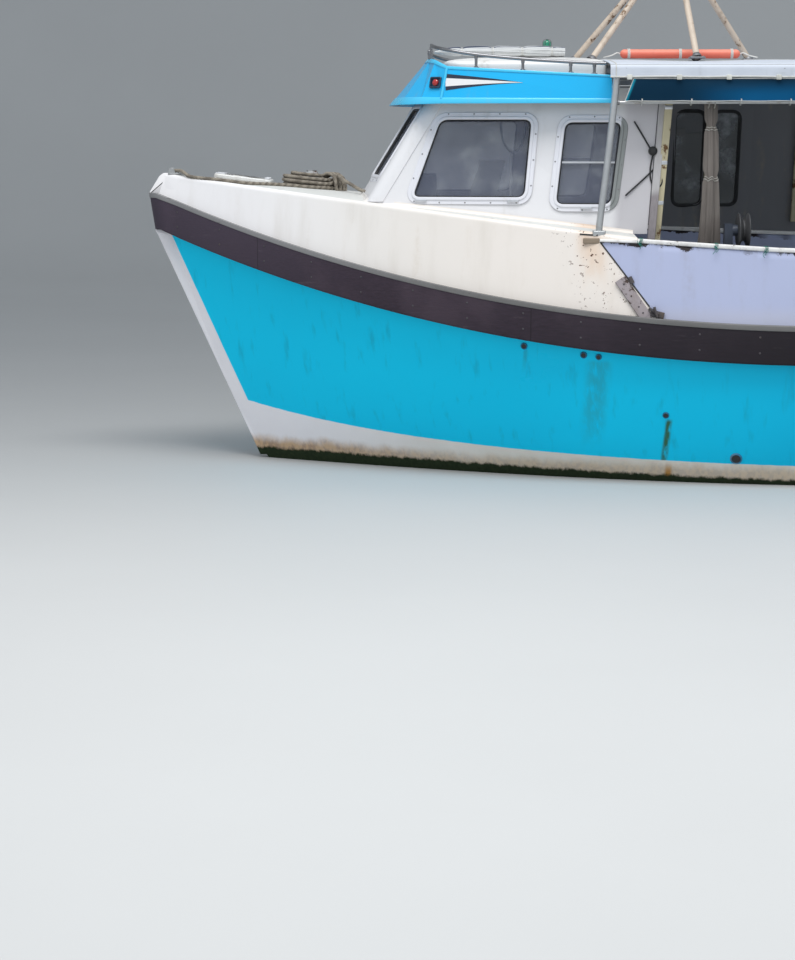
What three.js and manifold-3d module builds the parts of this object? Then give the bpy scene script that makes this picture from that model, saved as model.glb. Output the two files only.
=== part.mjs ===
// A small inshore trawler with its wheelhouse forward, afloat, in millimetres.
// X points to the bow, Y to port and Z up. The origin is amidships on the water's surface.
import * as THREE from "three";
import { mergeVertices } from "three/addons/utils/BufferGeometryUtils.js";
import Module from "manifold-3d";

const wasm = await Module();
wasm.setup();

// Driving dimensions

// The four lengthwise lines that steer the hull's sections, from the keel up. Each runs from bow to stern
// (X), opens to its half-breadth by the power "open", narrows to sternHalf, and rises to both ends.
const hullLines = [
  { name: "rabbet", bow: 2350, stern: -4150, half: 45, sternHalf: 45, open: 1,
    bowZ: -600, midZ: -640, sternZ: -40, riseBow: 1.5, riseStern: 1.7, lowest: 0.55 },
  { name: "garboard", bow: 3430, stern: -4150, half: 1180, sternHalf: 820, open: 1.6,
    bowZ: -580, midZ: -580, sternZ: -60, riseBow: 1.5, riseStern: 1.8, lowest: 0.55 },
  { name: "bilge", bow: 3695, stern: -4150, half: 1440, sternHalf: 1260, open: 1.85,
    bowZ: 250, midZ: -150, sternZ: 120, riseBow: 1.6, riseStern: 2, lowest: 0.55 },
  { name: "sheer", bow: 4190, stern: -4180, half: 1450, sternHalf: 1260, open: 2.3,
    bowZ: 1745, midZ: 985, sternZ: 1040, riseBow: 2.2, riseStern: 2, lowest: 0.51 },
];
const widest = 0.553; // share of the length from the bow to the broadest section
const stemHalf = 25; // half thickness of the stem
const hullWall = 60;
const gap = 0.3; // between pieces that touch
const deckTop = 420;
const deckThick = 25;

const keel = { half: 42, foreX: 2300, foreZ: -655, aftX: -3180, aftZ: -880 };
const shoe = { aftX: -3800, thick: 45, half: 35 };
const propeller = { x: -3380, z: -560, radius: 230, hubRadius: 48, hubLong: 130, blades: 4, shaft: 20 };
const rudder = { x: -3720, fore: 60, aft: 360, top: -260, bottom: -825, thick: 60, stock: 25, pin: 18 };
const strake = { deep: 225, proud: 58, noseX: 4234 };
// The stem facing's outer line as [x, z] from its head under the strakes to its foot.
const facing = {
  half: 24, under: 3.5, // below the strakes' chords
  line: [[4217, 1516.5], [4123, 1310], [3987, 1010], [3869, 750], [3695, 366], [3571, 93], [3538, 19]],
};
const stemHead = { proud: 38, topProud: 7, top: 1860, half: 18 };

// The white moulding: its top edge runs straight, falling aft from the stem head.
const topside = {
  edgeBowX: 4147, edgeBowZ: 1877, slope: 0.122, tumble: 70, tallAt: 490, camber: 45, corner: 26, aftX: 1166,
};
const bulwark = {
  foreX: 1165, foreTop: 1486, midX: 354, midTop: 1437, aftTop: 1290, thick: 40, lean: 55, tall: 430,
  inset: 6, sternInset: 30,
};
const rail = { wide: 56, tall: 26 };

// The wheelhouse leans aft as it rises. Widths and places are given at the sill and change with height.
const cabin = {
  sillZ: 1791, topZ: 2419.7, wall: 45,
  frontX: 2761, frontRake: 0.615, frontHalf: 745, frontNarrow: 0.06, bow: 75,
  aftX: 1172, aftRake: 0.08, aftHalf: 985, aftNarrow: 0.09, wingX: 1062,
};
const sideWindows = [
  { name: "fore", topFore: 2355, topAft: 1784, footAft: 1829, footFore: 2533, top: 2232, foot: 1745 },
  { name: "aft", topFore: 1587, topAft: 1235, footAft: 1300, footFore: 1646, top: 2215, foot: 1704 },
];
const windowCorner = 55;
const frontWindow = { foot: 1875, top: 2300, middleHalf: 225, post: 55, outer: 610 };
const visor = {
  footZ: 2335, aftX: 1310, cornerX: 2355, noseX: 2655, aftHalf: 1000, cornerHalf: 925, band: 45,
  topAftZ: 2494, topCornerZ: 2550, topNoseZ: 2606, topNoseX: 2425, narrow: 25,
};
const roofFoot = 2420;
const roofSlabTop = 2480;
const roofCrown = [
  { scale: 0.95, z: 2440 },
  { scale: 0.945, z: 2568 },
  { scale: 0.9, z: 2590 },
  { scale: 0.55, z: 2616 },
  { scale: 0.2, z: 2622 },
];
// The rails stand on the visor band and bend inboard at their fore ends. Points are [x, half-breadth, z].
const topRail = {
  tube: 11, leg: 9, legs: [1415, 1559, 1851, 2137, 2406], sunk: 10,
  route: [
    [1345, 947, 2566], [1415, 942, 2568], [1559, 932, 2575], [1851, 911, 2594], [2137, 889, 2621],
    [2292, 856, 2646], [2376, 742, 2668], [2406, 520, 2690],
  ],
};
const door = { half: 330, sill: 470, head: 2250, thick: 28, travel: 500 };
const doorOver = 30; // the leaf laps the doorway by this much
const doorClear = 6; // between the leaf and the bulkhead
const doorHeadZ = door.head + doorOver;
const bulkheadThick = 30;

const shelter = {
  tube: 21, foreX: 1300, aftX: -830, half: 1128, topZ: 2530, crown: 52, legFootX: 1395, legFootHalf: 1180,
  lowerRailZ: 2335, sheetThick: 12, skirt: 2477, sheetForeX: 1335, sheetAftX: -880, aftLegHalf: 1330,
};
const post = { wide: 45, footX: 1106, topX: 948, topZ: 2462, y: 968 };
const shelterWall = { foreX: 1060, aftX: -300, thick: 26, foot: 1512, top: 2468, topHalf: 1120 };
const shelterWindows = [
  { name: "fore", fore: 655, aft: 455, top: 2290, foot: 1640 },
  { name: "aft", fore: 385, aft: 205, top: 2290, foot: 1640 },
];
const mast = { apexX: 822, apexZ: 3373, tube: 24, headZ: 3720 };
const mastFeet = [
  { x: 1464, y: -150 },
  { x: 1392, y: 400 },
  { x: 730, y: 500 },
  { x: 286, y: -250 },
];

const engineWell = { fore: 940, aft: 60, half: 330, floor: -330 };
const engineSize = { long: 780, wide: 520, tall: 610 };
const engineLid = { over: 45, thick: 34, openFore: 925, openAft: 75, openHalf: 315 };
const fishHold = {
  fore: -1250, aft: -2150, half: 420, floor: -250, coaming: 150, rim: 40, lid: 36, over: 18,
};
const foreHatch = { fore: 3790, aft: 3470, half: 150, deep: 240, thick: 24, over: 26 };
const bitt = { x: 3185, side: 90, tall: 82, cap: 14, pin: 16, pinHalf: 95, pinUp: 52 };
const coil = { inner: 118, outer: 208, tall: 74 };
const ropeRadius = 12;
const helm = { y: -350, z: 1300, radius: 190, rim: 15, hub: 34, hubAft: 25, hubFore: 30 };
const desk = { aft: 1985, fore: 2195, half: 690, top: 1400, shelfFore: 2640, shelfHalf: 630, shelf: 50 };
const seat = { x: 1520, y: -350, panZ: 930, pan: 420, cushion: 90, back: 400 };
const winch = {
  x: -560, axisZ: 800, cheeks: [-640, -130, 130, 640], cheek: 24, flange: 235, core: 95, shaft: 30,
  inner: 160, outer: 610, reach: 690, baseLong: 260, baseHalf: 700, base: 40, boxLong: 120, boxHalf: 110,
};
const netDrum = {
  x: -2950, axisZ: 1010, cheek: 820, flange: 375, core: 105, shaft: 35, thick: 30, clear: 25, reach: 865,
};
const flangeThick = 12;
const gantry = { x: -3700, half: 1010, top: 2600, box: 110, towHalf: 780 };
const eyeDrop = 60; // how far the gantry's eye plates hang below its head
const lamp = { x: 1632, y: -200 };
const float = { fore: 1197, aft: 429, y: 300, radius: 29 };
// The canvas roll's middle height follows the roof. Its table is [x, radius].
const canvas = {
  y: 430, wide: 1.35, sides: 10, seatX: 1850, seat: 34,
  table: [[2385, 6], [2340, 20], [2250, 32], [2050, 38], [1850, 36], [1650, 40], [1560, 30]],
};
const hauler = { x: 610, y: 1190, z: 1560, radius: 105, wide: 70, arm: 50, hub: 30 };

// Small tools

const place = (geometry, x, y, z) => geometry.translate(x, y, z);
const range = (count) => Array.from({ length: count }, (_, i) => i);
const mix = (a, b, t) => a + (b - a) * t;

// A closed three.js geometry as a solid that can be cut and joined, with its faces turned outwards.
function solid(geometry) {
  const bare = geometry.index ? geometry.toNonIndexed() : geometry.clone();
  bare.deleteAttribute("normal");
  bare.deleteAttribute("uv");
  const merged = mergeVertices(bare, 1e-3);
  const vertProperties = new Float32Array(merged.attributes.position.array);
  const build = (triVerts) =>
    new wasm.Manifold(new wasm.Mesh({ numProp: 3, vertProperties, triVerts }));
  const triangles = new Uint32Array(merged.index.array);
  const made = build(triangles);
  return made.volume() < 0 ? build(triangles.slice().reverse()) : made;
}

function geometryOf(made) {
  const mesh = made.getMesh();
  const positions = new Float32Array(mesh.numVert * 3);
  range(mesh.numVert).forEach((i) => {
    positions.set(mesh.vertProperties.subarray(i * mesh.numProp, i * mesh.numProp + 3), i * 3);
  });
  const geometry = new THREE.BufferGeometry();
  geometry.setAttribute("position", new THREE.BufferAttribute(positions, 3));
  geometry.setIndex(new THREE.BufferAttribute(mesh.triVerts, 1));
  const flat = geometry.toNonIndexed();
  flat.computeVertexNormals();
  return flat;
}

const joined = (...parts) => parts.reduce((sum, part) => sum.add(part));

// A body through rings of equal length. Its ends are closed from the middle of each ring, or, where a
// ring mirrors itself, by strips from each point to its mirror.
function loft(rings, ends = "middle") {
  const count = rings[0].length;
  const points = rings.flat();
  const faces = [];
  for (let i = 0; i < rings.length - 1; i++) {
    for (let j = 0; j < count; j++) {
      const a = i * count + j;
      const b = i * count + ((j + 1) % count);
      faces.push(a, b, b + count, a, b + count, a + count);
    }
  }
  [0, rings.length - 1].forEach((ring) => {
    const start = ring * count;
    const turn = (a, b, c) => (ring === 0 ? faces.push(a, c, b) : faces.push(a, b, c));
    if (ends === "strips") {
      for (let j = 0; j < count / 2 - 1; j++) {
        const other = count - 1 - j;
        turn(start + j, start + j + 1, start + other - 1);
        turn(start + j, start + other - 1, start + other);
      }
      return;
    }
    const middle = [0, 1, 2].map((k) => rings[ring].reduce((s, p) => s + p[k], 0) / count);
    points.push(middle);
    for (let j = 0; j < count; j++) turn(start + j, start + ((j + 1) % count), points.length - 1);
  });
  const geometry = new THREE.BufferGeometry();
  geometry.setAttribute("position", new THREE.Float32BufferAttribute(points.flat(), 3));
  geometry.setIndex(faces);
  return solid(geometry);
}

function block(lowX, highX, lowY, highY, lowZ, highZ) {
  const box = new THREE.BoxGeometry(highX - lowX, highY - lowY, highZ - lowZ);
  return solid(place(box, (lowX + highX) / 2, (lowY + highY) / 2, (lowZ + highZ) / 2));
}

// A round bar between two points.
function bar(from, to, radius, sides = 10) {
  const a = new THREE.Vector3(...from);
  const b = new THREE.Vector3(...to);
  const cylinder = new THREE.CylinderGeometry(radius, radius, a.distanceTo(b), sides);
  const turn = new THREE.Quaternion().setFromUnitVectors(
    new THREE.Vector3(0, 1, 0),
    b.clone().sub(a).normalize(),
  );
  cylinder.applyQuaternion(turn);
  const middle = a.add(b).multiplyScalar(0.5);
  return solid(place(cylinder, middle.x, middle.y, middle.z));
}

// A round tube along a smooth curve through the points.
function bentTube(points, radius, steps, sides = 8) {
  const curve = new THREE.CatmullRomCurve3(
    points.map((p) => new THREE.Vector3(...p)), false, "centripetal",
  );
  const section = new THREE.Shape();
  section.absarc(0, 0, radius, 0, Math.PI * 2, false);
  const geometry = new THREE.ExtrudeGeometry(section, {
    steps, curveSegments: sides / 2, bevelEnabled: false, extrudePath: curve,
  });
  return solid(geometry);
}

// A flat outline in X and Z, carried along Y from lowY to highY.
function sideProfile(outline, lowY, highY) {
  const shape = outline instanceof THREE.Shape ? outline : polygon(outline);
  const geometry = new THREE.ExtrudeGeometry(shape, {
    depth: highY - lowY, bevelEnabled: false, curveSegments: 6,
  });
  geometry.rotateX(Math.PI / 2);
  return solid(place(geometry, 0, highY, 0));
}

// A flat outline in Y and Z, carried along X from lowX to highX.
function frontProfile(outline, lowX, highX) {
  const shape = outline instanceof THREE.Shape ? outline : polygon(outline);
  const geometry = new THREE.ExtrudeGeometry(shape, {
    depth: highX - lowX, bevelEnabled: false, curveSegments: 6,
  });
  geometry.rotateX(Math.PI / 2);
  geometry.rotateZ(Math.PI / 2);
  return solid(place(geometry, lowX, 0, 0));
}

function polygon(points) {
  return new THREE.Shape(points.map(([a, b]) => new THREE.Vector2(a, b)));
}

// An outline of straight edges with every corner rounded.
function rounded(points, radius) {
  const shape = new THREE.Shape();
  const corners = points.map(([a, b]) => new THREE.Vector2(a, b));
  corners.forEach((corner, i) => {
    const before = corners[(i + corners.length - 1) % corners.length];
    const after = corners[(i + 1) % corners.length];
    const start = corner.clone().add(before.clone().sub(corner).setLength(radius));
    const end = corner.clone().add(after.clone().sub(corner).setLength(radius));
    if (i === 0) shape.moveTo(start.x, start.y);
    else shape.lineTo(start.x, start.y);
    shape.quadraticCurveTo(corner.x, corner.y, end.x, end.y);
  });
  shape.closePath();
  return shape;
}

// Turned about an axis along Y through the given centre. The profile is [distance along Y, radius].
function turnedAlongY(profile, x, z, sides) {
  const lathe = new THREE.LatheGeometry(profile.map(([y, r]) => new THREE.Vector2(r, y)), sides);
  return solid(place(lathe, x, 0, z));
}

const group = new THREE.Group();
group.name = "inshore_trawler";

function add(name, part, colour, roughness = 0.5, metalness = 0, parent = group) {
  const geometry = part instanceof THREE.BufferGeometry ? part : geometryOf(part);
  const material = new THREE.MeshStandardMaterial({ color: colour, roughness, metalness });
  const mesh = new THREE.Mesh(geometry, material);
  mesh.name = name;
  parent.add(mesh);
  return mesh;
}

// The hull

// A point on one steering line at the share u of its length from the bow.
function linePoint(line, u) {
  const x = mix(line.bow, line.stern, u);
  const opened = 1 - Math.pow(1 - Math.min(u / widest, 1), line.open);
  const closed = Math.pow(Math.max(u - widest, 0) / (1 - widest), 2);
  let y = stemHalf + (line.half - stemHalf) * opened - (line.half - line.sternHalf) * closed;
  if (line.name === "rabbet") y = line.half;
  const toBow = Math.pow(Math.max(line.lowest - u, 0) / line.lowest, line.riseBow);
  const toStern = Math.pow(Math.max(u - line.lowest, 0) / (1 - line.lowest), line.riseStern);
  const z = line.midZ + (line.bowZ - line.midZ) * toBow + (line.sternZ - line.midZ) * toStern;
  return [x, y, z];
}

// A point of the hull's skin: each section is a cubic curve steered by the four lines.
function hullPoint(u, v) {
  const [a, b, c, d] = hullLines.map((line) => linePoint(line, u));
  const w = 1 - v;
  const shares = [w * w * w, 3 * w * w * v, 3 * w * v * v, v * v * v];
  return [0, 1, 2].map((k) => shares[0] * a[k] + shares[1] * b[k] + shares[2] * c[k] + shares[3] * d[k]);
}

const sheerLine = hullLines[3];
const sheerAt = (u) => linePoint(sheerLine, u);
const sheerShare = (x) => (sheerLine.bow - x) / (sheerLine.bow - sheerLine.stern);

// Half-breadth of the hull's skin at a place along it and a height.
function halfBreadth(x, z) {
  let low = 0;
  let high = 1;
  let u = 0;
  for (let i = 0; i < 40; i++) {
    const v = (low + high) / 2;
    const foreX = hullPoint(0, v)[0];
    const aftX = hullPoint(1, v)[0];
    u = Math.min(Math.max((foreX - x) / (foreX - aftX), 0), 1);
    if (hullPoint(u, v)[2] < z) low = v;
    else high = v;
  }
  return hullPoint(u, low)[1];
}

const jointShare = sheerShare(topside.aftX); // where the moulding ends and the aft bulwark begins
const stations = [
  0, 0.02, 0.05, 0.09, 0.13, 0.18, 0.23, 0.29, jointShare, 0.42, 0.5, 0.58, 0.66, 0.74, 0.82, 0.9, 0.95, 1,
];
const girths = [0, 0.1, 0.2, 0.3, 0.42, 0.54, 0.66, 0.78, 0.9, 1];

// The hull's form, grown or shrunk sideways, with its top carried up by "raise".
function hullForm(grow = 0, raise = 0) {
  const rings = stations.map((u) => {
    const side = girths.map((v) => {
      const [x, y, z] = hullPoint(u, v);
      return [x + (u === 0 ? grow : 0), y + grow, z];
    });
    const top = side[side.length - 1];
    if (raise > 0) side.push([top[0], top[1], top[2] + raise]);
    const port = side.slice().reverse();
    return [...port, ...side.map(([x, y, z]) => [x, -y, z])];
  });
  return loft(rings, "strips");
}

const insideAft = -4090;
const insideFore = 2200;
const deckFoot = deckTop - deckThick;

function hullSolid() {
  const keelSide = sideProfile([
    [keel.foreX + 110, -560],
    [keel.foreX, keel.foreZ],
    [keel.aftX, keel.aftZ],
    [keel.aftX, -280],
    [-2500, -420],
    [-1500, -560],
  ], -keel.half, keel.half);
  const shoeBar = block(shoe.aftX, keel.aftX + 80, -shoe.half, shoe.half, keel.aftZ, keel.aftZ + shoe.thick);
  const inside = hullForm(-hullWall, 80).intersect(
    block(insideAft, insideFore, -2000, 2000, deckFoot - gap, 2000),
  );
  const shaftHole = bar(
    [keel.aftX - 20, 0, propeller.z], [keel.aftX + 160, 0, propeller.z], propeller.shaft + 1, 16,
  );
  const stockHole = bar([rudder.x, 0, -400], [rudder.x, 0, 60], rudder.stock + 1, 16);
  const pinHole = bar([rudder.x, 0, keel.aftZ - 5], [rudder.x, 0, -800], rudder.pin + 1, 16);
  const wells = joined(
    block(engineWell.aft, engineWell.fore, -engineWell.half, engineWell.half, engineWell.floor, 600),
    block(fishHold.aft, fishHold.fore, -fishHold.half, fishHold.half, fishHold.floor, 600),
  );
  return joined(hullForm(), keelSide, shoeBar)
    .subtract(inside)
    .subtract(wells)
    .subtract(shaftHole)
    .subtract(stockHole)
    .subtract(pinHole)
    .subtract(foreHatchWell());
}

// The foredeck follows the moulding's top edge.
const edgeZ = (x) => topside.edgeBowZ - topside.slope * (topside.edgeBowX - x);
const foreHatchTilt = Math.atan(topside.slope);

function foreHatchWell() {
  const { fore, aft, half, deep } = foreHatch;
  return block(aft, fore, -half, half, edgeZ((fore + aft) / 2) - deep, 2200);
}

// The rubbing strake wraps round the stem in a blunt nose and follows the sheer to the transom.
function strakeSolid(side) {
  const shoulder = sheerAt(0.012);
  const noseBreadth = shoulder[1] + strake.proud;
  const nose = [0, 25, 50, 75].map((degrees) => {
    const turn = THREE.MathUtils.degToRad(degrees);
    const x = shoulder[0] + (strake.noseX - shoulder[0]) * Math.cos(turn);
    const y = Math.max(noseBreadth * Math.sin(turn), gap);
    return { x, y, z: sheerAt(Math.max(sheerShare(x), 0))[2], inner: gap };
  });
  const run = stations.filter((u) => u > 0.012).map((u) => {
    const [x, y, z] = sheerAt(u);
    return { x, y: y + strake.proud, z, inner: Math.max(y - 120, gap) };
  });
  const round = 16;
  const rings = [...nose, ...run].map(({ x, y, z, inner }) => {
    const inside = Math.min(inner, y - 0.2);
    const thin = Math.min(round, (y - inside) / 2);
    return [
      [x, inside, z],
      [x, y - thin, z],
      [x, y, z - round],
      [x, y, z - strake.deep + round],
      [x, y - thin, z - strake.deep],
      [x, inside, z - strake.deep],
    ].map(([px, py, pz]) => [px, py * side, pz]);
  });
  return loft(rings).subtract(hullForm(3 * gap, 5));
}

add("hull", hullSolid(), 0x1fb4dc, 0.35);
add("rubbing_strake_port", strakeSolid(1), 0x2b2326, 0.8);
add("rubbing_strake_starboard", strakeSolid(-1), 0x2b2326, 0.8);

// A white facing stands on the stem below the strakes, thin at its foot and deep at its head.
function stemFacing() {
  const inner = facing.line.slice(1).map(([x, z]) => [x - 200, z]).reverse();
  const underStrake = [0.02, 0.01, 0].map((u) => {
    const [x, , z] = sheerAt(u);
    return [x, z - strake.deep - facing.under];
  });
  const { line, half } = facing;
  return sideProfile([...line, ...inner, ...underStrake], -half, half).subtract(hullForm(gap));
}

add("stem_facing", stemFacing(), 0xe6e4e0, 0.35);

// Where the moulding's top edge lies at the share u of the sheer.
function topEdge(u) {
  const [x, y, z] = sheerAt(u);
  const edgeX = x - (sheerLine.bow - topside.edgeBowX) * Math.pow(1 - Math.min(u / 0.1, 1), 2);
  const height = edgeZ(edgeX) - z;
  const edgeY = Math.max(y - topside.tumble * Math.min(height / topside.tallAt, 1.1), stemHalf - 4);
  return [edgeX, edgeY, edgeZ(edgeX)];
}

// A wedge on the moulding's fore end carries it out over the strakes' nose.
function stemHeadSolid() {
  const [edgeX, edgeY, edgeTop] = topEdge(0);
  const foot = sheerLine.bowZ + gap;
  const crown = edgeTop + topside.camber * edgeY / 900;
  const faceX = (z) => mix(sheerLine.bow, edgeX, (z - foot) / (crown - foot)) + 1.5 * gap;
  const { proud, topProud, top, half } = stemHead;
  return sideProfile([
    [faceX(foot), foot], [sheerLine.bow + proud, foot], [faceX(top) + topProud, top], [faceX(top), top],
  ], -half, half);
}

add("stem_head", stemHeadSolid(), 0xe6e4e0, 0.35);

// The moulding as if it were solid, raised a little, or shrunk by "inset" with its ends carried past.
function mouldingForm(raise = 0, inset = 0) {
  const rings = stations.filter((u) => u <= jointShare).map((u) => {
    const past = inset > 0 && u === jointShare ? 40 : 0;
    const [x, y, z] = sheerAt(u);
    const [edgeX, edgeY, top] = topEdge(u);
    const half = Math.max(edgeY - inset, 3);
    const corner = Math.min(topside.corner, half * 0.5);
    const camber = topside.camber * Math.min(edgeY / 900, 1);
    const deck = top + raise - inset;
    const port = [
      [edgeX - past, half * 0.5, deck + camber * 0.75],
      [edgeX - past, half - corner, deck],
      [edgeX - past, half - corner * 0.3, deck - corner * 0.3],
      [edgeX - past, half, deck - corner],
      [x - past, Math.max(y - bulwark.inset - inset, 4), z + (inset > 0 ? -20 : gap)],
    ];
    const starboard = port.map(([px, py, pz]) => [px, -py, pz]).reverse();
    return [[edgeX - past, 0, deck + camber], ...port, ...starboard];
  });
  return loft(rings);
}

// One outline of the wheelhouse at height z, shrunk by inset, and carried aft to aftX.
function cabinRing(z, inset, aftX) {
  const up = z - cabin.sillZ;
  const frontX = cabin.frontX - cabin.frontRake * up;
  const sideHalf = (x) => {
    const wingX = cabin.wingX - cabin.aftRake * up;
    const t = (x - wingX) / (frontX - wingX);
    return mix(cabin.aftHalf - cabin.aftNarrow * up, cabin.frontHalf - cabin.frontNarrow * up, t) - inset;
  };
  const cornerX = frontX - inset * 1.15;
  const noseX = cornerX + cabin.bow;
  const round = 70;
  const aftEnd = aftX - cabin.aftRake * up;
  const aft = new THREE.Vector2(aftEnd, sideHalf(aftEnd));
  const corner = new THREE.Vector2(cornerX, sideHalf(cornerX));
  const kink = new THREE.Vector2(noseX - 6, frontWindow.middleHalf + frontWindow.post / 2);
  const before = corner.clone().add(aft.clone().sub(corner).setLength(round));
  const after = corner.clone().add(kink.clone().sub(corner).setLength(round));
  const bend = new THREE.QuadraticBezierCurve(before, corner, after).getPoints(4);
  const port = [aft, ...bend, kink].map((p) => [p.x, p.y, z]);
  return [...port, ...port.map(([x, y]) => [x, -y, z]).reverse()];
}

const cabinForm = (inset, aftX, lowZ = 1400, highZ = cabin.topZ) =>
  loft([cabinRing(lowZ, inset, aftX), cabinRing(highZ, inset, aftX)]);

// The fore hatch's lid and its low coaming lie on the slope of the foredeck.
const foreLidLong = (foreHatch.fore - foreHatch.aft + 2 * foreHatch.over) / Math.cos(foreHatchTilt);
const foreLidX = foreHatch.fore + foreHatch.over;
const foreLidZ = edgeZ(foreLidX) + 26;

function foreCoaming() {
  const inset = 6;
  const half = foreHatch.half + foreHatch.over - inset;
  const rim = new THREE.BoxGeometry(foreLidLong - 2 * inset, 2 * half, 45);
  rim.translate(-foreLidLong / 2, 0, -45 / 2 - gap);
  rim.rotateY(-foreHatchTilt);
  return solid(place(rim, foreLidX, 0, foreLidZ));
}

const underSideDeck = mouldingForm(0, cabin.wall).intersect(block(1000, 2300, -1500, 1500, 900, 2000));
const moulding = mouldingForm()
  .subtract(cabinForm(cabin.wall, cabin.aftX - 600, 900, 2000))
  .subtract(underSideDeck)
  .add(foreCoaming())
  .subtract(foreHatchWell());
add("topside_moulding", moulding, 0xeeeae2, 0.4);

function aftBulwark() {
  const outer = (u) => {
    const [sheerX, y, z] = sheerAt(u);
    const top = bulwarkTop(sheerX);
    const sink = Math.min((top - z) / bulwark.tall, 1.1);
    const x = Math.min(sheerX, bulwark.foreX);
    const foot = y - bulwark.inset;
    return [
      [x, foot, z + gap],
      [x, foot - bulwark.lean * sink, top],
      [x, foot - bulwark.lean * sink - bulwark.thick, top],
      [x, foot - bulwark.thick, z + gap],
    ];
  };
  const shares = stations.filter((u) => u >= jointShare);
  const port = loft(shares.map(outer));
  const starboard = loft(shares.map((u) => outer(u).map(([x, y, z]) => [x, -y, z])));
  const across = sheerLine.sternHalf - bulwark.sternInset;
  const board = frontProfile([
    [-across, sheerLine.sternZ + gap],
    [across, sheerLine.sternZ + gap],
    [across - 40, bulwark.aftTop],
    [-across + 40, bulwark.aftTop],
  ], sheerLine.stern, sheerLine.stern + bulwark.thick);
  return joined(port, starboard, board);
}

function bulwarkTop(x) {
  if (x > bulwark.midX) {
    const t = (bulwark.foreX - x) / (bulwark.foreX - bulwark.midX);
    return mix(bulwark.foreTop, bulwark.midTop, t);
  }
  return mix(bulwark.midTop, bulwark.aftTop, (bulwark.midX - x) / (bulwark.midX - sheerLine.stern));
}

// Middle of the bulwark's top edge at x.
function bulwarkMiddle(x) {
  const [, y, z] = sheerAt(sheerShare(x));
  const sink = Math.min((bulwarkTop(x) - z) / bulwark.tall, 1.1);
  return y - bulwark.inset - bulwark.lean * sink - bulwark.thick / 2;
}

function bulwarkRail() {
  const shares = stations.filter((u) => u >= jointShare);
  const ring = (side) => (u) => {
    const x = Math.min(sheerAt(u)[0], bulwark.foreX);
    const y = bulwarkMiddle(x);
    const z = bulwarkTop(x) + gap;
    return [
      [x, (y - rail.wide / 2) * side, z],
      [x, (y + rail.wide / 2) * side, z],
      [x, (y + rail.wide / 2) * side, z + rail.tall],
      [x, (y - rail.wide / 2) * side, z + rail.tall],
    ];
  };
  const across = bulwarkMiddle(sheerLine.stern) + rail.wide / 2;
  const low = bulwarkTop(sheerLine.stern + rail.wide) + gap;
  const stern = block(sheerLine.stern, sheerLine.stern + rail.wide, -across, across, low, low + rail.tall);
  return joined(loft(shares.map(ring(1))), loft(shares.map(ring(-1))), stern);
}

add("aft_bulwark", aftBulwark(), 0xdfe6ea, 0.5);
add("bulwark_rail", bulwarkRail(), 0xd8d4cb, 0.5);

// The deck, its hatches and what lies under them

function workingDeck() {
  const { openAft, openFore, openHalf } = engineLid;
  const plan = hullForm(-hullWall - gap, 80).intersect(
    block(insideAft + gap, insideFore - gap, -2000, 2000, deckFoot, deckTop),
  );
  return plan
    .subtract(block(openAft, openFore, -openHalf, openHalf, 300, 500))
    .subtract(block(fishHold.aft, fishHold.fore, -fishHold.half, fishHold.half, 300, 500));
}

add("working_deck", workingDeck(), 0x9aa3a4, 0.8);

const engineMiddle = (engineWell.fore + engineWell.aft) / 2;
const enginePlate = new THREE.BoxGeometry(engineSize.long, engineSize.wide, engineSize.tall);
const engine = add("engine_block", enginePlate, 0x2f4a3c, 0.6, 0.2);
engine.position.set(engineMiddle, 0, engineWell.floor + gap + engineSize.tall / 2);

// A lid's plate with a short grip near its free edge.
const gripFromEdge = 90;
const gripHalf = 70;
const gripRadius = 7;

function lidPlate(long, half, thick) {
  const plate = block(-long, 0, -half, half, 0, thick);
  const x = gripFromEdge - long;
  const gripTop = thick + 30;
  const grip = joined(
    bar([x, -gripHalf, thick - 4], [x, -gripHalf, gripTop], gripRadius, 8),
    bar([x, gripHalf, thick - 4], [x, gripHalf, gripTop], gripRadius, 8),
    bar([x, -gripHalf - gripRadius, gripTop], [x, gripHalf + gripRadius, gripTop], gripRadius, 8),
  );
  return plate.add(grip);
}

const engineLidLong = engineLid.openFore - engineLid.openAft + 2 * engineLid.over;
const engineHatch = add("engine_hatch",
  lidPlate(engineLidLong, engineLid.openHalf + engineLid.over, engineLid.thick), 0xb9bfbe, 0.7);
engineHatch.position.set(engineLid.openFore + engineLid.over, 0, deckTop + gap);

function fishCoaming() {
  const { fore, aft, half, rim, coaming } = fishHold;
  const top = deckTop + coaming;
  const outer = block(aft - rim, fore + rim, -half - rim, half + rim, deckTop + gap, top);
  return outer.subtract(block(aft, fore, -half, half, deckTop - 10, top + 10));
}

add("fish_hatch_coaming", fishCoaming(), 0xe6e6e0, 0.5);
const fishLidLong = fishHold.fore - fishHold.aft + 2 * (fishHold.rim + fishHold.over);
const fishHatch = add("fish_hatch",
  lidPlate(fishLidLong, fishHold.half + fishHold.rim + fishHold.over, fishHold.lid), 0xe6e6e0, 0.5);
fishHatch.position.set(fishHold.fore + fishHold.rim + fishHold.over, 0, deckTop + fishHold.coaming + gap);

// The fore hatch.
const foreLidHalf = foreHatch.half + foreHatch.over;
const foreLid = add("foredeck_hatch",
  block(-foreLidLong, 0, -foreLidHalf, foreLidHalf, 0, foreHatch.thick), 0xe9e6dd, 0.5);
foreLid.position.set(foreLidX, 0, foreLidZ);
foreLid.rotation.y = -foreHatchTilt;

// Foredeck gear

const deckCrown = (x) => edgeZ(x) + topside.camber * Math.min(topEdge(sheerShare(x))[1] / 900, 1);

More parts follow.
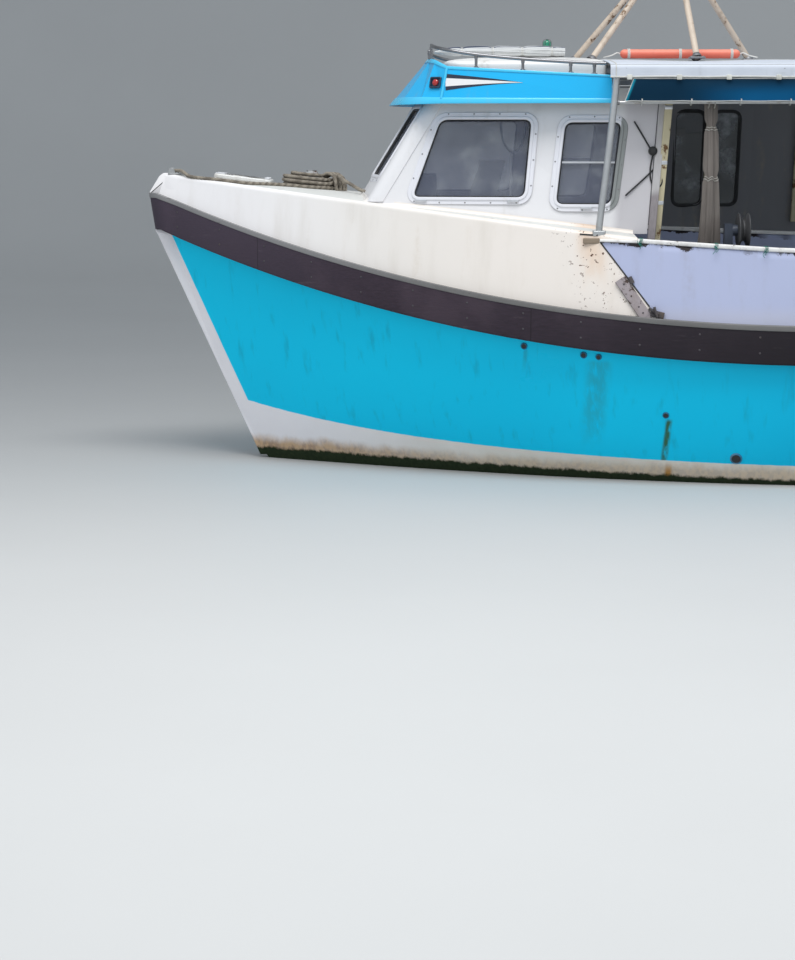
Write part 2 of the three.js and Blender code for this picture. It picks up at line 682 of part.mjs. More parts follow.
function bittSolid() {
  const foot = deckCrown(bitt.x);
  const { x, side, tall, pinUp } = bitt;
  const base = block(x - 75, x + 75, -75, 75, foot - 30, foot + 14);
  const stem = block(x - side / 2, x + side / 2, -side / 2, side / 2, foot, foot + tall);
  const square = (half, z) => [
    [x - half, -half, z], [x + half, -half, z], [x + half, half, z], [x - half, half, z],
  ];
  const cap = loft([square(side / 2, foot + tall), square(side / 4, foot + tall + bitt.cap)]);
  const pin = bar([x, -bitt.pinHalf, foot + pinUp], [x, bitt.pinHalf, foot + pinUp], bitt.pin, 10);
  return joined(base, stem, cap, pin).subtract(mouldingForm(gap));
}

add("mooring_bitt", bittSolid(), 0x8c8f8f, 0.5, 0.6);

function coilRing() {
  const { inner, outer, tall } = coil;
  const profile = [
    [inner, 8], [inner + 14, 0], [outer - 14, 0], [outer, 20],
    [outer - 8, tall - 24], [outer - 40, tall], [inner + 20, tall], [inner, tall - 24], [inner, 8],
  ].map(([r, z]) => new THREE.Vector2(r, z));
  const ring = new THREE.LatheGeometry(profile, 28);
  ring.rotateX(Math.PI / 2);
  const fore = deckCrown(bitt.x + outer);
  const aft = deckCrown(bitt.x - outer);
  ring.rotateY(-Math.atan((fore - aft) / (2 * outer)));
  return solid(place(ring, bitt.x, 0, (fore + aft) / 2 + 1));
}

add("rope_coil", coilRing(), 0x8f8a72, 0.95);

// The rope leaves the coil's port side, bends outboard round the fore hatch and runs forward to the
// stem head.
const ropeRoute = [
  [3243, 212.6, 1802.2], [3290, 219, 1806.4], [3350, 231, 1811.9], [3420, 252, 1817.4],
  [3500, 285, 1820.6], [3600, 312, 1825.6], [3700, 272, 1836.4], [3800, 222, 1847.2],
  [3900, 167, 1854.8], [3980, 118, 1866], [4026, 72, 1894], [4052, 30, 1901],
  [4082, 5, 1900], [4112, 0, 1899],
];
add("rope_run", bentTube(ropeRoute, ropeRadius, 48, 8), 0x8f8a72, 0.95);

function stemFairlead() {
  const foot = deckCrown(4070) + 6;
  const plate = block(3990, 4128, -34, 34, foot - 2, foot + 8);
  const horns = [-1, 1].map((side) => sideProfile([
    [4076, foot + 4], [4126, foot + 4], [4122, foot + 34], [4108, foot + 42], [4090, foot + 34],
  ], side > 0 ? 26 : -32, side > 0 ? 32 : -26));
  return joined(plate, ...horns).subtract(mouldingForm(gap));
}

add("stem_fairlead", stemFairlead(), 0xa6a8a6, 0.4, 0.8);

// The wheelhouse

const slopeWindow = (w, shrink = 0) => rounded([
  [w.footFore - shrink, w.foot + shrink],
  [w.topFore - shrink, w.top - shrink],
  [w.topAft + shrink, w.top - shrink],
  [w.footAft + shrink, w.foot + shrink],
], windowCorner);

const frontPanes = [
  { name: "middle", low: -frontWindow.middleHalf, high: frontWindow.middleHalf },
  { name: "port", low: frontWindow.middleHalf + frontWindow.post, high: frontWindow.outer },
  { name: "starboard", low: -frontWindow.outer, high: -frontWindow.middleHalf - frontWindow.post },
];
const frontOutline = ({ low, high }, shrink = 0) => rounded([
  [low + shrink, frontWindow.foot + shrink],
  [high - shrink, frontWindow.foot + shrink],
  [high - shrink, frontWindow.top - shrink],
  [low + shrink, frontWindow.top - shrink],
], 40);

const windowHoles = joined(
  ...sideWindows.map((w) => sideProfile(slopeWindow(w), -1500, 1500)),
  ...frontPanes.map((p) => frontProfile(frontOutline(p), 2400, 3100)),
);

function cabinShell() {
  const room = cabinForm(cabin.wall, cabin.wingX - 300, 1390, cabin.topZ + 20);
  // Each side runs on past the bulkhead as a narrow wing, and nothing of the skin goes below the deck.
  const underDeck = joined(
    block(900, cabin.aftX - 4, -1500, 1500, 1300, 1530),
    block(2600, 3200, -1500, 1500, 1300, 1690),
  );
  return cabinForm(0, cabin.wingX)
    .subtract(room)
    .subtract(windowHoles)
    .subtract(mouldingForm(gap))
    .subtract(underDeck);
}

add("wheelhouse_shell", cabinShell(), 0xf0eee8, 0.35);

const paneGap = 0.4;
const paneSkin = cabinForm(16, cabin.aftX - 200, 1500, 2400).subtract(
  cabinForm(22, cabin.aftX - 300, 1490, 2410),
);
sideWindows.forEach((w) => {
  [["port", 0, 1500], ["starboard", -1500, 0]].forEach(([side, low, high]) => {
    const pane = paneSkin.intersect(sideProfile(slopeWindow(w, paneGap), low, high));
    add("side_window_" + w.name + "_" + side, pane, 0x8fa3a8, 0.1);
  });
});
frontPanes.forEach((p) => {
  const pane = paneSkin.intersect(frontProfile(frontOutline(p, paneGap), 2300, 3100));
  add("windscreen_" + p.name, pane, 0x8fa3a8, 0.1);
});

// Slopes a piece aft as it rises, as the wheelhouse leans.
function lean(made, aroundZ) {
  const shear = new THREE.Matrix4().makeShear(0, 0, 0, 0, -cabin.aftRake, 0);
  const geometry = geometryOf(made);
  geometry.applyMatrix4(shear);
  return solid(place(geometry, cabin.aftRake * aroundZ, 0, 0));
}

function bulkhead() {
  const x = cabin.aftX;
  const lowHalf = halfBreadth(x + 60, deckTop) - hullWall - 25;
  const sheerZ = sheerAt(jointShare)[2];
  const sheerHalf = halfBreadth(x + 60, sheerZ - 20) - hullWall - 25;
  const upperHalf = topEdge(jointShare)[1] - cabin.wall - 24;
  const underDeckZ = edgeZ(x) - cabin.wall - 12;
  const sideAt = (z) => cabin.aftHalf - cabin.aftNarrow * (z - cabin.sillZ) - cabin.wall - 34;
  const half = [
    [lowHalf, deckTop + gap],
    [mix(lowHalf, sheerHalf, 0.55), mix(deckTop, sheerZ, 0.5)],
    [Math.min(sheerHalf, upperHalf), sheerZ - 10],
    [upperHalf, underDeckZ],
    [sideAt(underDeckZ), underDeckZ + 2],
    [sideAt(cabin.topZ), cabin.topZ - 8],
  ];
  const outline = [...half, ...half.map(([y, z]) => [-y, z]).reverse()];
  const way = block(0, 3000, -door.half, door.half, door.sill, door.head);
  const plate = frontProfile(outline, x - bulkheadThick, x).subtract(way);
  const reach = door.half + doorOver;
  const trackAft = x - bulkheadThick - doorClear - door.thick - 4;
  const trackTop = doorHeadZ + 34;
  const track = block(trackAft, x - 2, -reach - door.travel, reach, doorHeadZ + gap, trackTop);
  return lean(plate.add(track), cabin.sillZ);
}

add("wheelhouse_bulkhead", bulkhead(), 0xecebe4, 0.4);

// The door's light, a rounded opening in its upper half.
const doorLight = (shrink) => {
  const half = door.half - 90 - shrink;
  const low = 1560 + shrink;
  const high = 2120 - shrink;
  return rounded([[-half, low], [half, low], [half, high], [-half, high]], 60);
};
const doorGrip = { low: 270, high: 286, lowZ: 1330, highZ: 1470, bar: 16, out: 30 };

// The door hangs behind the bulkhead and slides to starboard along a top track.
function slidingDoor() {
  const aft = cabin.aftX - bulkheadThick - doorClear;
  const reach = door.half + doorOver;
  const leaf = block(aft - door.thick, aft, -reach, reach, door.sill - 25, doorHeadZ);
  const light = frontProfile(doorLight(0), aft - 100, aft + 50);
  const face = aft - door.thick;
  const { low, high, lowZ, highZ, bar: thick, out } = doorGrip;
  const grip = joined(
    block(face - out, face + 2, low, high, lowZ, lowZ + thick),
    block(face - out, face + 2, low, high, highZ - thick, highZ),
    block(face - out, face - out + 12, low, high, lowZ, highZ),
  );
  return lean(leaf.subtract(light).add(grip), cabin.sillZ);
}

function doorGlass() {
  const aft = cabin.aftX - bulkheadThick - doorClear;
  return lean(frontProfile(doorLight(paneGap), aft - 17, aft - 11), cabin.sillZ);
}

add("cabin_door", slidingDoor(), 0xe4e3dc, 0.45);
add("cabin_door_glass", doorGlass(), 0x8fa3a8, 0.1);

// The roof and its blue visor band

// The visor's outline: down at its foot it reaches forward, and at its top it is drawn back.
function visorRing(inset, atTop, lift = 0, past = 0) {
  const narrow = atTop ? visor.narrow : 0;
  const noseX = atTop ? visor.topNoseX : visor.noseX;
  const outline = [
    [visor.aftX - past, visor.aftHalf - narrow - inset],
    [visor.cornerX - (atTop ? 40 : 0), visor.cornerHalf - narrow - inset],
    [mix(visor.cornerX, noseX, 0.42) - inset * 0.5, visor.cornerHalf - 90 - narrow - inset],
    [mix(visor.cornerX, noseX, 0.8) - inset, visor.cornerHalf - 330 - narrow],
    [noseX - inset, 220],
  ];
  const height = (x) => {
    if (!atTop) return visor.footZ + lift;
    const t = (x - visor.aftX) / (visor.cornerX - visor.aftX);
    const nose = Math.min(Math.max(x - visor.cornerX + 40, 0) / 110, 1);
    const climb = (visor.topNoseZ - visor.topCornerZ) * nose;
    return mix(visor.topAftZ, visor.topCornerZ, t) + climb + lift;
  };
  const port = outline.map(([x, y]) => [x, y, height(x)]);
  return [...port, ...port.map(([x, y, z]) => [x, -y, z]).reverse()];
}

const visorForm = (inset, lowLift = 0, highLift = 0, past = 0) =>
  loft([visorRing(inset, false, lowLift, past), visorRing(inset, true, highLift, past)]);

const visorBand = visorForm(0).subtract(visorForm(visor.band, -60, 60, 60));
add("visor_band", visorBand, 0x3ab7e6, 0.35);

function roofSolid() {
  const slab = block(visor.aftX, 3000, -1500, 1500, roofFoot, roofSlabTop);
  const inside = visorForm(visor.band + gap, -60, 60, 60).intersect(slab);
  const crownRing = ({ scale, z }) =>
    visorRing(visor.band + gap, true).map(([x, y]) => [mix(1800, x, scale), y * scale, z]);
  return inside.add(loft(roofCrown.map(crownRing)));
}

const roof = roofSolid();
add("wheelhouse_roof", roof, 0xf2f0ea, 0.35);

// Height of the roof's top at a place, found by looking down on the solid.
function topOf(made, x, y) {
  const column = made.intersect(block(x - 1, x + 1, y - 1, y + 1, 2000, 3000));
  return column.boundingBox().max[2];
}

// The shelter abaft the wheelhouse

const sheetTop = (y) => {
  const under = shelter.topZ + shelter.tube + 4;
  return under + shelter.sheetThick + shelter.crown * (1 - Math.pow(y / shelter.half, 2));
};

// The sheet's section is bent, so its ends are closed strip by strip between its outer and inner lines.
function canopySheet() {
  const { half, tube, sheetThick, skirt, topZ } = shelter;
  const edge = half + tube + 4;
  const across = [1, 0.8, 0.55, 0.28, 0, -0.28, -0.55, -0.8, -1];
  const outer = [
    [edge + sheetThick, skirt], [edge + sheetThick, topZ + 16],
    ...across.map((t) => [half * t, sheetTop(half * t)]),
    [-edge - sheetThick, topZ + 16], [-edge - sheetThick, skirt],
  ];
  const inner = [
    [edge, skirt], [edge, topZ + 14],
    ...across.map((t) => [half * t, sheetTop(half * t) - sheetThick]),
    [-edge, topZ + 14], [-edge, skirt],
  ];
  const section = [...outer, ...inner.slice().reverse()];
  const ends = [shelter.sheetForeX, shelter.sheetAftX];
  return loft(ends.map((x) => section.map(([y, z]) => [x, y, z])), "strips");
}

add("canopy_sheet", canopySheet(), 0xe9e9e4, 0.6);

// A solid grown upwards and to both sides by the running gap, to cut what stands on it.
const lifted = (made) => [-2, 0, 2].reduce(
  (sum, side) => sum.add(solid(place(geometryOf(made), 0, side * gap, 2 * gap))), made,
);
const railGrown = lifted(bulwarkRail());

// A band of fabric clipped along the port side under the sheet, its fore end cut on a slant.
const fasciaTop = 2470;

function shelterFascia() {
  const { half, tube, foreX, aftX, lowerRailZ } = shelter;
  const outline = [
    [foreX - 55, lowerRailZ], [aftX, lowerRailZ], [aftX, fasciaTop], [foreX - 105, fasciaTop],
  ];
  const y = half + tube + 4;
  return sideProfile(outline, y, y + 10);
}

// The bent leg that stands on the port deck edge, with its foot plate.
function foreLeg() {
  const { tube, foreX, half, topZ, legFootX: x, legFootHalf: y } = shelter;
  const foot = edgeZ(x);
  const bend = bentTube([
    [x, y, foot + 30], [x - 40, y - 12, 1900], [x - 92, half + 6, 2380],
    [foreX - 6, half, topZ - 60], [foreX - 30, half, topZ],
  ], tube, 12);
  const stub = bar([x, y, foot + 8], [x, y, foot + 40], tube);
  const plate = block(x - 40, x + 40, y - 34, y + 34, foot - 20, foot + 16);
  return joined(bend, stub, plate);
}

// The aft leg of one side, from the bulwark's rail up to the top rail.
function aftLeg(side) {
  const { tube, half, topZ, aftX, aftLegHalf } = shelter;
  const x = aftX + 40;
  const foot = bulwarkTop(x) + rail.tall + 2 * gap;
  const route = [[aftLegHalf, foot], [half + 90, 1950], [half, 2330], [half, topZ]];
  const leg = bentTube(route.map(([y, z]) => [x, side * y, z]), tube, 8);
  const y = side * aftLegHalf;
  return leg.add(block(x - 40, x + 40, y - 28, y + 28, foot - 20, foot + 10));
}

// Tubes: three hoops, a top rail and an aft leg on each side, and to port a fore leg and a lower rail.
function shelterFrame() {
  const { tube, foreX, aftX, half, topZ, crown, lowerRailZ } = shelter;
  const hoop = (x) => bentTube([
    [x, -half, topZ], [x, -half * 0.5, topZ + crown * 0.75], [x, 0, topZ + crown],
    [x, half * 0.5, topZ + crown * 0.75], [x, half, topZ],
  ], tube - 2, 8);
  const topRailOf = (side) => bar([foreX + 12, side * half, topZ], [aftX - 12, side * half, topZ], tube);
  const lowZ = lowerRailZ - 7;
  return joined(
    hoop(foreX - 25), hoop((foreX + aftX) / 2), hoop(aftX + 25),
    topRailOf(1), topRailOf(-1), foreLeg(), aftLeg(1), aftLeg(-1),
    bar([foreX, half, lowZ], [aftX + 40, half, lowZ], 10, 8),
  ).subtract(mouldingForm(gap)).subtract(railGrown);
}

add("shelter_frame", shelterFrame(), 0xb9bdbe, 0.3, 0.9);
add("shelter_fascia_port", shelterFascia(), 0x1d5f86, 0.6);

// A plate that stands on the starboard bulwark and leans in to the top rail, with two windows.
function shelterWallForm(inset) {
  const { foreX, aftX, foot, top, topHalf, thick } = shelterWall;
  const xs = [foreX, mix(foreX, aftX, 0.35), mix(foreX, aftX, 0.7), aftX];
  return loft(xs.map((x) => {
    const low = -bulwarkMiddle(x) - thick / 2 + inset;
    const high = -topHalf + inset;
    return [
      [x, low, bulwarkTop(x) + rail.tall - 10],
      [x, low + thick - 2 * inset, bulwarkTop(x) + rail.tall - 10],
      [x, high + thick - 2 * inset, top],
      [x, high, top],
    ];
  }));
}

const shelterPane = (w, shrink) => sideProfile(rounded([
  [w.fore - shrink, w.foot + shrink], [w.fore - shrink, w.top - shrink],
  [w.aft + shrink, w.top - shrink], [w.aft + shrink, w.foot + shrink],
], 55), -1500, -900);

add("shelter_wall_starboard",
  shelterWallForm(0)
    .subtract(joined(...shelterWindows.map((w) => shelterPane(w, 0))))
    .subtract(railGrown),
  0xe3e2dc, 0.5);
shelterWindows.forEach((w) => {
  add("shelter_window_" + w.name, shelterWallForm(10).intersect(shelterPane(w, 0.4)), 0x4d5a5e, 0.1);
});

// The cream post stands on the deck just abaft the port wing and carries the roof's corner.
function shelterPost() {
  const { wide, footX, topX, topZ, y } = post;
  const ring = (x, z) => [[x - wide / 2, y - wide / 2, z], [x + wide / 2, y - wide / 2, z],
    [x + wide / 2, y + wide / 2, z], [x - wide / 2, y + wide / 2, z]];
  return loft([ring(footX, deckTop + gap), ring(topX, topZ)]);
}

add("shelter_post", shelterPost(), 0xe4d9b8, 0.6);

// Three tubes that meet at the masthead, with a foot plate under each and a pole above.
function mastTripod() {
  const { apexX, apexZ, tube, headZ } = mast;
  const parts = [bar([apexX, 0, apexZ - 60], [apexX, 0, headZ], tube)];
  mastFeet.forEach(({ x, y }) => {
    const onRoof = x > shelter.sheetForeX;
    const z = (onRoof ? topOf(roof, x, y) : sheetTop(Math.abs(y))) + 5;
    parts.push(bar([x, y, z], [apexX, 0, apexZ], tube - 4));
    parts.push(block(x - 50, x + 50, y - 50, y + 50, z - 8, z + 8));
  });
  parts.push(bar([apexX - 15, -260, apexZ - 250], [apexX - 15, 260, apexZ - 250], 12, 8));
  parts.push(bar([apexX, 0, headZ - 4], [apexX, 0, headZ + 90], 38, 12));
  return joined(...parts).subtract(roofGrown).subtract(sheetGrown);
}

const roofGrown = lifted(roof);
const sheetGrown = lifted(canopySheet());
add("mast_tripod", mastTripod(), 0xc3c6c6, 0.35, 0.8);

// A low rail along each side of the roof on short stanchions, the last of them under its fore end.
const bandGrown = lifted(visorBand);

function roofRail(side) {
  const { tube, leg, legs, sunk, route } = topRail;
  const points = route.map(([x, y, z]) => [x, side * y, z]);
  const parts = [bentTube(points, tube, 16)];
  points.filter(([x]) => legs.includes(x)).forEach(([x, y, z]) => {
    const foot = topOf(visorBand, x, y) - sunk;
    parts.push(bar([x, y, foot], [x, y, z], leg, 8));
  });
  return joined(...parts).subtract(roofGrown).subtract(bandGrown);
}

add("roof_rail_port", roofRail(1), 0xc3c6c6, 0.3, 0.9);
add("roof_rail_starboard", roofRail(-1), 0xc3c6c6, 0.3, 0.9);

// A rolled canvas lashed along the roof, pointed at its fore end.
function canvasRoll() {
  const { y, wide, sides, seatX, seat, table } = canvas;
  const middleZ = topOf(roof, seatX, y) + seat;
  const ring = ([x, r]) => range(sides).map((i) => {
    const turn = (i / sides) * Math.PI * 2;
    return [x, y + wide * r * Math.cos(turn), middleZ + r * Math.sin(turn)];
  });
  return loft(table.map(ring)).subtract(roofGrown);
}

add("canvas_roll", canvasRoll(), 0xe2e3e0, 0.8);

// A long orange float lashed on the sheet.
const buoyLong = float.fore - float.aft;
const buoyShape = new THREE.CapsuleGeometry(float.radius, buoyLong - 2 * float.radius, 4, 12);
buoyShape.rotateZ(Math.PI / 2);
const buoy = add("sausage_float", buoyShape, 0xe8634a, 0.5);
buoy.position.set((float.fore + float.aft) / 2, float.y, sheetTop(float.y) + float.radius + gap);

function roofLamp() {
  const { x, y } = lamp;
  const foot = topOf(roof, x, y) + 2 * gap;
  const profile = [[0, 0], [34, 0], [34, 8], [12, 12], [12, 70], [30, 80], [30, 128], [18, 140], [0, 140]];
  const lathe = new THREE.LatheGeometry(profile.map(([r, z]) => new THREE.Vector2(r, z)), 14);
  lathe.rotateX(Math.PI / 2);
  return solid(place(lathe, x, y, foot - 4)).subtract(roofGrown);
}

add("roof_lamp", roofLamp(), 0x2e6b4f, 0.3);

// Inside the wheelhouse

function consoleSolid() {
  const { aft, fore, half, top, shelfFore, shelfHalf, shelf } = desk;
  return joined(
    block(aft, fore, -half, half, deckTop + gap, top),
    block(aft, shelfFore, -shelfHalf, shelfHalf, top - shelf, top),
  );
}

add("console", consoleSolid(), 0x8a6a48, 0.7);

function helmWheel() {
  const { radius, rim, hub, hubAft, hubFore } = helm;
  const torus = solid(new THREE.TorusGeometry(radius, rim, 7, 22));
  const spokes = range(5).map((i) => {
    const turn = (i / 5) * Math.PI * 2;
    return bar([0, 0, 0], [radius * Math.cos(turn), radius * Math.sin(turn), 0], 9, 8);
  });
  return joined(torus, bar([0, 0, -hubAft], [0, 0, hubFore], hub, 16), ...spokes);
}

const wheel = add("helm_wheel", helmWheel(), 0x2f2f30, 0.5);
wheel.position.set(desk.aft - helm.hubFore - gap, helm.y, helm.z);
wheel.rotation.y = Math.PI / 2;

function seatBase() {
  const { x, y, panZ, pan } = seat;
  return joined(
    bar([x, y, deckTop + gap], [x, y, deckTop + 16], 150, 20),
    bar([x, y, deckTop + 10], [x, y, panZ], 34, 14),
    block(x - pan / 2, x + pan / 2, y - pan / 2, y + pan / 2, panZ - 8, panZ),
  );
}

add("helm_seat_base", seatBase(), 0x9fa2a3, 0.4, 0.7);

function seatCushion() {
  const { x, y, panZ, pan, cushion, back } = seat;
  const fore = x + pan / 2;
  const aft = x - pan / 2;
  const seatZ = panZ + cushion;
  return sideProfile(rounded([
    [fore, panZ + gap], [fore, seatZ], [aft + 90, seatZ],
    [aft + 70, seatZ + back], [aft, seatZ + back], [aft, panZ + gap],
  ], 24), y - pan / 2, y + pan / 2);
}

add("helm_seat_cushion", seatCushion(), 0x2b3138, 0.8);

// Under water

// One blade: sections of a twisted plate, carried out from the hub along Z.
function propellerBlade() {
  const table = [
    { reach: 30, chord: 90, pitch: 62 },
    { reach: 90, chord: 150, pitch: 48 },
    { reach: 150, chord: 170, pitch: 36 },
    { reach: 205, chord: 120, pitch: 29 },
    { reach: propeller.radius, chord: 30, pitch: 26 },
  ];
  return loft(table.map(({ reach, chord, pitch }) => {
    const turn = THREE.MathUtils.degToRad(pitch);
    const thick = mix(14, 5, reach / propeller.radius);
    const section = [[-0.5, 0], [-0.25, 0.5], [0.25, 0.5], [0.5, 0], [0.25, -0.5], [-0.25, -0.5]];
    const [sin, cos] = [Math.sin(turn), Math.cos(turn)];
    return section.map(([c, t]) => {
      const along = c * chord;
      const over = t * thick;
      return [along * sin + over * cos, along * cos - over * sin, reach];
    });
  }));
}

function propellerSolid() {
  const { hubRadius, hubLong, blades, shaft, x } = propeller;
  const hub = new THREE.LatheGeometry([
    [0, -hubLong / 2 - 30], [26, -hubLong / 2 - 18], [hubRadius, -hubLong / 2 + 20],
    [hubRadius + 4, hubLong / 2], [0, hubLong / 2],
  ].map(([r, z]) => new THREE.Vector2(r, z)), 20);
  hub.rotateZ(-Math.PI / 2);
  const blade = propellerBlade();
  const turned = range(blades).map((i) => blade.rotate([(i * 360) / blades, 0, 0]));
  const stub = bar([hubLong / 2 - 4, 0, 0], [keel.aftX + 155 - x, 0, 0], shaft, 16);
  return joined(solid(hub), stub, ...turned);
}

const screw = add("propeller", propellerSolid(), 0xb08d4e, 0.4, 0.8);
screw.position.set(propeller.x, 0, propeller.z);

function rudderSolid() {
  const { fore, aft, top, bottom, thick, stock, pin } = rudder;
  const outline = new THREE.Shape([
    [fore, 0], [fore * 0.6, thick * 0.36], [-20, thick / 2], [-aft * 0.55, thick * 0.38], [-aft, 5],
    [-aft, -5], [-aft * 0.55, -thick * 0.38], [-20, -thick / 2], [fore * 0.6, -thick * 0.36],
  ].map(([x, y]) => new THREE.Vector2(x, y)));
  const blade = new THREE.ExtrudeGeometry(outline, { depth: top - bottom, bevelEnabled: false });
  return joined(
    solid(place(blade, 0, 0, bottom)),
    bar([0, 0, top - 20], [0, 0, 20], stock, 16),
    bar([0, 0, bottom + 10], [0, 0, keel.aftZ + 4], pin, 16),
  );
}

const blade = add("rudder", rudderSolid(), 0x6b3028, 0.7);
blade.position.set(rudder.x, 0, 0);

// Fishing gear on the working deck

// A drum turned about its shaft, bare outside the flanges and as thick as its core between them.
function drumShaft({ x, axisZ, core, shaft, flange, reach }, spans) {
  const profile = [[-reach, 0], [-reach, shaft]];
  spans.forEach(([low, high]) => {
    const [lowIn, highIn] = [low + flangeThick, high - flangeThick];
    profile.push([low, shaft], [low, flange], [lowIn, flange], [lowIn, core]);
    profile.push([highIn, core], [highIn, flange], [high, flange], [high, shaft]);
  });
  profile.push([reach, shaft], [reach, 0]);
  return turnedAlongY(profile, x, axisZ, 22);
}

// A cheek plate that narrows from its foot to its bearing.
const cheekPlate = (x, foot, footZ, head, headZ, low, high) => sideProfile([
  [x - foot, footZ], [x + foot, footZ], [x + head, headZ], [x - head, headZ],
], low, high);

function winchFrame() {
  const { x, axisZ, cheeks, cheek, shaft, baseLong, baseHalf, base, boxLong, boxHalf } = winch;
  const parts = [
    block(x - baseLong, x + baseLong, -baseHalf, baseHalf, deckTop + gap, deckTop + base),
    block(x - boxLong, x + boxLong, -boxHalf, boxHalf, deckTop + 30, axisZ + 110),
    ...cheeks.map((y) =>
      cheekPlate(x, 230, deckTop + 30, 80, axisZ + 70, y - cheek / 2, y + cheek / 2)),
  ];
  return joined(...parts).subtract(bar([x, -800, axisZ], [x, 800, axisZ], shaft + 1, 24));
}

const drumSpans = [[-winch.outer, -winch.inner], [winch.inner, winch.outer]];
add("winch_frame", winchFrame(), 0x2f5f8f, 0.6, 0.3);
add("winch_drums", drumShaft(winch, drumSpans), 0x8d9293, 0.5, 0.7);

function netDrumStand() {
  const { x, axisZ, cheek, shaft, thick } = netDrum;
  return joined(
    block(x - 60, x + 60, -cheek - 60, cheek + 60, deckTop + gap, deckTop + 50),
    ...[cheek, -cheek - thick].map((low) =>
      cheekPlate(x, 260, deckTop + gap, 70, axisZ + 75, low, low + thick)),
  ).subtract(bar([x, -1000, axisZ], [x, 1000, axisZ], shaft + 1, 24));
}

const netSpan = netDrum.cheek - netDrum.clear;
add("net_drum_stand", netDrumStand(), 0x2f5f8f, 0.6, 0.3);
add("net_drum", drumShaft(netDrum, [[-netSpan, netSpan]]), 0x8d9293, 0.5, 0.7);

function gantrySolid() {
  const { x, half, top, box, towHalf } = gantry;
  const thick = box / 2;
  const head = block(x - thick, x + thick, -half - thick, half + thick, top - box, top);
  const sides = [1, -1].flatMap((side) => {
    const y = side * half;
    const eyeY = side * towHalf;
    return [
      block(x - thick, x + thick, y - thick, y + thick, deckTop + 10, top - 10),
      block(x - box, x + box, y - box, y + box, deckTop + gap, deckTop + 20),
      bar([x + 30, y, top - 350], [x + 30, y - side * 150, top - 60], 24),
      block(x - 10, x + 10, eyeY - 40, eyeY + 40, top - box - eyeDrop, top - box + 10),
    ];
  });
  return joined(head, ...sides);
}

add("stern_gantry", gantrySolid(), 0x2f5f8f, 0.55, 0.3);

// A towing block: two cheeks round a sheave, hung by its strap on the gantry's eye plate.
function towingBlock(y) {
  const { x, top, box } = gantry;
  const head = top - box - eyeDrop - gap;
  const cheek = (low) => sideProfile(rounded([
    [x - 70, head - 250], [x + 70, head - 250], [x + 70, head - 70], [x - 70, head - 70],
  ], 60), low, low + 8);
  return joined(
    cheek(y - 34), cheek(y + 26),
    bar([x, y - 28, head - 160], [x, y + 28, head - 160], 62, 20),
    block(x - 14, x + 14, y - 34, y + 34, head - 84, head - 66),
    block(x - 14, x + 14, y - 10, y + 10, head - 76, head),
  );
}

add("towing_block_port", towingBlock(gantry.towHalf), 0x74797b, 0.5, 0.7);
add("towing_block_starboard", towingBlock(-gantry.towHalf), 0x74797b, 0.5, 0.7);

// A line hauler on the port bulwark's inner side, its disc facing aft.
function haulerBase() {
  const { x, y, z, arm, hub } = hauler;
  const inner = bulwarkMiddle(x) - bulwark.thick / 2;
  const [aft, fore] = [x - arm / 2, x + arm / 2];
  return joined(
    block(x - 60, x + 60, inner - 24, inner - 3.7, z - 420, z - 130),
    block(aft, fore, y - 30, inner - 12, z - 260, z - 200),
    block(aft, fore, y - 30, y + 30, z - 260, z + 40),
    bar([aft + 4, y, z], [aft - hub, y, z], 34, 16),
  );
}

add("hauler_base", haulerBase(), 0x33383b, 0.6, 0.4);

function haulerDisc() {
  const { radius, wide } = hauler;
  const profile = [
    [0, 0], [radius, 0], [radius, 8], [radius * 0.62, wide * 0.42], [radius * 0.62, wide * 0.58],
    [radius, wide - 8], [radius, wide], [0, wide],
  ];
  const lathe = new THREE.LatheGeometry(profile.map(([r, z]) => new THREE.Vector2(r, z)), 24);
  lathe.rotateZ(Math.PI / 2);
  return solid(lathe);
}

const disc = add("hauler_disc", haulerDisc(), 0x23272a, 0.6, 0.4);
disc.position.set(hauler.x - hauler.arm / 2 - hauler.hub - gap, hauler.y, hauler.z);

export default group;
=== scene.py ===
import math

import bmesh
import bpy
import numpy as np
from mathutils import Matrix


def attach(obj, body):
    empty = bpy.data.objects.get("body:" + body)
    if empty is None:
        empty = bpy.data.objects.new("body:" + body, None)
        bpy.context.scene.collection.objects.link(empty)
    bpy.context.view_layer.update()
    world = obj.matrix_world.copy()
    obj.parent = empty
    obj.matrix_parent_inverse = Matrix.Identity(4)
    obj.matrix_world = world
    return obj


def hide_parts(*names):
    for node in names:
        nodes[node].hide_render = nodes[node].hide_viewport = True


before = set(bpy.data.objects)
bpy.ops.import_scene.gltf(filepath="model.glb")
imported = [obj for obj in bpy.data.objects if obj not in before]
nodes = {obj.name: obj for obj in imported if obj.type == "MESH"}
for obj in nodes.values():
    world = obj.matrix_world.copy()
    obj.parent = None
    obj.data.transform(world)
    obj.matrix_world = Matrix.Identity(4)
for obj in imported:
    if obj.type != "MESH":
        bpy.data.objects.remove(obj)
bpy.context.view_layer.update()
print("frame loaded:", len(nodes), "nodes")

# Shapes. A shape is (points, faces, uv): points count x 3, faces a list of index arrays, uv count x 2 or None.


def net(rows, cols, loopRows=False, loopCols=False):
    # quads between the neighbours of a rows x cols net of points, wrapped where a direction closes on itself
    r = np.arange(rows if loopRows else rows - 1)[:, None]
    c = np.arange(cols if loopCols else cols - 1)[None, :]
    nextRow = (r + 1) % rows
    nextCol = (c + 1) % cols
    corners = [r * cols + c, nextRow * cols + c, nextRow * cols + nextCol, r * cols + nextCol]
    return np.stack(np.broadcast_arrays(*corners), -1).reshape(-1, 4)


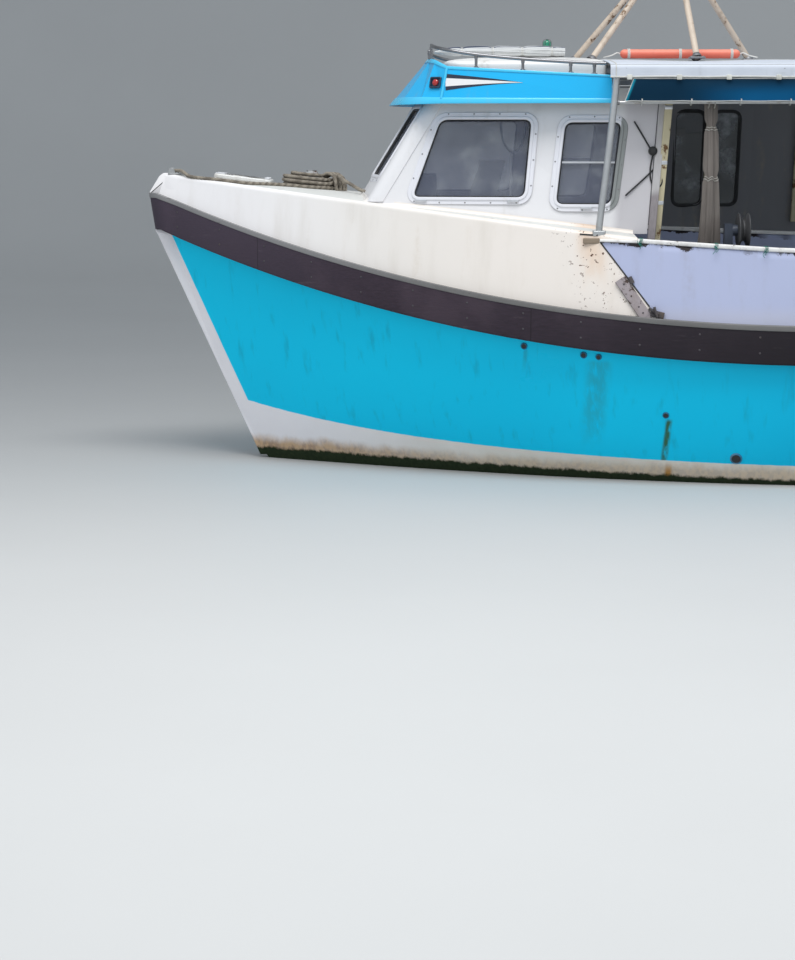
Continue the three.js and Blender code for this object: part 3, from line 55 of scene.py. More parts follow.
def capped(rows, uv=None):
    # a net whose rows are closed sections, with a face over the first and another over the last
    count, cols = rows.shape[:2]
    ends = [np.arange(cols)[None], (count - 1) * cols + np.arange(cols)[None, ::-1]]
    return rows.reshape(-1, 3), [net(count, cols, loopCols=True), *ends], uv


def together(*shapes):
    # several shapes as one, each with its own stretch of indices
    points, faces, uvs = [], [], []
    start = 0
    for shapePoints, shapeFaces, uv in shapes:
        points.append(shapePoints)
        faces += [np.asarray(f) + start for f in shapeFaces]
        uvs.append(np.zeros((len(shapePoints), 2)) if uv is None else uv)
        start += len(shapePoints)
    return np.concatenate(points), faces, np.concatenate(uvs)


def mirrored(shape):
    # the same shape on the other side of the centreline
    points, faces, uv = shape
    return points * [1, -1, 1], [np.asarray(f)[:, ::-1] for f in faces], uv


def tangents(path, closed=False):
    # unit direction of travel at each point of a path, from its two neighbours
    step = np.roll(path, -1, 0) - np.roll(path, 1, 0) if closed else np.gradient(path, axis=0)
    return step / np.linalg.norm(step, axis=1, keepdims=True)


def lengths(path):
    # distance travelled to each point of a path
    return np.concatenate([[0], np.cumsum(np.linalg.norm(np.diff(path, axis=0), axis=1))])


def acrossFrames(path, closed=False):
    # two unit vectors square to the path at each point, steered by the axis that it runs along the least
    forward = tangents(path, closed)
    steer = np.eye(3)[np.argmin(np.abs(forward).max(0))]
    side = np.cross(forward, steer)
    side /= np.linalg.norm(side, axis=1, keepdims=True)
    return side, np.cross(side, forward)


def sweep(path, profile, closed=False):
    # a profile carried along a path: point = path + side * profile's first number + top * its second
    path = np.asarray(path, float)
    side, top = acrossFrames(path, closed)
    profile = np.asarray(profile, float)
    if profile.ndim == 2:
        profile = np.broadcast_to(profile, (len(path), *profile.shape))
    points = path[:, None] + side[:, None] * profile[..., :1] + top[:, None] * profile[..., 1:]
    rows, cols = points.shape[:2]
    uv = np.stack(np.broadcast_arrays(lengths(path)[:, None], np.arange(cols)[None] / cols), -1).reshape(-1, 2)
    if closed:
        return points.reshape(-1, 3), [net(rows, cols, loopRows=True, loopCols=True)], uv
    return capped(points, uv)


def fullTurn(count):
    # angles at even steps once round
    return np.linspace(0, 2 * math.pi, count, endpoint=False)


def circle(sides):
    # points round a circle of radius 1
    turn = fullTurn(sides)
    return np.stack([np.cos(turn), np.sin(turn)], -1)


def tube(path, radius, sides=14, closed=False):
    # a round bar along a path, its radius one number or one for each point
    path = np.asarray(path, float)
    radii = np.broadcast_to(np.asarray(radius, float), len(path))
    return sweep(path, circle(sides)[None] * radii[:, None, None], closed)


def curveThrough(points, perStretch=8):
    # a smooth line through the points: a centripetal cubic between each two, steered by their neighbours
    knots = np.asarray(points, float)
    ends = np.concatenate([[2 * knots[0] - knots[1]], knots, [2 * knots[-1] - knots[-2]]])
    a, b, c, d = ends[:-3], ends[1:-2], ends[2:-1], ends[3:]
    before, within, after = (np.linalg.norm(q - p, axis=1)[:, None] ** 0.5 for p, q in ((a, b), (b, c), (c, d)))
    leave = ((b - a) / before - (c - a) / (before + within) + (c - b) / within) * within
    arrive = ((c - b) / within - (d - b) / (within + after) + (d - c) / after) * within
    t = np.linspace(0, 1, perStretch, endpoint=False)[None, :, None]
    b, c, leave, arrive = b[:, None], c[:, None], leave[:, None], arrive[:, None]
    bend = 3 * (c - b) - 2 * leave - arrive
    twist = 2 * (b - c) + leave + arrive
    line = b + leave * t + bend * t**2 + twist * t**3
    return np.concatenate([line.reshape(-1, 3), knots[-1:]])


def bar(start, end, count, radius, sides):
    # a straight round bar, with rings at "count" even steps from start to end
    return tube(np.linspace(start, end, count), radius, sides)


def lathe(profile, origin, axis, sides=32):
    # a profile of [distance along the axis, radius] turned about the axis through the origin
    profile = np.asarray(profile, float)
    forward = np.asarray(axis, float) / np.linalg.norm(axis)
    steer = np.eye(3)[np.argmin(np.abs(forward))]
    side = np.cross(forward, steer)
    side /= np.linalg.norm(side)
    top = np.cross(side, forward)
    ring = circle(sides)
    spin = ring[:, :1] * side + ring[:, 1:] * top
    radius = np.maximum(profile[:, 1], 2e-4)[:, None, None]
    points = np.asarray(origin, float) + forward * profile[:, 0][:, None, None] + spin[None] * radius
    rows = len(profile)
    faces = [net(rows, sides, loopCols=True), np.arange(sides)[None], (rows - 1) * sides + np.arange(sides)[None]]
    uv = np.stack(np.broadcast_arrays(profile[:, :1], np.arange(sides)[None] / sides), -1).reshape(-1, 2)
    return points.reshape(-1, 3), faces, uv


def bothEnds(half):
    # a lathe's profile that is the same to either side of its origin
    return [[-a, r] for a, r in half[::-1]] + half


def roundedCorners(corners, radius, steps=6):
    # a polygon's outline with each corner drawn as a curve that starts and ends "radius" from it
    corner = np.asarray(corners, float)
    before = np.roll(corner, 1, 0) - corner
    after = np.roll(corner, -1, 0) - corner
    start = corner + before / np.linalg.norm(before, axis=1, keepdims=True) * radius
    end = corner + after / np.linalg.norm(after, axis=1, keepdims=True) * radius
    t = np.linspace(0, 1, steps + 1)[None, :, None]
    arc = start[:, None] * (1 - t) ** 2 + corner[:, None] * 2 * t * (1 - t) + end[:, None] * t**2
    return arc.reshape(-1, 2)


def roundedBox(lowA, lowB, highA, highB, radius, steps=6):
    # a rectangle's outline with rounded corners
    return roundedCorners([[lowA, lowB], [highA, lowB], [highA, highB], [lowA, highB]], radius, steps)


def outward(outline):
    # unit directions that point out of a closed outline, square to it
    step = np.roll(outline, -1, 0) - np.roll(outline, 1, 0)
    step /= np.maximum(np.linalg.norm(step, axis=1, keepdims=True), 1e-9)
    x, y = outline.T
    turn = np.sign(np.sum(x * np.roll(y, -1) - y * np.roll(x, -1)))
    return np.stack([step[:, 1], -step[:, 0]], -1) * turn


def plate(outline, levels, toSpace):
    # an outline carried through levels of (height, inset); toSpace puts (a, b, height) in the boat
    out = outward(outline)
    rows = [np.column_stack([outline - out * inset, np.full(len(outline), height)]) for height, inset in levels]
    points = np.asarray(toSpace(*np.stack(rows).reshape(-1, 3).T), float).T
    return capped(points.reshape(len(levels), len(outline), 3))


def rimmed(outline, profile, toSpace):
    # a closed rim round an outline; its profile is a loop of (distance outwards, height)
    out = outward(outline)
    a = outline[:, None] + out[:, None] * profile[None, :, :1]
    high = np.broadcast_to(profile[None, :, 1], a.shape[:2])
    points = np.asarray(toSpace(a[..., 0].ravel(), a[..., 1].ravel(), high.ravel()), float).T
    return points, [net(len(outline), len(profile), loopRows=True, loopCols=True)], None


def soften(low, high, edge, corner=None, axis=2, steps=3):
    # a block with bevelled ends along one axis and rounded corners about it
    low, high = np.asarray(low, float), np.asarray(high, float)
    a, b = [i for i in range(3) if i != axis]
    outline = roundedBox(low[a], low[b], high[a], high[b], edge if corner is None else corner, steps)

    def toSpace(x, y, h):
        # the outline's two directions and the height, each on its own axis
        space = [None] * 3
        space[a], space[b], space[axis] = x, y, h
        return space

    levels = [(low[axis], edge), (low[axis] + edge * 0.3, edge * 0.3), (low[axis] + edge, 0),
              (high[axis] - edge, 0), (high[axis] - edge * 0.3, edge * 0.3), (high[axis], edge)]
    return plate(outline, levels, toSpace)


def domes(places, directions, radius, height, sides=8):
    # many round heads at once: three rings each, on their places, along their directions
    places = np.atleast_2d(np.asarray(places, float))
    forward = np.broadcast_to(np.asarray(directions, float), places.shape)
    forward = forward / np.linalg.norm(forward, axis=1, keepdims=True)
    steer = np.where(np.abs(forward[:, :1]) < 0.8, [[1.0, 0, 0]], [[0, 1.0, 0]])
    side = np.cross(forward, steer)
    side /= np.linalg.norm(side, axis=1, keepdims=True)
    top = np.cross(side, forward)
    rings = np.array([[1, 0], [0.92, 0.55], [0.5, 1]])  # share of the radius, share of the height
    turn = circle(sides)
    across = side[:, None, None] * turn[None, None, :, :1] + top[:, None, None] * turn[None, None, :, 1:]
    points = places[:, None, None] + across * radius * rings[None, :, None, :1]
    points = points + forward[:, None, None] * height * rings[None, :, None, 1:]
    one = net(3, sides, loopCols=True)
    start = (np.arange(len(places)) * 3 * sides)[:, None, None]
    base = np.arange(sides)[None]
    faces = [(one[None] + start).reshape(-1, 4), base + start[:, 0], (base + 2 * sides)[:, ::-1] + start[:, 0]]
    return points.reshape(-1, 3), faces, None


def thick(points, thickness, loopCols=False):
    # a net of points given a second face "thickness" inwards along its normals, and closed round its edge
    rows, cols = points.shape[:2]
    if loopCols:
        along = np.roll(points, -1, 1) - np.roll(points, 1, 1)
    else:
        along = np.gradient(points, axis=1)
    normal = np.cross(np.gradient(points, axis=0), along)
    normal /= np.maximum(np.linalg.norm(normal, axis=2, keepdims=True), 1e-12)
    inner = points - normal * thickness
    faces = net(rows, cols, loopCols=loopCols)
    count = rows * cols
    edges = [np.arange(cols), (rows - 1) * cols + np.arange(cols)]
    if loopCols:
        edges = [np.append(e, e[0]) for e in edges]
    else:
        edges += [np.arange(rows) * cols, np.arange(rows) * cols + cols - 1]
    strips = [np.stack([e[:-1], e[1:], e[1:] + count, e[:-1] + count], -1) for e in edges]
    uv = np.stack(np.meshgrid(np.linspace(0, 1, rows), np.linspace(0, 1, cols), indexing="ij"), -1).reshape(-1, 2)
    both = np.concatenate([points.reshape(-1, 3), inner.reshape(-1, 3)])
    return both, [faces, faces[:, ::-1] + count, *strips], np.concatenate([uv, uv])


def addPiece(name, shape, finish, body="boat", replaces=(), sharp=38):
    # a shape as an object on its body, smooth but for edges over "sharp" degrees
    points, faces, uv = shape
    mesh = bpy.data.meshes.new(name)
    mesh.from_pydata(points.tolist(), [], [face for part in faces for face in np.asarray(part).tolist()])
    if uv is not None:
        corner = np.zeros(len(mesh.loops), int)
        mesh.loops.foreach_get("vertex_index", corner)
        mesh.uv_layers.new(name="place").data.foreach_set("uv", uv[corner].ravel().astype(np.float32))
    work = bmesh.new()
    work.from_mesh(mesh)
    bmesh.ops.recalc_face_normals(work, faces=work.faces)
    work.to_mesh(mesh)
    work.free()
    mesh.shade_smooth()
    mesh.set_sharp_from_angle(angle=math.radians(sharp))
    mesh.materials.append(finish)
    piece = bpy.data.objects.new(name, mesh)
    bpy.context.scene.collection.objects.link(piece)
    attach(piece, body)
    if replaces:
        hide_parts(*([replaces] if isinstance(replaces, str) else replaces))
    return piece


def dress(finish, *names):
    # a CAD node keeps its shape and takes a finish
    for name in names:
        for slot in nodes[name].material_slots:
            slot.material = finish


# Finishes


class Wire:
    # a value on its way through a material's nodes, with Python's operators
    def __init__(self, finish, socket):
        self.finish = finish
        self.socket = socket

    def maths(self, operation, *others):
        # one Math node on this value
        return self.finish.node("ShaderNodeMath", {"operation": operation}, dict(enumerate([self, *others])))

    def __add__(self, other):
        return self.maths("ADD", other)

    def __sub__(self, other):
        return self.maths("SUBTRACT", other)

    def __rsub__(self, other):
        return (self * -1) + other

    def __mul__(self, other):
        return self.maths("MULTIPLY", other)

    def __truediv__(self, other):
        return self.maths("DIVIDE", other)

    def __abs__(self):
        return self.maths("ABSOLUTE")

    __radd__ = __add__
    __rmul__ = __mul__


class Finish:
    # one material, built on a Principled shader
    def __init__(self, name, colour=(0.8, 0.8, 0.8), rough=0.5, metal=0.0, **sockets):
        self.material = bpy.data.materials.new(name)
        self.material.use_nodes = True
        self.tree = self.material.node_tree
        self.shader = self.tree.nodes["Principled BSDF"]
        self.set("Base Color", (*colour, 1))
        self.set("Roughness", rough)
        self.set("Metallic", metal)
        for socket, value in sockets.items():
            self.set(socket.replace("_", " "), value)
        self.place = self.node("ShaderNodeTexCoord", out="Object")
        self.x, self.y, self.z = (self.node("ShaderNodeSeparateXYZ", inputs={0: self.place}, out=i) for i in range(3))

    def node(self, kind, settings=None, inputs=None, out=0):
        # a node of any kind: its settings first, then the values or wires of its sockets
        made = self.tree.nodes.new(kind)
        for key, value in (settings or {}).items():
            setattr(made, key, value)
        for key, value in (inputs or {}).items():
            self.plug(made.inputs[key], value)
        return Wire(self, made.outputs[out])

    def plug(self, socket, value):
        # a link for a wire, the plain value otherwise
        if isinstance(value, Wire):
            self.tree.links.new(value.socket, socket)
        else:
            socket.default_value = value

    def set(self, socket, value):
        # a value or a wire for one of the shader's own sockets
        self.plug(self.shader.inputs[socket], value)

    def noise(self, scale=1.0, stretch=(1, 1, 1), detail=4.0, rough=0.55):
        # cloudy noise from 0 to 1, its spots shorter along an axis where "stretch" is larger
        mapped = self.node("ShaderNodeMapping", inputs={"Vector": self.place, "Scale": stretch})
        inputs = {"Vector": mapped, "Scale": scale, "Detail": detail, "Roughness": rough}
        return self.node("ShaderNodeTexNoise", inputs=inputs)

    def cells(self, scale):
        # distance to the nearest of scattered points
        return self.node("ShaderNodeTexVoronoi", inputs={"Vector": self.place, "Scale": scale}, out="Distance")

    def wave(self, scale, direction="X"):
        # soft bands, one after another along an axis
        inputs = {"Vector": self.place, "Scale": scale}
        return self.node("ShaderNodeTexWave", {"bands_direction": direction}, inputs, out="Fac")

    def step(self, value, low, high):
        # rises smoothly from 0 at low to 1 at high, and falls where low is the larger
        if low > high:
            return 1 - self.step(value, high, low)
        return self.node("ShaderNodeMapRange", {"interpolation_type": "SMOOTHSTEP"},
                         {"Value": value, "From Min": low, "From Max": high})

    def near(self, value, middle, reach):
        # 1 at the middle, falling smoothly to 0 at "reach" to either side
        return self.step(abs(value - middle), reach, reach * 0.25)

    def mix(self, factor, one, other):
        # a colour from one, at 0, to the other, at 1
        one, other = ((*c, 1) if isinstance(c, tuple) else c for c in (one, other))
        return self.node("ShaderNodeMix", {"data_type": "RGBA"}, {0: factor, 6: one, 7: other}, out=2)

    def bump(self, height, strength=0.3, distance=0.002):
        # fine relief from a height that varies over the surface
        inputs = {"Height": height, "Strength": strength, "Distance": distance}
        self.set("Normal", self.node("ShaderNodeBump", inputs=inputs))

    def uv(self, out="X"):
        # one direction of the piece's own map
        both = self.node("ShaderNodeUVMap", {"uv_map": "place"})
        return self.node("ShaderNodeSeparateXYZ", inputs={0: both}, out=out)


def grimy(f, colour, dirt=(0.32, 0.29, 0.22), amount=0.5):
    # a painted colour with soft clouding and long vertical dribbles of dirt
    cloud = f.noise(0.9, detail=5)
    dribble = f.noise(1.0, stretch=(13, 13, 0.55), detail=3)
    fine = f.noise(30, detail=3)
    mask = f.step(dribble * 0.62 + cloud * 0.38, 0.52, 0.72) * f.step(fine, 0.2, 0.75) * amount
    tone = f.mix(cloud, tuple(c * 0.93 for c in colour), tuple(min(c * 1.05, 1) for c in colour))
    return f.mix(mask, tone, dirt)


def gelcoat(name, colour, rough=0.34, amount=0.4, **sockets):
    # glossy moulding, clouded and a little uneven
    f = Finish(name, colour, rough, Coat_Weight=0.25, Coat_Roughness=0.15, **sockets)
    f.set("Base Color", grimy(f, colour, amount=amount))
    f.set("Roughness", f.noise(3.5, detail=4) * 0.22 + (rough - 0.1))
    f.bump(f.noise(7, detail=2) + f.noise(160, detail=2) * 0.12, 0.10, 0.004)
    return f.material


def paintedMetal(name, colour, wear=0.35, rust=(0.20, 0.07, 0.025), rough=0.45):
    # paint over steel: chips down to rust, dulled in patches
    f = Finish(name, colour, rough)
    worn = f.noise(16, detail=8, rough=0.7) + f.noise(2.2, detail=3) * 0.4
    chip = f.step(worn, 0.83 - wear * 0.12, 0.88 - wear * 0.12)
    halo = f.step(worn, 0.72 - wear * 0.12, 0.90)
    coat = grimy(f, colour, dirt=(0.14, 0.09, 0.05), amount=0.55)
    rusty = f.mix(f.noise(60, detail=4), rust, tuple(c * 0.4 for c in rust))
    f.set("Base Color", f.mix(chip, f.mix(halo * 0.35, coat, rust), rusty))
    f.set("Roughness", chip * 0.4 + f.noise(5) * 0.15 + (rough - 0.06))
    f.bump(f.noise(90, detail=4) * 0.3 - chip * 0.8, 0.25, 0.003)
    return f.material


def bareMetal(name, colour, rough=0.32, brushed=0.5, stain=0.3):
    # stainless or galvanised metal, finely drawn, with tea-coloured stains
    f = Finish(name, colour, rough, 1.0)
    spots = f.step(f.noise(9, detail=7, rough=0.65), 0.55, 0.78) * stain
    tone = f.mix(f.noise(40, detail=3), tuple(c * 0.82 for c in colour), colour)
    f.set("Base Color", f.mix(spots, tone, (0.23, 0.15, 0.09)))
    f.set("Roughness", f.noise(14, detail=5) * 0.3 + spots * 0.3 + (rough - 0.12))
    f.bump(f.noise(220, stretch=(0.08, 1, 1), detail=2) * brushed + f.noise(20) * 0.2, 0.08, 0.001)
    return f.material


def rubberPlastic(name, colour, rough=0.55):
    # rubber or plastic with a pale bloom
    f = Finish(name, colour, rough)
    bloom = f.step(f.noise(6, detail=5), 0.4, 0.8)
    f.set("Base Color", f.mix(bloom * 0.5, colour, tuple(min(c * 1.9 + 0.02, 1) for c in colour)))
    f.set("Roughness", f.noise(25, detail=3) * 0.2 + (rough - 0.1))
    f.bump(f.noise(500, detail=2), 0.15, 0.0006)
    return f.material


def twoTone(name, colour, rough, dark, pale, scale, detail=4.0, stretch=(1, 1, 1), **sockets):
    # a finish whose colour drifts between a dark and a pale tone; its noise is kept as "drift"
    f = Finish(name, colour, rough, **sockets)
    f.drift = f.noise(scale, stretch, detail)
    f.set("Base Color", f.mix(f.drift, dark, pale))
    return f


# Camera, light and floor

view = {"place": (2.62, 15.0, 2.15), "down": 8.75, "lens": 84.75, "sensor": 36, "far": 200}
camera = bpy.data.objects.new("camera", bpy.data.cameras.new("camera"))
camera.data.lens = view["lens"]
camera.data.sensor_width = view["sensor"]
camera.data.clip_end = view["far"]
camera.data.dof.use_dof = False
camera.location = view["place"]
camera.rotation_euler = (math.radians(90 - view["down"]), 0, math.radians(180))
bpy.context.scene.collection.objects.link(camera)
bpy.context.scene.camera = camera

bpy.context.scene.view_settings.view_transform = "Standard"
sky = bpy.context.scene.world or bpy.data.worlds.new("sky")
bpy.context.scene.world = sky
sky.use_nodes = True
background = sky.node_tree.nodes["Background"]
background.inputs["Color"].default_value = (0.80, 0.86, 0.93, 1)
background.inputs["Strength"].default_value = 0.75

lights = [  # name, place, what it looks at, size, power
    ("overcast", (2.0, 6.0, 11.0), (1.5, 0, 0.5), 8.0, 1650),
    ("fromBow", (10.0, 11.0, 5.5), (2.5, 0, 1.0), 5.0, 1200),
    ("fromAft", (-9.0, -8.0, 7.0), (0, 0, 1.0), 7.0, 420),
]
for name, place, target, size, power in lights:
    lamp = bpy.data.objects.new(name, bpy.data.lights.new(name, "AREA"))
    lamp.data.size = size
    lamp.data.energy = power
    lamp.location = place
    aim = np.array(target, float) - np.array(place, float)
    lamp.rotation_euler = (math.acos(-aim[2] / np.linalg.norm(aim)), 0, math.atan2(aim[0], -aim[1]))
    bpy.context.scene.collection.objects.link(lamp)

# The floor lies at the water's surface and bends up into a backdrop far behind.
floorSize = {"reach": 60.0, "flatTo": -18.0, "bend": 10.0, "tall": 40.0}
flatTo, bend = floorSize["flatTo"], floorSize["bend"]
floorRun = np.array([[y, 0.0] for y in np.linspace(floorSize["reach"], flatTo, 12)]
                    + [[flatTo - bend * math.sin(t), bend - bend * math.cos(t)]
                       for t in np.linspace(0.1, math.pi / 2, 12)]
                    + [[flatTo - bend, floorSize["tall"]]])
floorX = np.linspace(-floorSize["reach"], floorSize["reach"], 3)
floorNet = np.stack([np.broadcast_to(floorX, (len(floorRun), 3)), np.repeat(floorRun[:, :1], 3, 1),
                     np.repeat(floorRun[:, 1:], 3, 1)], -1)
floorMesh = bpy.data.meshes.new("floor")
floorMesh.from_pydata(floorNet.reshape(-1, 3).tolist(), [], net(len(floorRun), 3).tolist())
floorMesh.shade_smooth()
floorFinish = twoTone("paleFloor", (0.72, 0.73, 0.73), 0.6, (0.46, 0.465, 0.46), (0.50, 0.505, 0.50), 0.4)
floorMesh.materials.append(floorFinish.material)
floor = bpy.data.objects.new("floor", floorMesh)
bpy.context.scene.collection.objects.link(floor)
print("stage ready")

# The hull's form, as in the solids: cubic sections steered by four lengthwise lines.

# Each line: its ends along X, half-breadth amidships and at the stern, the power that it opens by, Z at the bow,
# amidships and the stern, the powers it rises by and the share where it is lowest. A plain one keeps its half-breadth.
hullLines = [
    {"bow": 2.350, "stern": -4.150, "half": 0.045, "sternHalf": 0.045, "open": 1.0, "bowZ": -0.600, "midZ": -0.640,
     "sternZ": -0.040, "riseBow": 1.5, "riseStern": 1.7, "lowest": 0.55, "plain": True},
    {"bow": 3.430, "stern": -4.150, "half": 1.180, "sternHalf": 0.820, "open": 1.6, "bowZ": -0.580, "midZ": -0.580,
     "sternZ": -0.060, "riseBow": 1.5, "riseStern": 1.8, "lowest": 0.55, "plain": False},
    {"bow": 3.695, "stern": -4.150, "half": 1.440, "sternHalf": 1.260, "open": 1.85, "bowZ": 0.250, "midZ": -0.150,
     "sternZ": 0.120, "riseBow": 1.6, "riseStern": 2.0, "lowest": 0.55, "plain": False},
    {"bow": 4.190, "stern": -4.180, "half": 1.450, "sternHalf": 1.260, "open": 2.3, "bowZ": 1.745, "midZ": 0.985,
     "sternZ": 1.040, "riseBow": 2.2, "riseStern": 2.0, "lowest": 0.51, "plain": False},
]
sheerLine = hullLines[3]
widestShare = 0.553
stemHalf = 0.025


def linePoint(line, u):
    # one steering line: half-breadth opens from the stem and narrows aft, height rises to both ends
    x = line["bow"] + (line["stern"] - line["bow"]) * u
    opened = 1 - (1 - np.minimum(u / widestShare, 1)) ** line["open"]
    closed = (np.maximum(u - widestShare, 0) / (1 - widestShare)) ** 2
    y = stemHalf + (line["half"] - stemHalf) * opened - (line["half"] - line["sternHalf"]) * closed
    if line["plain"]:
        y = np.full_like(x, line["half"])
    toBow = (np.maximum(line["lowest"] - u, 0) / line["lowest"]) ** line["riseBow"]
    toStern = (np.maximum(u - line["lowest"], 0) / (1 - line["lowest"])) ** line["riseStern"]
    z = line["midZ"] + (line["bowZ"] - line["midZ"]) * toBow + (line["sternZ"] - line["midZ"]) * toStern
    return np.stack([x, y, z], -1)


def hullPoint(u, v):
    # the skin: a cubic curve through the four lines, v from the keel to the sheer
    u, v = np.broadcast_arrays(np.asarray(u, float), np.asarray(v, float))
    a, b, c, d = (linePoint(line, u) for line in hullLines)
    v = v[..., None]
    w = 1 - v
    return w**3 * a + 3 * w**2 * v * b + 3 * w * v**2 * c + v**3 * d


def hullShares(x, z):
    # the shares u and v of the skin's point at x and z, by halving v
    x, z = np.broadcast_arrays(np.asarray(x, float), np.asarray(z, float))
    low, high = np.zeros(x.shape), np.ones(x.shape)
    for _ in range(40):
        v = (low + high) / 2
        foreX, aftX = hullPoint(0.0, v)[..., 0], hullPoint(1.0, v)[..., 0]
        u = np.clip((foreX - x) / (foreX - aftX), 0, 1)
        under = hullPoint(u, v)[..., 2] < z
        low, high = np.where(under, v, low), np.where(under, high, v)
    return u, low


def hullNormal(u, v):
    # the port skin's outward direction, from two short steps along it
    step = 1e-3
    aft = hullPoint(np.minimum(u + step, 1), v) - hullPoint(np.maximum(u - step, 0), v)
    up = hullPoint(u, np.minimum(v + step, 1)) - hullPoint(u, np.maximum(v - step, 0))
    normal = np.cross(up, aft)
    normal /= np.linalg.norm(normal, axis=-1, keepdims=True)
    return normal * np.where(normal[..., 1:2] < 0, -1, 1)


def sheerAt(u):
    # the sheer's point at the share u of its length
    return linePoint(sheerLine, np.asarray(u, float))


def sheerShare(x):
    # the share of the sheer's length at x, 0 at the bow and 1 at the stern
    return (sheerLine["bow"] - np.asarray(x, float)) / (sheerLine["bow"] - sheerLine["stern"])


def crowded(start, end, count, crowd=1.6):
    # shares from start to end that crowd together towards the start
    return start + (end - start) * np.linspace(0, 1, count) ** crowd


topside = {"edgeBowX": 4.147, "edgeBowZ": 1.877, "slope": 0.122, "tumble": 0.070, "tallAt": 0.490,
           "camber": 0.045, "aftX": 1.166}
jointShare = float(sheerShare(topside["aftX"]))


def edgeZ(x):
    # height of the moulding's top edge, which falls evenly from the bow
    return topside["edgeBowZ"] - topside["slope"] * (topside["edgeBowX"] - x)


def topEdge(u):
    # the moulding's top edge over the share u of the sheer
    x, y, z = sheerAt(u).T
    edgeX = x - (sheerLine["bow"] - topside["edgeBowX"]) * (1 - np.minimum(u / 0.1, 1)) ** 2
    height = edgeZ(edgeX) - z
    edgeY = np.maximum(y - topside["tumble"] * np.minimum(height / topside["tallAt"], 1.1), stemHalf - 0.004)
    return np.stack([edgeX, edgeY, edgeZ(edgeX)], -1)


# Hull skin

skin = {"proud": 0.004, "wall": 0.003, "lengthCount": 120, "girthCount": 64, "stemRound": 0.005}


def hullSkin():
    # rows from keel to sheer, columns round the boat: port stern, stem, starboard stern, transom
    v = np.linspace(0.015, 0.998, skin["girthCount"])[:, None]
    u = crowded(0, 1, skin["lengthCount"])[None, :]
    port = hullPoint(u, v) + hullNormal(u, v) * skin["proud"]
    arc = np.linspace(math.pi / 2, -math.pi / 2, 11)[1:-1]
    edge = port[:, :1]
    nose = np.concatenate([edge[..., :1] + np.cos(arc)[None, :, None] * skin["stemRound"],
                           edge[..., 1:2] * np.sin(arc)[None, :, None],
                           np.broadcast_to(edge[..., 2:], (len(v), len(arc), 1))], -1)
    starboard = port * [1, -1, 1]
    t = np.linspace(0, 1, 16)[None, 1:-1, None]
    transom = starboard[:, -1:] * (1 - t) + port[:, -1:] * t
    transom[..., 0] -= skin["proud"]
    rows = np.concatenate([port[:, ::-1], nose, starboard, transom], 1)
    points, faces, _ = thick(rows, skin["wall"], loopCols=True)
    return points, faces, None


outlets = [  # the place along the boat and its height, the radius of the flange and of the hole
    {"x": 1.839, "z": 0.849, "flange": 0.022, "hole": 0.014},
    {"x": 1.480, "z": 0.803, "flange": 0.022, "hole": 0.014},
    {"x": 1.390, "z": 0.793, "flange": 0.020, "hole": 0.012},
    {"x": 0.975, "z": 0.437, "flange": 0.021, "hole": 0.014},
    {"x": 0.539, "z": 0.169, "flange": 0.038, "hole": 0.027},
]
stains = [  # place, where it starts, how far it runs down, half-width, strength
    {"x": 1.385, "top": 0.78, "run": 0.62, "half": 0.10, "much": 0.30},
    {"x": 0.955, "top": 0.42, "run": 0.42, "half": 0.028, "much": 0.95},
    {"x": 1.83, "top": 0.84, "run": 0.18, "half": 0.018, "much": 0.25},
    {"x": -1.10, "top": 0.62, "run": 0.50, "half": 0.035, "much": 0.6},
    {"x": -2.35, "top": 0.60, "run": 0.48, "half": 0.03, "much": 0.5},
]


def bootEdge(f):
    # height of the boot-top's upper edge: nearly level amidships, rising to the bow
    return (f.x * 0.85).maths("EXPONENT") * 0.013 + 0.112


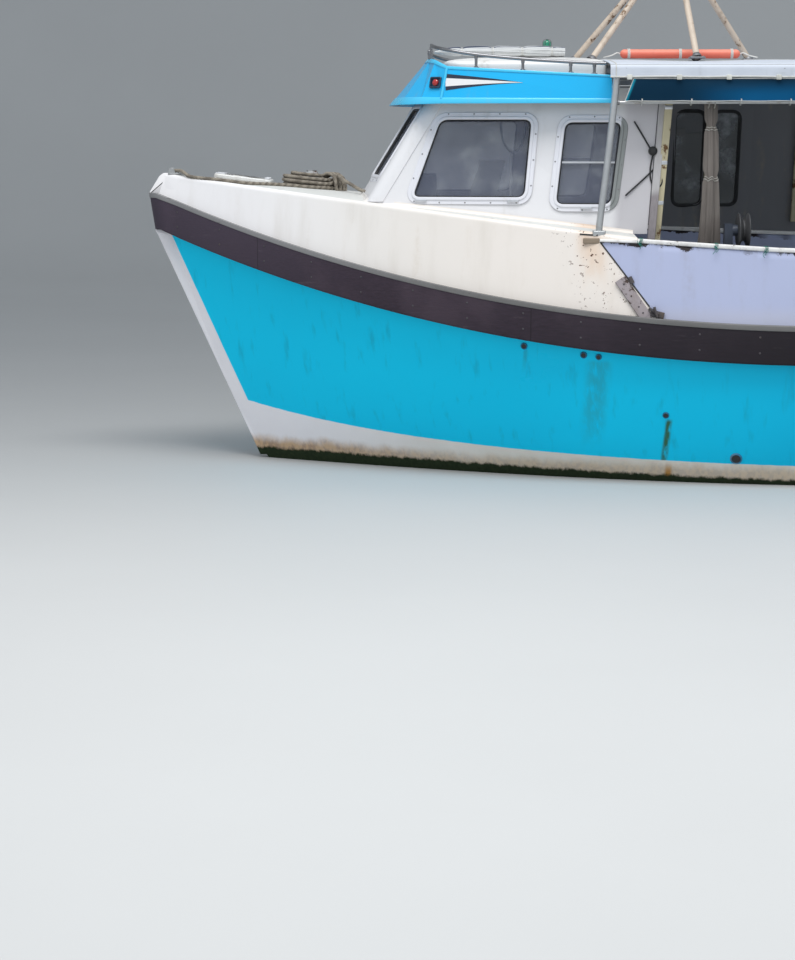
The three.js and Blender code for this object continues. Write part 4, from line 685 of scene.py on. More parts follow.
def hullPaint():
    # blue with its stains, paler up the side as painted light and darker aft as painted shade; a white stem and
    # boot-top, weed at the water and red below
    f = Finish("hullGelcoat", (0.01, 0.45, 0.70), 0.35, Coat_Roughness=0.15, Specular_IOR_Level=0.14)
    cloud = f.noise(0.8, stretch=(1, 1, 1.6), detail=5)
    fine = f.noise(14, detail=6)
    blue = f.mix(cloud, (0.0003, 0.550, 0.860), (0.0004, 0.660, 0.960))
    # painted light: the blue grows paler higher up the side
    paintedLightHigh = f.step(f.z, 0.2, 1.1)
    blue = f.mix(paintedLightHigh * 0.45, blue, (0.001, 0.680, 0.990))
    # painted shade: the blue darkens towards the stern
    blue = f.mix(f.step(f.x, 1.5, -0.5) * 0.45, blue, (0.001, 0.31, 0.55))
    dribble = f.noise(1.0, stretch=(16, 16, 0.4), detail=3)
    blue = f.mix(f.step(dribble, 0.56, 0.78) * 0.35, blue, (0.005, 0.27, 0.40))
    for spot in stains:  # green and rusty runs below the outlets
        across = f.near(f.x + (f.z - spot["top"]) * 0.06, spot["x"], spot["half"])
        fading = f.step(f.z, spot["top"] - spot["run"], spot["top"] - spot["run"] * 0.5)
        down = fading * f.step(f.z, spot["top"], spot["top"] - 0.03)
        mask = across * down * f.step(f.noise(9, stretch=(4, 4, 0.6)), 0.25, 0.6) * spot["much"]
        blue = f.mix(mask, blue, (0.035, 0.11, 0.035))
    scuff = f.step(f.noise(5, stretch=(0.5, 1, 3), detail=9, rough=0.75), 0.70, 0.76)
    blue = f.mix(scuff * 0.35, blue, (0.25, 0.55, 0.66))
    creamNoise = f.noise(4, stretch=(1, 1, 0.8), detail=6)
    cream = f.mix(creamNoise, (0.66, 0.62, 0.54), (0.86, 0.83, 0.78))
    bow = f.step(f.x, 1.9, 3.4)
    stemWhite = f.mix(creamNoise, (0.82, 0.80, 0.83), (0.93, 0.91, 0.93))
    cream = f.mix(bow, cream, stemWhite)
    lowDirt = f.step(f.z + f.noise(9, stretch=(1, 1, 0.5), detail=6) * 0.09 - bow * 0.030, 0.195, 0.115)
    fleck = f.step(f.noise(38, stretch=(1, 1, 0.6), detail=5), 0.42, 0.62)
    ochre = f.mix(fleck, (0.50, 0.29, 0.09), (0.30, 0.15, 0.035))
    cream = f.mix(lowDirt * (bow * 0.35 + 0.45), cream, ochre)
    rusty = f.near(f.x, 0.94, 0.03) * f.step(f.z, 0.15, 0.05)
    cream = f.mix(rusty * 0.9, cream, (0.45, 0.20, 0.02))
    boot = bootEdge(f)
    belowBoot = f.step(f.z + (fine - 0.5) * 0.008 - boot, 0.003, -0.003)
    fromStem = f.z * 0.4537 + 3.529 - f.x
    band = f.step(fromStem + (f.noise(6) - 0.5) * 0.006, 0.096, 0.090)
    paint = f.mix(belowBoot, f.mix(band, blue, stemWhite), cream)
    fringe = f.noise(22, stretch=(1, 1, 0.5), detail=6, rough=0.7)
    weedTop = f.step(f.x, -0.5, 3.2) * 0.045 + 0.030
    weedy = f.step(f.z - (fringe - 0.5) * 0.06 - weedTop, 0.012, -0.012)
    weedColour = f.mix(f.noise(45, detail=6), (0.006, 0.014, 0.008), (0.035, 0.050, 0.022))
    under = f.mix(f.noise(12, detail=6), (0.085, 0.022, 0.018), (0.13, 0.05, 0.035))
    deep = f.step(f.z, -0.06, -0.22)
    weedColour = f.mix(deep, weedColour, under)
    f.set("Base Color", f.mix(weedy, paint, weedColour))
    f.set("Roughness", weedy * 0.45 + belowBoot * 0.12 + cloud * 0.16 + 0.22)
    f.set("Coat Weight", (1 - weedy) * 0.05)
    wave = f.noise(1.6, stretch=(1, 1, 0.5), detail=2)
    f.bump(wave * 0.55 + fine * 0.03 + weedy * fringe * 0.6, 0.35, 0.02)
    return f.material


def insideHull():
    # the CAD hull shows inside the bulwarks, in the holds and at the keel
    f = Finish("hullInside", (0.6, 0.6, 0.57), 0.5)
    flow = grimy(f, (0.58, 0.59, 0.57), dirt=(0.13, 0.11, 0.07), amount=0.75)
    keelRed = f.mix(f.noise(9, detail=6), (0.085, 0.022, 0.018), (0.13, 0.05, 0.035))
    hold = f.step(abs(f.y), 0.46, 0.44) * f.step(f.z, -0.40, -0.36)
    low = f.step(f.z, 0.02, -0.02) * (1 - hold)
    f.set("Base Color", f.mix(low, flow, keelRed))
    f.set("Roughness", f.noise(6, detail=4) * 0.25 + 0.4)
    f.bump(f.noise(60, detail=5), 0.3, 0.004)
    return f.material


hullFinish = hullPaint()
dress(insideHull(), "hull")
addPiece("hull_skin", hullSkin(), hullFinish)

blackRubber = rubberPlastic("blackMoulding", (0.018, 0.018, 0.019))
outletX = np.array([o["x"] for o in outlets])
outletZ = np.array([o["z"] for o in outlets])
outletU, outletV = hullShares(outletX, outletZ)
outletPlaces = hullPoint(outletU, outletV)
outletFacing = hullNormal(outletU, outletV)
skinFittings = []
outletDark = []
for side in (1, -1):
    for spot, place, facing in zip(outlets, outletPlaces, outletFacing):
        axis = facing * [1, side, 1]
        at = place * [1, side, 1] + axis * skin["proud"]
        hole, flange = spot["hole"], spot["flange"]
        ring = [[-0.004, hole], [-0.004, flange], [0.003, flange], [0.008, flange * 0.86],
                [0.009, hole * 1.12], [0.004, hole]]
        mouth = [[-0.002, hole * 0.99], [0.0065, hole * 0.99], [0.007, hole * 0.5]]
        skinFittings.append(lathe(ring, at, axis, 24))
        outletDark.append(lathe(mouth, at, axis, 20))
fittingBlue = gelcoat("fittingBlue", (0.010, 0.16, 0.30), 0.5)
addPiece("outlet_flanges", together(*skinFittings), fittingBlue)
addPiece("outlet_mouths", together(*outletDark), blackRubber)
print("hull skinned")

# Rubbing strakes

strake = {"deep": 0.225, "proud": 0.058, "noseX": 4.234, "rake": 0.034, "edge": 0.014, "capThick": 0.012,
          "capOver": 0.004, "boltEvery": 0.36, "boltDrops": (0.060, 0.155), "plankLong": 1.9}


def strakeLine(grow=0.0):
    # the strake's outer top edge on the port side: a blunt nose, then the sheer
    shoulder = sheerAt(0.012)
    turn = np.radians(np.linspace(0, 90, 14))[:-1]
    noseX = shoulder[0] + (strake["noseX"] + grow - shoulder[0]) * np.cos(turn)
    noseY = np.maximum((shoulder[1] + strake["proud"] + grow) * np.sin(turn), 0.0006)
    noseZ = sheerAt(np.maximum(sheerShare(noseX), 0))[:, 2]
    run = sheerAt(crowded(0.014, 1, 150, 1.3)) + [0, strake["proud"] + grow, 0]
    return np.concatenate([np.stack([noseX, noseY, noseZ], -1), run])


def strakeInner(line):
    # the hidden inner edge, a little inside the skin
    share = np.maximum(sheerShare(line[:, 0]), 0)
    inner = sheerAt(share)[:, 1] - 0.06
    return np.clip(inner, 0.0004, np.maximum(line[:, 1] - 0.004, 0.0004))


def strakeBody(depthTop, depthBottom, grow=0.0):
    # sections along the line: inner top, outer top with a round, outer bottom with a round, inner bottom
    line = strakeLine(grow)
    inner = strakeInner(line)
    edge = np.minimum(strake["edge"] if depthBottom - depthTop > 0.05 else 0.004, (line[:, 1] - inner) / 2)
    turn = np.radians(np.linspace(0, 90, 5))
    section = [(inner, np.full_like(inner, depthTop))]
    for t in turn:
        section.append((line[:, 1] - edge * (1 - math.sin(t)), depthTop + edge * (1 - math.cos(t))))
    for t in turn[::-1]:
        section.append((line[:, 1] - edge * (1 - math.sin(t)), depthBottom - edge * (1 - math.cos(t))))
    section.append((inner, np.full_like(inner, depthBottom)))
    rake = strake["rake"] * np.clip((line[:, 0] - 4.05) / 0.18, 0, 1)
    points = np.stack([np.stack([line[:, 0] + rake * (0.5 - down / strake["deep"]), y, line[:, 2] - down], -1)
                       for y, down in section], 1)
    around = np.linspace(0, 0.4, points.shape[1])
    uv = np.stack(np.broadcast_arrays(lengths(line)[:, None], around[None]), -1).reshape(-1, 2)
    return capped(points, uv)


def strakeTimber():
    # dark planks butted end to end, scraped and salty, blacker toward the stern
    f = Finish("strakeTimber", (0.03, 0.024, 0.026), 0.72, Specular_IOR_Level=0.3)
    s = f.uv("X")
    grain = f.noise(1.0, stretch=(3, 60, 90), detail=7, rough=0.6)
    plank = f.node("ShaderNodeMath", {"operation": "FRACT"}, {0: s / strake["plankLong"]})
    joint = f.near(plank, 0.5, 0.0016) * 0.6
    patch = f.noise(2.3, detail=5)
    dark = f.mix(grain, (0.014, 0.009, 0.014), (0.054, 0.036, 0.054))
    dark = f.mix(f.step(f.x, 2.6, 3.9) * 0.6, dark, (0.070, 0.054, 0.078))
    dark = f.mix(f.step(patch, 0.45, 0.75) * 0.6, dark, (0.066, 0.046, 0.062))
    dark = f.mix(f.step(f.x, 1.6, 0.0) * 0.65, dark, (0.010, 0.007, 0.010))
    salt = f.step(f.noise(5, stretch=(0.6, 1, 5), detail=8, rough=0.7), 0.60, 0.76)
    dark = f.mix(salt * 0.3, dark, (0.19, 0.16, 0.17))
    scrape = f.step(f.noise(3, stretch=(0.35, 1, 9), detail=8, rough=0.8), 0.68, 0.74)
    dark = f.mix(scrape * 0.4, dark, (0.13, 0.095, 0.075))
    dark = f.mix(f.step(f.x, 2.6, 0.6) * 0.5, dark, (0.006, 0.005, 0.007))
    f.set("Base Color", f.mix(joint, dark, (0.004, 0.004, 0.004)))
    f.set("Roughness", grain * 0.25 + 0.55)
    f.bump(grain * 0.5 + f.noise(14, detail=4) * 0.6 - joint * 1.5, 0.5, 0.006)
    return f.material


timber = strakeTimber()


def cappingPaint():
    # worn grey paint, chalky toward the bow, its under edge dark
    f = Finish("strakeCapping", (0.17, 0.165, 0.16), 0.6)
    grey = f.mix(f.noise(7, stretch=(0.4, 2, 2), detail=6), (0.10, 0.098, 0.095), (0.20, 0.195, 0.19))
    grey = f.mix(f.step(f.x, 2.0, 3.6) * 0.6, grey, (0.30, 0.295, 0.30))
    scuff = f.step(f.noise(16, stretch=(0.5, 1, 3), detail=7, rough=0.75), 0.60, 0.68)
    f.set("Base Color", f.mix(scuff * 0.6, grey, (0.045, 0.038, 0.034)))
    f.bump(f.noise(60, detail=4) - scuff * 0.4, 0.3, 0.003)
    return f.material


greyCap = cappingPaint()
boltMetal = bareMetal("boltHeads", (0.13, 0.12, 0.13), 0.6, stain=0.7)
planks = strakeBody(0, strake["deep"], 0.0005)
capping = strakeBody(-strake["capThick"], 0.020, strake["capOver"])
line = strakeLine()
far = lengths(line)
spots = np.arange(0.28, far[-1] - 0.1, strake["boltEvery"])
boltRows = np.stack([np.interp(spots, far, line[:, k]) for k in range(3)], -1)
sideways = np.stack([np.gradient(boltRows[:, 1]), -np.gradient(boltRows[:, 0])], -1)
sideways /= np.linalg.norm(sideways, axis=1, keepdims=True)
facing = np.column_stack([sideways, np.zeros(len(spots))])
facing *= np.where(facing[:, 1:2] < 0, -1, 1)
bolts = together(*[domes(boltRows - [0, 0, drop], facing, 0.007, 0.003, 8) for drop in strake["boltDrops"]])
for name in ("port", "starboard"):
    onThisSide = mirrored if name == "starboard" else tuple
    addPiece("strake_planks_" + name, onThisSide(planks), timber, replaces="rubbing_strake_" + name)
    addPiece("strake_capping_" + name, onThisSide(capping), greyCap)
    addPiece("strake_bolts_" + name, onThisSide(bolts), boltMetal)
print("strakes laid")

# Topside moulding: smooth sides, a rounded edge and the cambered foredeck over the solid

mould = {"proud": 0.0028, "corner": 0.026, "wall": 0.002}
cabin = {"sillZ": 1.791, "topZ": 2.4197, "wall": 0.045, "frontX": 2.761, "frontRake": 0.615, "frontHalf": 0.745,
         "frontNarrow": 0.06, "bow": 0.075, "aftX": 1.172, "aftRake": 0.08, "aftHalf": 0.985, "aftNarrow": 0.09,
         "wingX": 1.062, "kinkY": 0.2525}
foreHatch = {"fore": 3.790, "aft": 3.470, "half": 0.150, "over": 0.026, "gap": 0.010}


def cabinSide(x, z):
    # half-breadth of the wheelhouse's flat side, which narrows forward and upward
    up = z - cabin["sillZ"]
    wingX = cabin["wingX"] - cabin["aftRake"] * up
    frontX = cabin["frontX"] - cabin["frontRake"] * up
    t = (x - wingX) / (frontX - wingX)
    return (cabin["aftHalf"] - cabin["aftNarrow"] * up) * (1 - t) + (cabin["frontHalf"] - cabin["frontNarrow"] * up) * t


def cabinFront(y, z):
    # X of the windscreens' faces: flat between the kinks, swept back to the corners
    up = z - cabin["sillZ"]
    frontX = cabin["frontX"] - cabin["frontRake"] * up
    half = cabin["frontHalf"] - cabin["frontNarrow"] * up
    t = np.clip((np.abs(y) - cabin["kinkY"]) / (half - cabin["kinkY"]), 0, 1)
    return frontX + (cabin["bow"] - 0.006) * (1 - t)


def mouldingSide():
    # from the sheer up the side and over the rounded edge to the start of the deck
    u = np.concatenate([np.linspace(0, 0.06, 26)[:-1], np.linspace(0.06, jointShare, 70)])
    x, y, z = sheerAt(u).T
    edge = topEdge(u)
    half = edge[:, 1]
    corner = np.minimum(mould["corner"], half * 0.5)
    t = np.linspace(0, 1, 9)[:, None]
    out = mould["proud"]
    wallY = (y - 0.006 + out) * (1 - t) + (half + out) * t
    wallX = x * (1 - t) + edge[:, 0] * t
    wallZ = (z + 0.0003) * (1 - t) + (edge[:, 2] - corner) * t
    turn = np.radians(np.linspace(0, 90, 7))[1:, None]
    roundY = half - corner + (corner + out) * np.cos(turn)
    roundZ = edge[:, 2] - corner + (corner + out) * np.sin(turn)
    roundX = np.broadcast_to(edge[:, 0], roundY.shape)
    return np.stack([np.concatenate([wallX, roundX]), np.concatenate([wallY, roundY]),
                     np.concatenate([wallZ, roundZ])], -1)


def slab(points, faces, thickness):
    # a skin given an underside, and a wall along each of its open edges
    used, faces = np.unique(faces.reshape(-1), return_inverse=True)
    points, faces = points[used], faces.reshape(-1, 4)
    pairs = np.stack([faces, np.roll(faces, -1, 1)], -1).reshape(-1, 2).tolist()
    both = {(a, b) for a, b in pairs}
    start, end = np.array([(a, b) for a, b in pairs if (b, a) not in both]).T
    under = len(points)
    walls = np.stack([end, start, start + under, end + under], -1)
    return np.concatenate([points, points - [0, 0, thickness]]), [faces, faces[:, ::-1] + under, walls], None


def foreDeck():
    # the deck between the rounded edges, highest on the centreline, with the cabin and the hatch left out
    u = np.concatenate([np.linspace(0, 0.06, 14)[:-1], np.linspace(0.06, jointShare, 150)])
    edge = topEdge(u)
    half = edge[:, 1] - np.minimum(mould["corner"], edge[:, 1] * 0.5)
    s = np.linspace(-1, 1, 121)[:, None]
    y = s * half
    camber = topside["camber"] * np.minimum(edge[:, 1] / 0.9, 1)
    z = edge[:, 2] + mould["proud"] + camber * (1 - s**2)
    x = np.broadcast_to(edge[:, 0], y.shape)
    points = np.stack([x, y, z], -1)
    faces = net(*y.shape)
    middle = points.reshape(-1, 3)[faces].mean(1)
    x, y, z = middle.T
    inCabin = (np.abs(y) < cabinSide(x, z) - 0.012) & (x < cabinFront(y, z) - 0.012)
    hatchMiddle, hatchReach = (foreHatch["fore"] + foreHatch["aft"]) / 2, (foreHatch["fore"] - foreHatch["aft"]) / 2
    gap = foreHatch["gap"]
    inHatch = (np.abs(y) < foreHatch["half"] + gap) & (np.abs(x - hatchMiddle) < hatchReach + gap)
    return slab(points.reshape(-1, 3), faces[~(inCabin | inHatch)], 0.0025)


def topsidePaint():
    # cream ahead of the slanting joint, with rust specks and a warm stain; abaft it a bluish white that flakes
    # away under the rail. The joint's line: x = 0.2512 + 0.763 z
    f = Finish("topsideGelcoat", (0.82, 0.80, 0.75), 0.38, Coat_Weight=0.12, Coat_Roughness=0.2,
               Specular_IOR_Level=0.35)
    cream = grimy(f, (0.83, 0.80, 0.755), dirt=(0.55, 0.47, 0.36), amount=0.45)
    cream = f.mix(f.step(f.x, 3.9, 1.2) * 0.5, cream, (0.83, 0.73, 0.65))
    cream = f.mix(f.step(f.x, 2.4, 3.9) * 0.8, cream, (0.94, 0.92, 0.93))
    port = f.step(f.y, 0.5, 0.9)
    rough = f.noise(5, stretch=(1.5, 1.5, 0.6), detail=6)
    stain = f.near(f.x, 1.44, 0.13) * f.step(f.z, 1.12, 1.44) * f.step(rough, 0.30, 0.62) * port
    cream = f.mix(stain * 0.55, cream, (0.72, 0.50, 0.33))
    speck = f.step(f.noise(42, detail=2, rough=0.6), 0.645, 0.67)
    zone = f.near(f.x + (f.z - 1.3) * -0.35, 1.41, 0.22) * f.step(f.noise(6, detail=2), 0.36, 0.50) * port
    cream = f.mix(speck * zone, cream, (0.09, 0.035, 0.018))
    edgeDirt = f.step(f.noise(3, stretch=(2, 2, 0.3), detail=5), 0.5, 0.8)
    cream = f.mix(edgeDirt * 0.2, cream, (0.50, 0.44, 0.35))
    sheet = grimy(f, (0.43, 0.47, 0.65), dirt=(0.33, 0.32, 0.38), amount=0.35)
    sheet = f.mix(f.step(f.z, 1.14, 1.02) * 0.5, sheet, (0.52, 0.52, 0.60))
    top = f.x * 0.0605 + 1.416
    ragged = f.noise(9, stretch=(1.2, 1, 1.6), detail=9, rough=0.72)
    much = f.step(f.noise(1.9, stretch=(1, 0.2, 0.2), detail=3) - f.x * 0.05, 0.40, 0.53)
    shred = f.step(f.z - top + ragged * 0.13, 0.052, 0.058) * much
    spots = f.step(f.noise(23, detail=6, rough=0.8), 0.735, 0.75)
    dark = f.mix(f.noise(30), (0.012, 0.011, 0.013), (0.055, 0.042, 0.042))
    sheet = f.mix(shred + spots * 0.8, sheet, dark)
    abaft = f.step(f.x - f.z * 0.763, 0.2532, 0.2492) * f.step(f.z, 1.508, 1.500)
    f.set("Base Color", f.mix(abaft, cream, sheet))
    f.set("Roughness", f.noise(4, detail=4) * 0.22 + shred * abaft * 0.3 + 0.30)
    f.bump(f.noise(5, detail=2) * 0.8 + f.noise(120, detail=2) * 0.08 - shred * abaft * 0.4, 0.2, 0.006)
    return f.material


topsideFinish = topsidePaint()
dress(topsideFinish, "topside_moulding")
sidePoints = mouldingSide()
sideSkin = thick(sidePoints, mould["wall"])
addPiece("topside_skin", together(sideSkin, mirrored(sideSkin)), topsideFinish)


def deckPaint():
    # gritty coating, dirty where it is trodden
    f = Finish("foredeckCoating", (0.66, 0.66, 0.63), 0.75)
    f.set("Base Color", grimy(f, (0.66, 0.66, 0.63), dirt=(0.22, 0.19, 0.14), amount=0.8))
    f.bump(f.noise(260, detail=2), 0.5, 0.002)
    return f.material


addPiece("foredeck_skin", foreDeck(), deckPaint())

# Stem: a soft-edged facing down the bow below the strakes, and a wedge that carries the moulding over their nose
stemFacing = {"half": 0.029, "edge": 0.012, "deep": 0.130,
              "line": [(4.217, 1.5185), (4.123, 1.310), (3.987, 1.010), (3.869, 0.750), (3.695, 0.366),
                       (3.571, 0.093), (3.538, 0.019)]}
wedge = {"over": 0.0010, "edge": 0.008, "corner": 0.006,
         "line": [(4.120, 1.7453), (4.254, 1.7453), (4.249, 1.764), (4.185, 1.866), (4.158, 1.885), (4.090, 1.885)]}


def bowPlate(outline, half, edge):
    # an outline in X and Z, as wide as 2 x half, with rounded edges
    levels = [(-half, edge), (-half + edge * 0.3, edge * 0.3), (-half + edge, 0),
              (half - edge, 0), (half - edge * 0.3, edge * 0.3), (half, edge)]
    return plate(outline, levels, lambda a, b, h: (a, h, b))


stemOut = curveThrough([(x, 0, z) for x, z in stemFacing["line"]], 6)[:, [0, 2]]
stemIn = stemOut[::-1] - [stemFacing["deep"], 0]
stemShape = bowPlate(np.concatenate([stemOut, stemIn]), stemFacing["half"], stemFacing["edge"])
addPiece("stem_cover", stemShape, hullFinish, replaces="stem_facing")
wedgeHalf = float(sidePoints[:, 0, 1].max()) + wedge["over"]
wedgeShape = bowPlate(roundedCorners(wedge["line"], wedge["corner"], 4), wedgeHalf, wedge["edge"])
addPiece("stem_wedge", wedgeShape, topsideFinish, replaces="stem_head")
print("topsides smoothed; the wedge's half-breadth:", round(wedgeHalf, 4))

# Aft bulwark and its rail

bulwark = {"foreX": 1.165, "foreTop": 1.486, "midX": 0.354, "midTop": 1.437, "aftTop": 1.290, "thick": 0.040,
           "lean": 0.055, "tall": 0.430, "railWide": 0.056, "railTall": 0.026}
sternX = sheerLine["stern"]


def bulwarkTop(x):
    # the bulwark's top in two straight runs, forward and abaft midX
    x = np.asarray(x, float)
    fore = bulwark["foreTop"] + (bulwark["midTop"] - bulwark["foreTop"]) * (bulwark["foreX"] - x) / (
        bulwark["foreX"] - bulwark["midX"])
    aft = bulwark["midTop"] + (bulwark["aftTop"] - bulwark["midTop"]) * (bulwark["midX"] - x) / (
        bulwark["midX"] - sternX)
    return np.where(x > bulwark["midX"], fore, aft)


def bulwarkLine(u):
    # foot and top of the bulwark's outer face
    x, y, z = sheerAt(u).T
    top = bulwarkTop(x)
    x = np.minimum(x, bulwark["foreX"])
    sink = np.minimum((top - z) / bulwark["tall"], 1.1)
    return x, y - 0.006, z + 0.0003, y - 0.006 - bulwark["lean"] * sink, top


def bulwarkMiddle(x):
    # half-breadth of the middle of the bulwark's top
    _, _, _, y, _ = bulwarkLine(sheerShare(x))
    return y - bulwark["thick"] / 2


def bulwarkBody():
    # each section: up the outer face, over a rounded top, down the inner face
    x, footY, footZ, topY, topZ = bulwarkLine(np.linspace(jointShare, 1, 130))
    t = np.linspace(0, 1, 12)[None]
    dent = 0.0025 * np.sin(x[:, None] * 5.1 + 1.3) * np.sin(t * math.pi)
    r = 0.008
    outer = np.stack(np.broadcast_arrays(x[:, None], footY[:, None] + (topY - footY)[:, None] * t + dent,
                                         footZ[:, None] + (topZ - r - footZ)[:, None] * t), -1)
    inner = outer[:, ::-1] - [0, bulwark["thick"], 0]
    crown = np.stack([x, topY - r, topZ], -1)[:, None]
    crownIn = np.stack([x, topY - bulwark["thick"] + r, topZ], -1)[:, None]
    return capped(np.concatenate([outer, crown, crownIn, inner], 1))


def sternBoard():
    # the bulwark's board across the stern, a little narrower at its top
    across = sheerLine["sternHalf"] - 0.030
    low, high = sheerLine["sternZ"] + 0.0003, bulwark["aftTop"]
    corners = roundedCorners([[-across, low], [across, low], [across - 0.04, high], [-across + 0.04, high]], 0.02, 4)
    levels = [(0.0, 0.004), (0.004, 0), (bulwark["thick"] - 0.004, 0), (bulwark["thick"], 0.004)]
    return plate(corners, levels, lambda a, b, h: (sternX + h, a, b))


bulwarkSide = bulwarkBody()
addPiece("bulwark_sheets", together(bulwarkSide, mirrored(bulwarkSide), sternBoard()), topsideFinish,
         replaces="aft_bulwark")


def railBody():
    # the rail on the bulwark's top: one rounded section down each side, and a bar across the stern
    x = np.linspace(bulwark["foreX"], sternX, 110)
    half, tall = bulwark["railWide"] / 2, bulwark["railTall"]
    r = 0.009
    z = bulwarkTop(x) + 0.0003
    middle = bulwarkMiddle(x)
    corners = roundedBox(-half, 0, half, tall, r, 4)
    side = capped(np.stack([np.broadcast_to(x[:, None], (len(x), len(corners))), middle[:, None] + corners[None, :, 0],
                            z[:, None] + corners[None, :, 1]], -1))
    across = float(bulwarkMiddle(sternX)) + half
    low = float(bulwarkTop(sternX + 2 * half)) + 0.0003
    stern = soften([sternX, -across, low], [sternX + 2 * half, across, low + tall], r, axis=1)
    return together(side, mirrored(side), stern)


railFinish = paintedMetal("railPaint", (0.80, 0.79, 0.77), wear=0.0, rust=(0.20, 0.17, 0.15), rough=0.5)
addPiece("rail_capping", railBody(), railFinish, replaces="bulwark_rail")

# On the bulwark: green lashings, a grey batten with its bracket, and a brown block
twine = {"thick": 0.0032, "places": (1.148, 0.700, 0.403), "turns": 3}


def lashing(x, seed):
    # turns of twine round the rail and two loose ends down the outside
    y, z = float(bulwarkMiddle(x)), float(bulwarkTop(x)) + bulwark["railTall"] / 2
    turn = np.linspace(0, twine["turns"] * 2 * math.pi, 70)
    wide, tall = bulwark["railWide"] / 2 + 0.004, bulwark["railTall"] / 2 + 0.004
    squared = np.maximum(np.abs(np.cos(turn)), np.abs(np.sin(turn)))  # takes the round turn out to the rail's corners
    run = np.stack([x + turn * 0.0011 - 0.01, y + wide * np.cos(turn) / squared,
                    z + tall * np.sin(turn) / squared], -1)
    ends = [tube(run, twine["thick"] / 2, 6)]
    for k in range(2):
        drop = np.linspace(0, 1, 12)
        hang = np.stack([x + 0.012 * k + 0.010 * np.sin(drop * 5 + seed + k), y + wide + 0.0035 + drop * 0.012,
                         z + 0.004 - drop * (0.040 + 0.012 * k)], -1)
        ends.append(tube(hang, twine["thick"] / 2, 6))
    return together(*ends)


twineFinish = twoTone("twine", (0.01, 0.16, 0.12), 0.8, (0.006, 0.085, 0.07), (0.02, 0.26, 0.19), 140)
addPiece("rail_lashings", together(*[lashing(x, i * 1.7) for i, x in enumerate(twine["places"])]),
         twineFinish.material, sharp=80)

batten = {"fore": (1.272, 1.270), "aft": (1.118, 1.046), "wide": 0.072, "thick": 0.014, "off": 0.0028}


def skinY(x, z):
    # half-breadth of the white sides above the sheer, moulding or sheet, at x and z
    share = sheerShare(x)
    _, sheerY, sheerZ = sheerAt(share)
    if x > bulwark["foreX"]:
        _, edgeY, high = topEdge(share)
        t = np.clip((z - sheerZ) / (high - mould["corner"] - sheerZ), 0, 1)
        return (sheerY - 0.006 + mould["proud"]) * (1 - t) + (edgeY + mould["proud"]) * t
    t = np.clip((z - sheerZ) / bulwark["tall"], 0, 1.1)
    return sheerY - 0.006 - bulwark["lean"] * t


def onSide(route, out=0.0):
    # points (x, z) of a line laid on the port side, "out" off its face
    return np.array([[x, skinY(x, z) + out, z] for x, z in route])


def flatBar(route, wide, deep, out=0.0008):
    # a flat bar along a line on the port side, with soft edges
    path = onSide(route, out + deep / 2)
    normal = np.array([0, 1.0, 0.13]) / np.linalg.norm([0, 1.0, 0.13])
    across = np.cross(tangents(path), normal)
    corners = roundedBox(-wide / 2, -deep / 2, wide / 2, deep / 2, deep * 0.35, 3)
    return capped(path[:, None] + across[:, None] * corners[None, :, :1] + normal * corners[None, :, 1:])


battenFinish = paintedMetal("weatheredBatten", (0.33, 0.29, 0.30), wear=0.9, rust=(0.10, 0.07, 0.06), rough=0.7)
battenBoard = flatBar([batten["fore"], batten["aft"]], batten["wide"], batten["thick"], batten["off"])
battenToe = flatBar([(1.126, 1.062), (1.104, 1.033)], 0.070, 0.012, batten["off"])
addPiece("joint_batten", together(battenBoard, battenToe), battenFinish)
battenNails = onSide([(1.250, 1.240), (1.205, 1.170), (1.160, 1.106), (1.135, 1.070)], 0.0172)
addPiece("batten_nails", domes(battenNails, (0, 1, 0.1), 0.0055, 0.003, 8), boltMetal)
foreRail = flatBar(np.linspace((1.392, 1.500), (1.160, 1.494), 12), 0.017, 0.016, 0.0005)
addPiece("rail_fore", foreRail, railFinish)
jointSeam = flatBar(np.linspace((1.390, 1.491), (1.095, 1.106), 24), 0.009, 0.005, 0.0002)
scupper = flatBar([(1.512, 1.537), (1.404, 1.531)], 0.010, 0.003, 0.0004)
addPiece("joint_seam", together(jointSeam, scupper), blackRubber)


cover = {"aft": 1.030, "fore": 1.340, "foot": 1.030, "top": 1.486, "fade": 0.070, "lift": 0.0032,
         "step": (1.120, 1.205)}


def jointCover():
    # one thin sheet over the upright joint of moulding and bulwark, so that only the slanting one shows
    aft, fore, foot, top = cover["aft"], cover["fore"], cover["foot"], cover["top"]
    stepAft, stepFore = cover["step"]
    x, z = np.linspace(aft, fore, 32), np.linspace(foot, top, 24)
    window = np.clip(np.minimum(x - aft, fore - x) / cover["fade"], 0, 1)
    lift = cover["lift"] * window**2 * (3 - 2 * window) - 0.0012
    rows = []
    for high in z:
        aftY, foreY = skinY(stepAft, high), skinY(stepFore, high)
        y = [aftY + (foreY - aftY) * (a - stepAft) / (stepFore - stepAft) if stepAft < a < stepFore else skinY(a, high)
             for a in x]
        rows.append(np.stack([x, np.array(y) + lift, np.full(len(x), high)], -1))
    return thick(np.stack(rows), 0.0015)


addPiece("joint_cover", together(jointCover(), mirrored(jointCover())), topsideFinish)
rustyMetal = paintedMetal("rustyBrackets", (0.060, 0.055, 0.060), wear=0.5, rust=(0.075, 0.045, 0.036), rough=0.7)
brackets = [  # both ends on the side as (x, z), then the width, the thickness and the height off the face
    ((1.088, 1.070), (1.010, 1.052), 0.040, 0.014, 0.004), ((1.070, 1.106), (1.052, 1.046), 0.016, 0.030, 0.012),
    ((1.100, 1.098), (1.046, 1.062), 0.018, 0.026, 0.006), ((1.216, 1.284), (1.196, 1.246), 0.026, 0.018, 0.003),
]
bracketBits = [flatBar([start, end], wide, deep, out) for start, end, wide, deep, out in brackets]
addPiece("joint_brackets", together(*bracketBits), rustyMetal)
blockY = skinY(1.44, 1.47)
woodBlock = soften([1.392, blockY - 0.045, 1.480], [1.492, blockY + 0.010, 1.514], 0.006, axis=0)
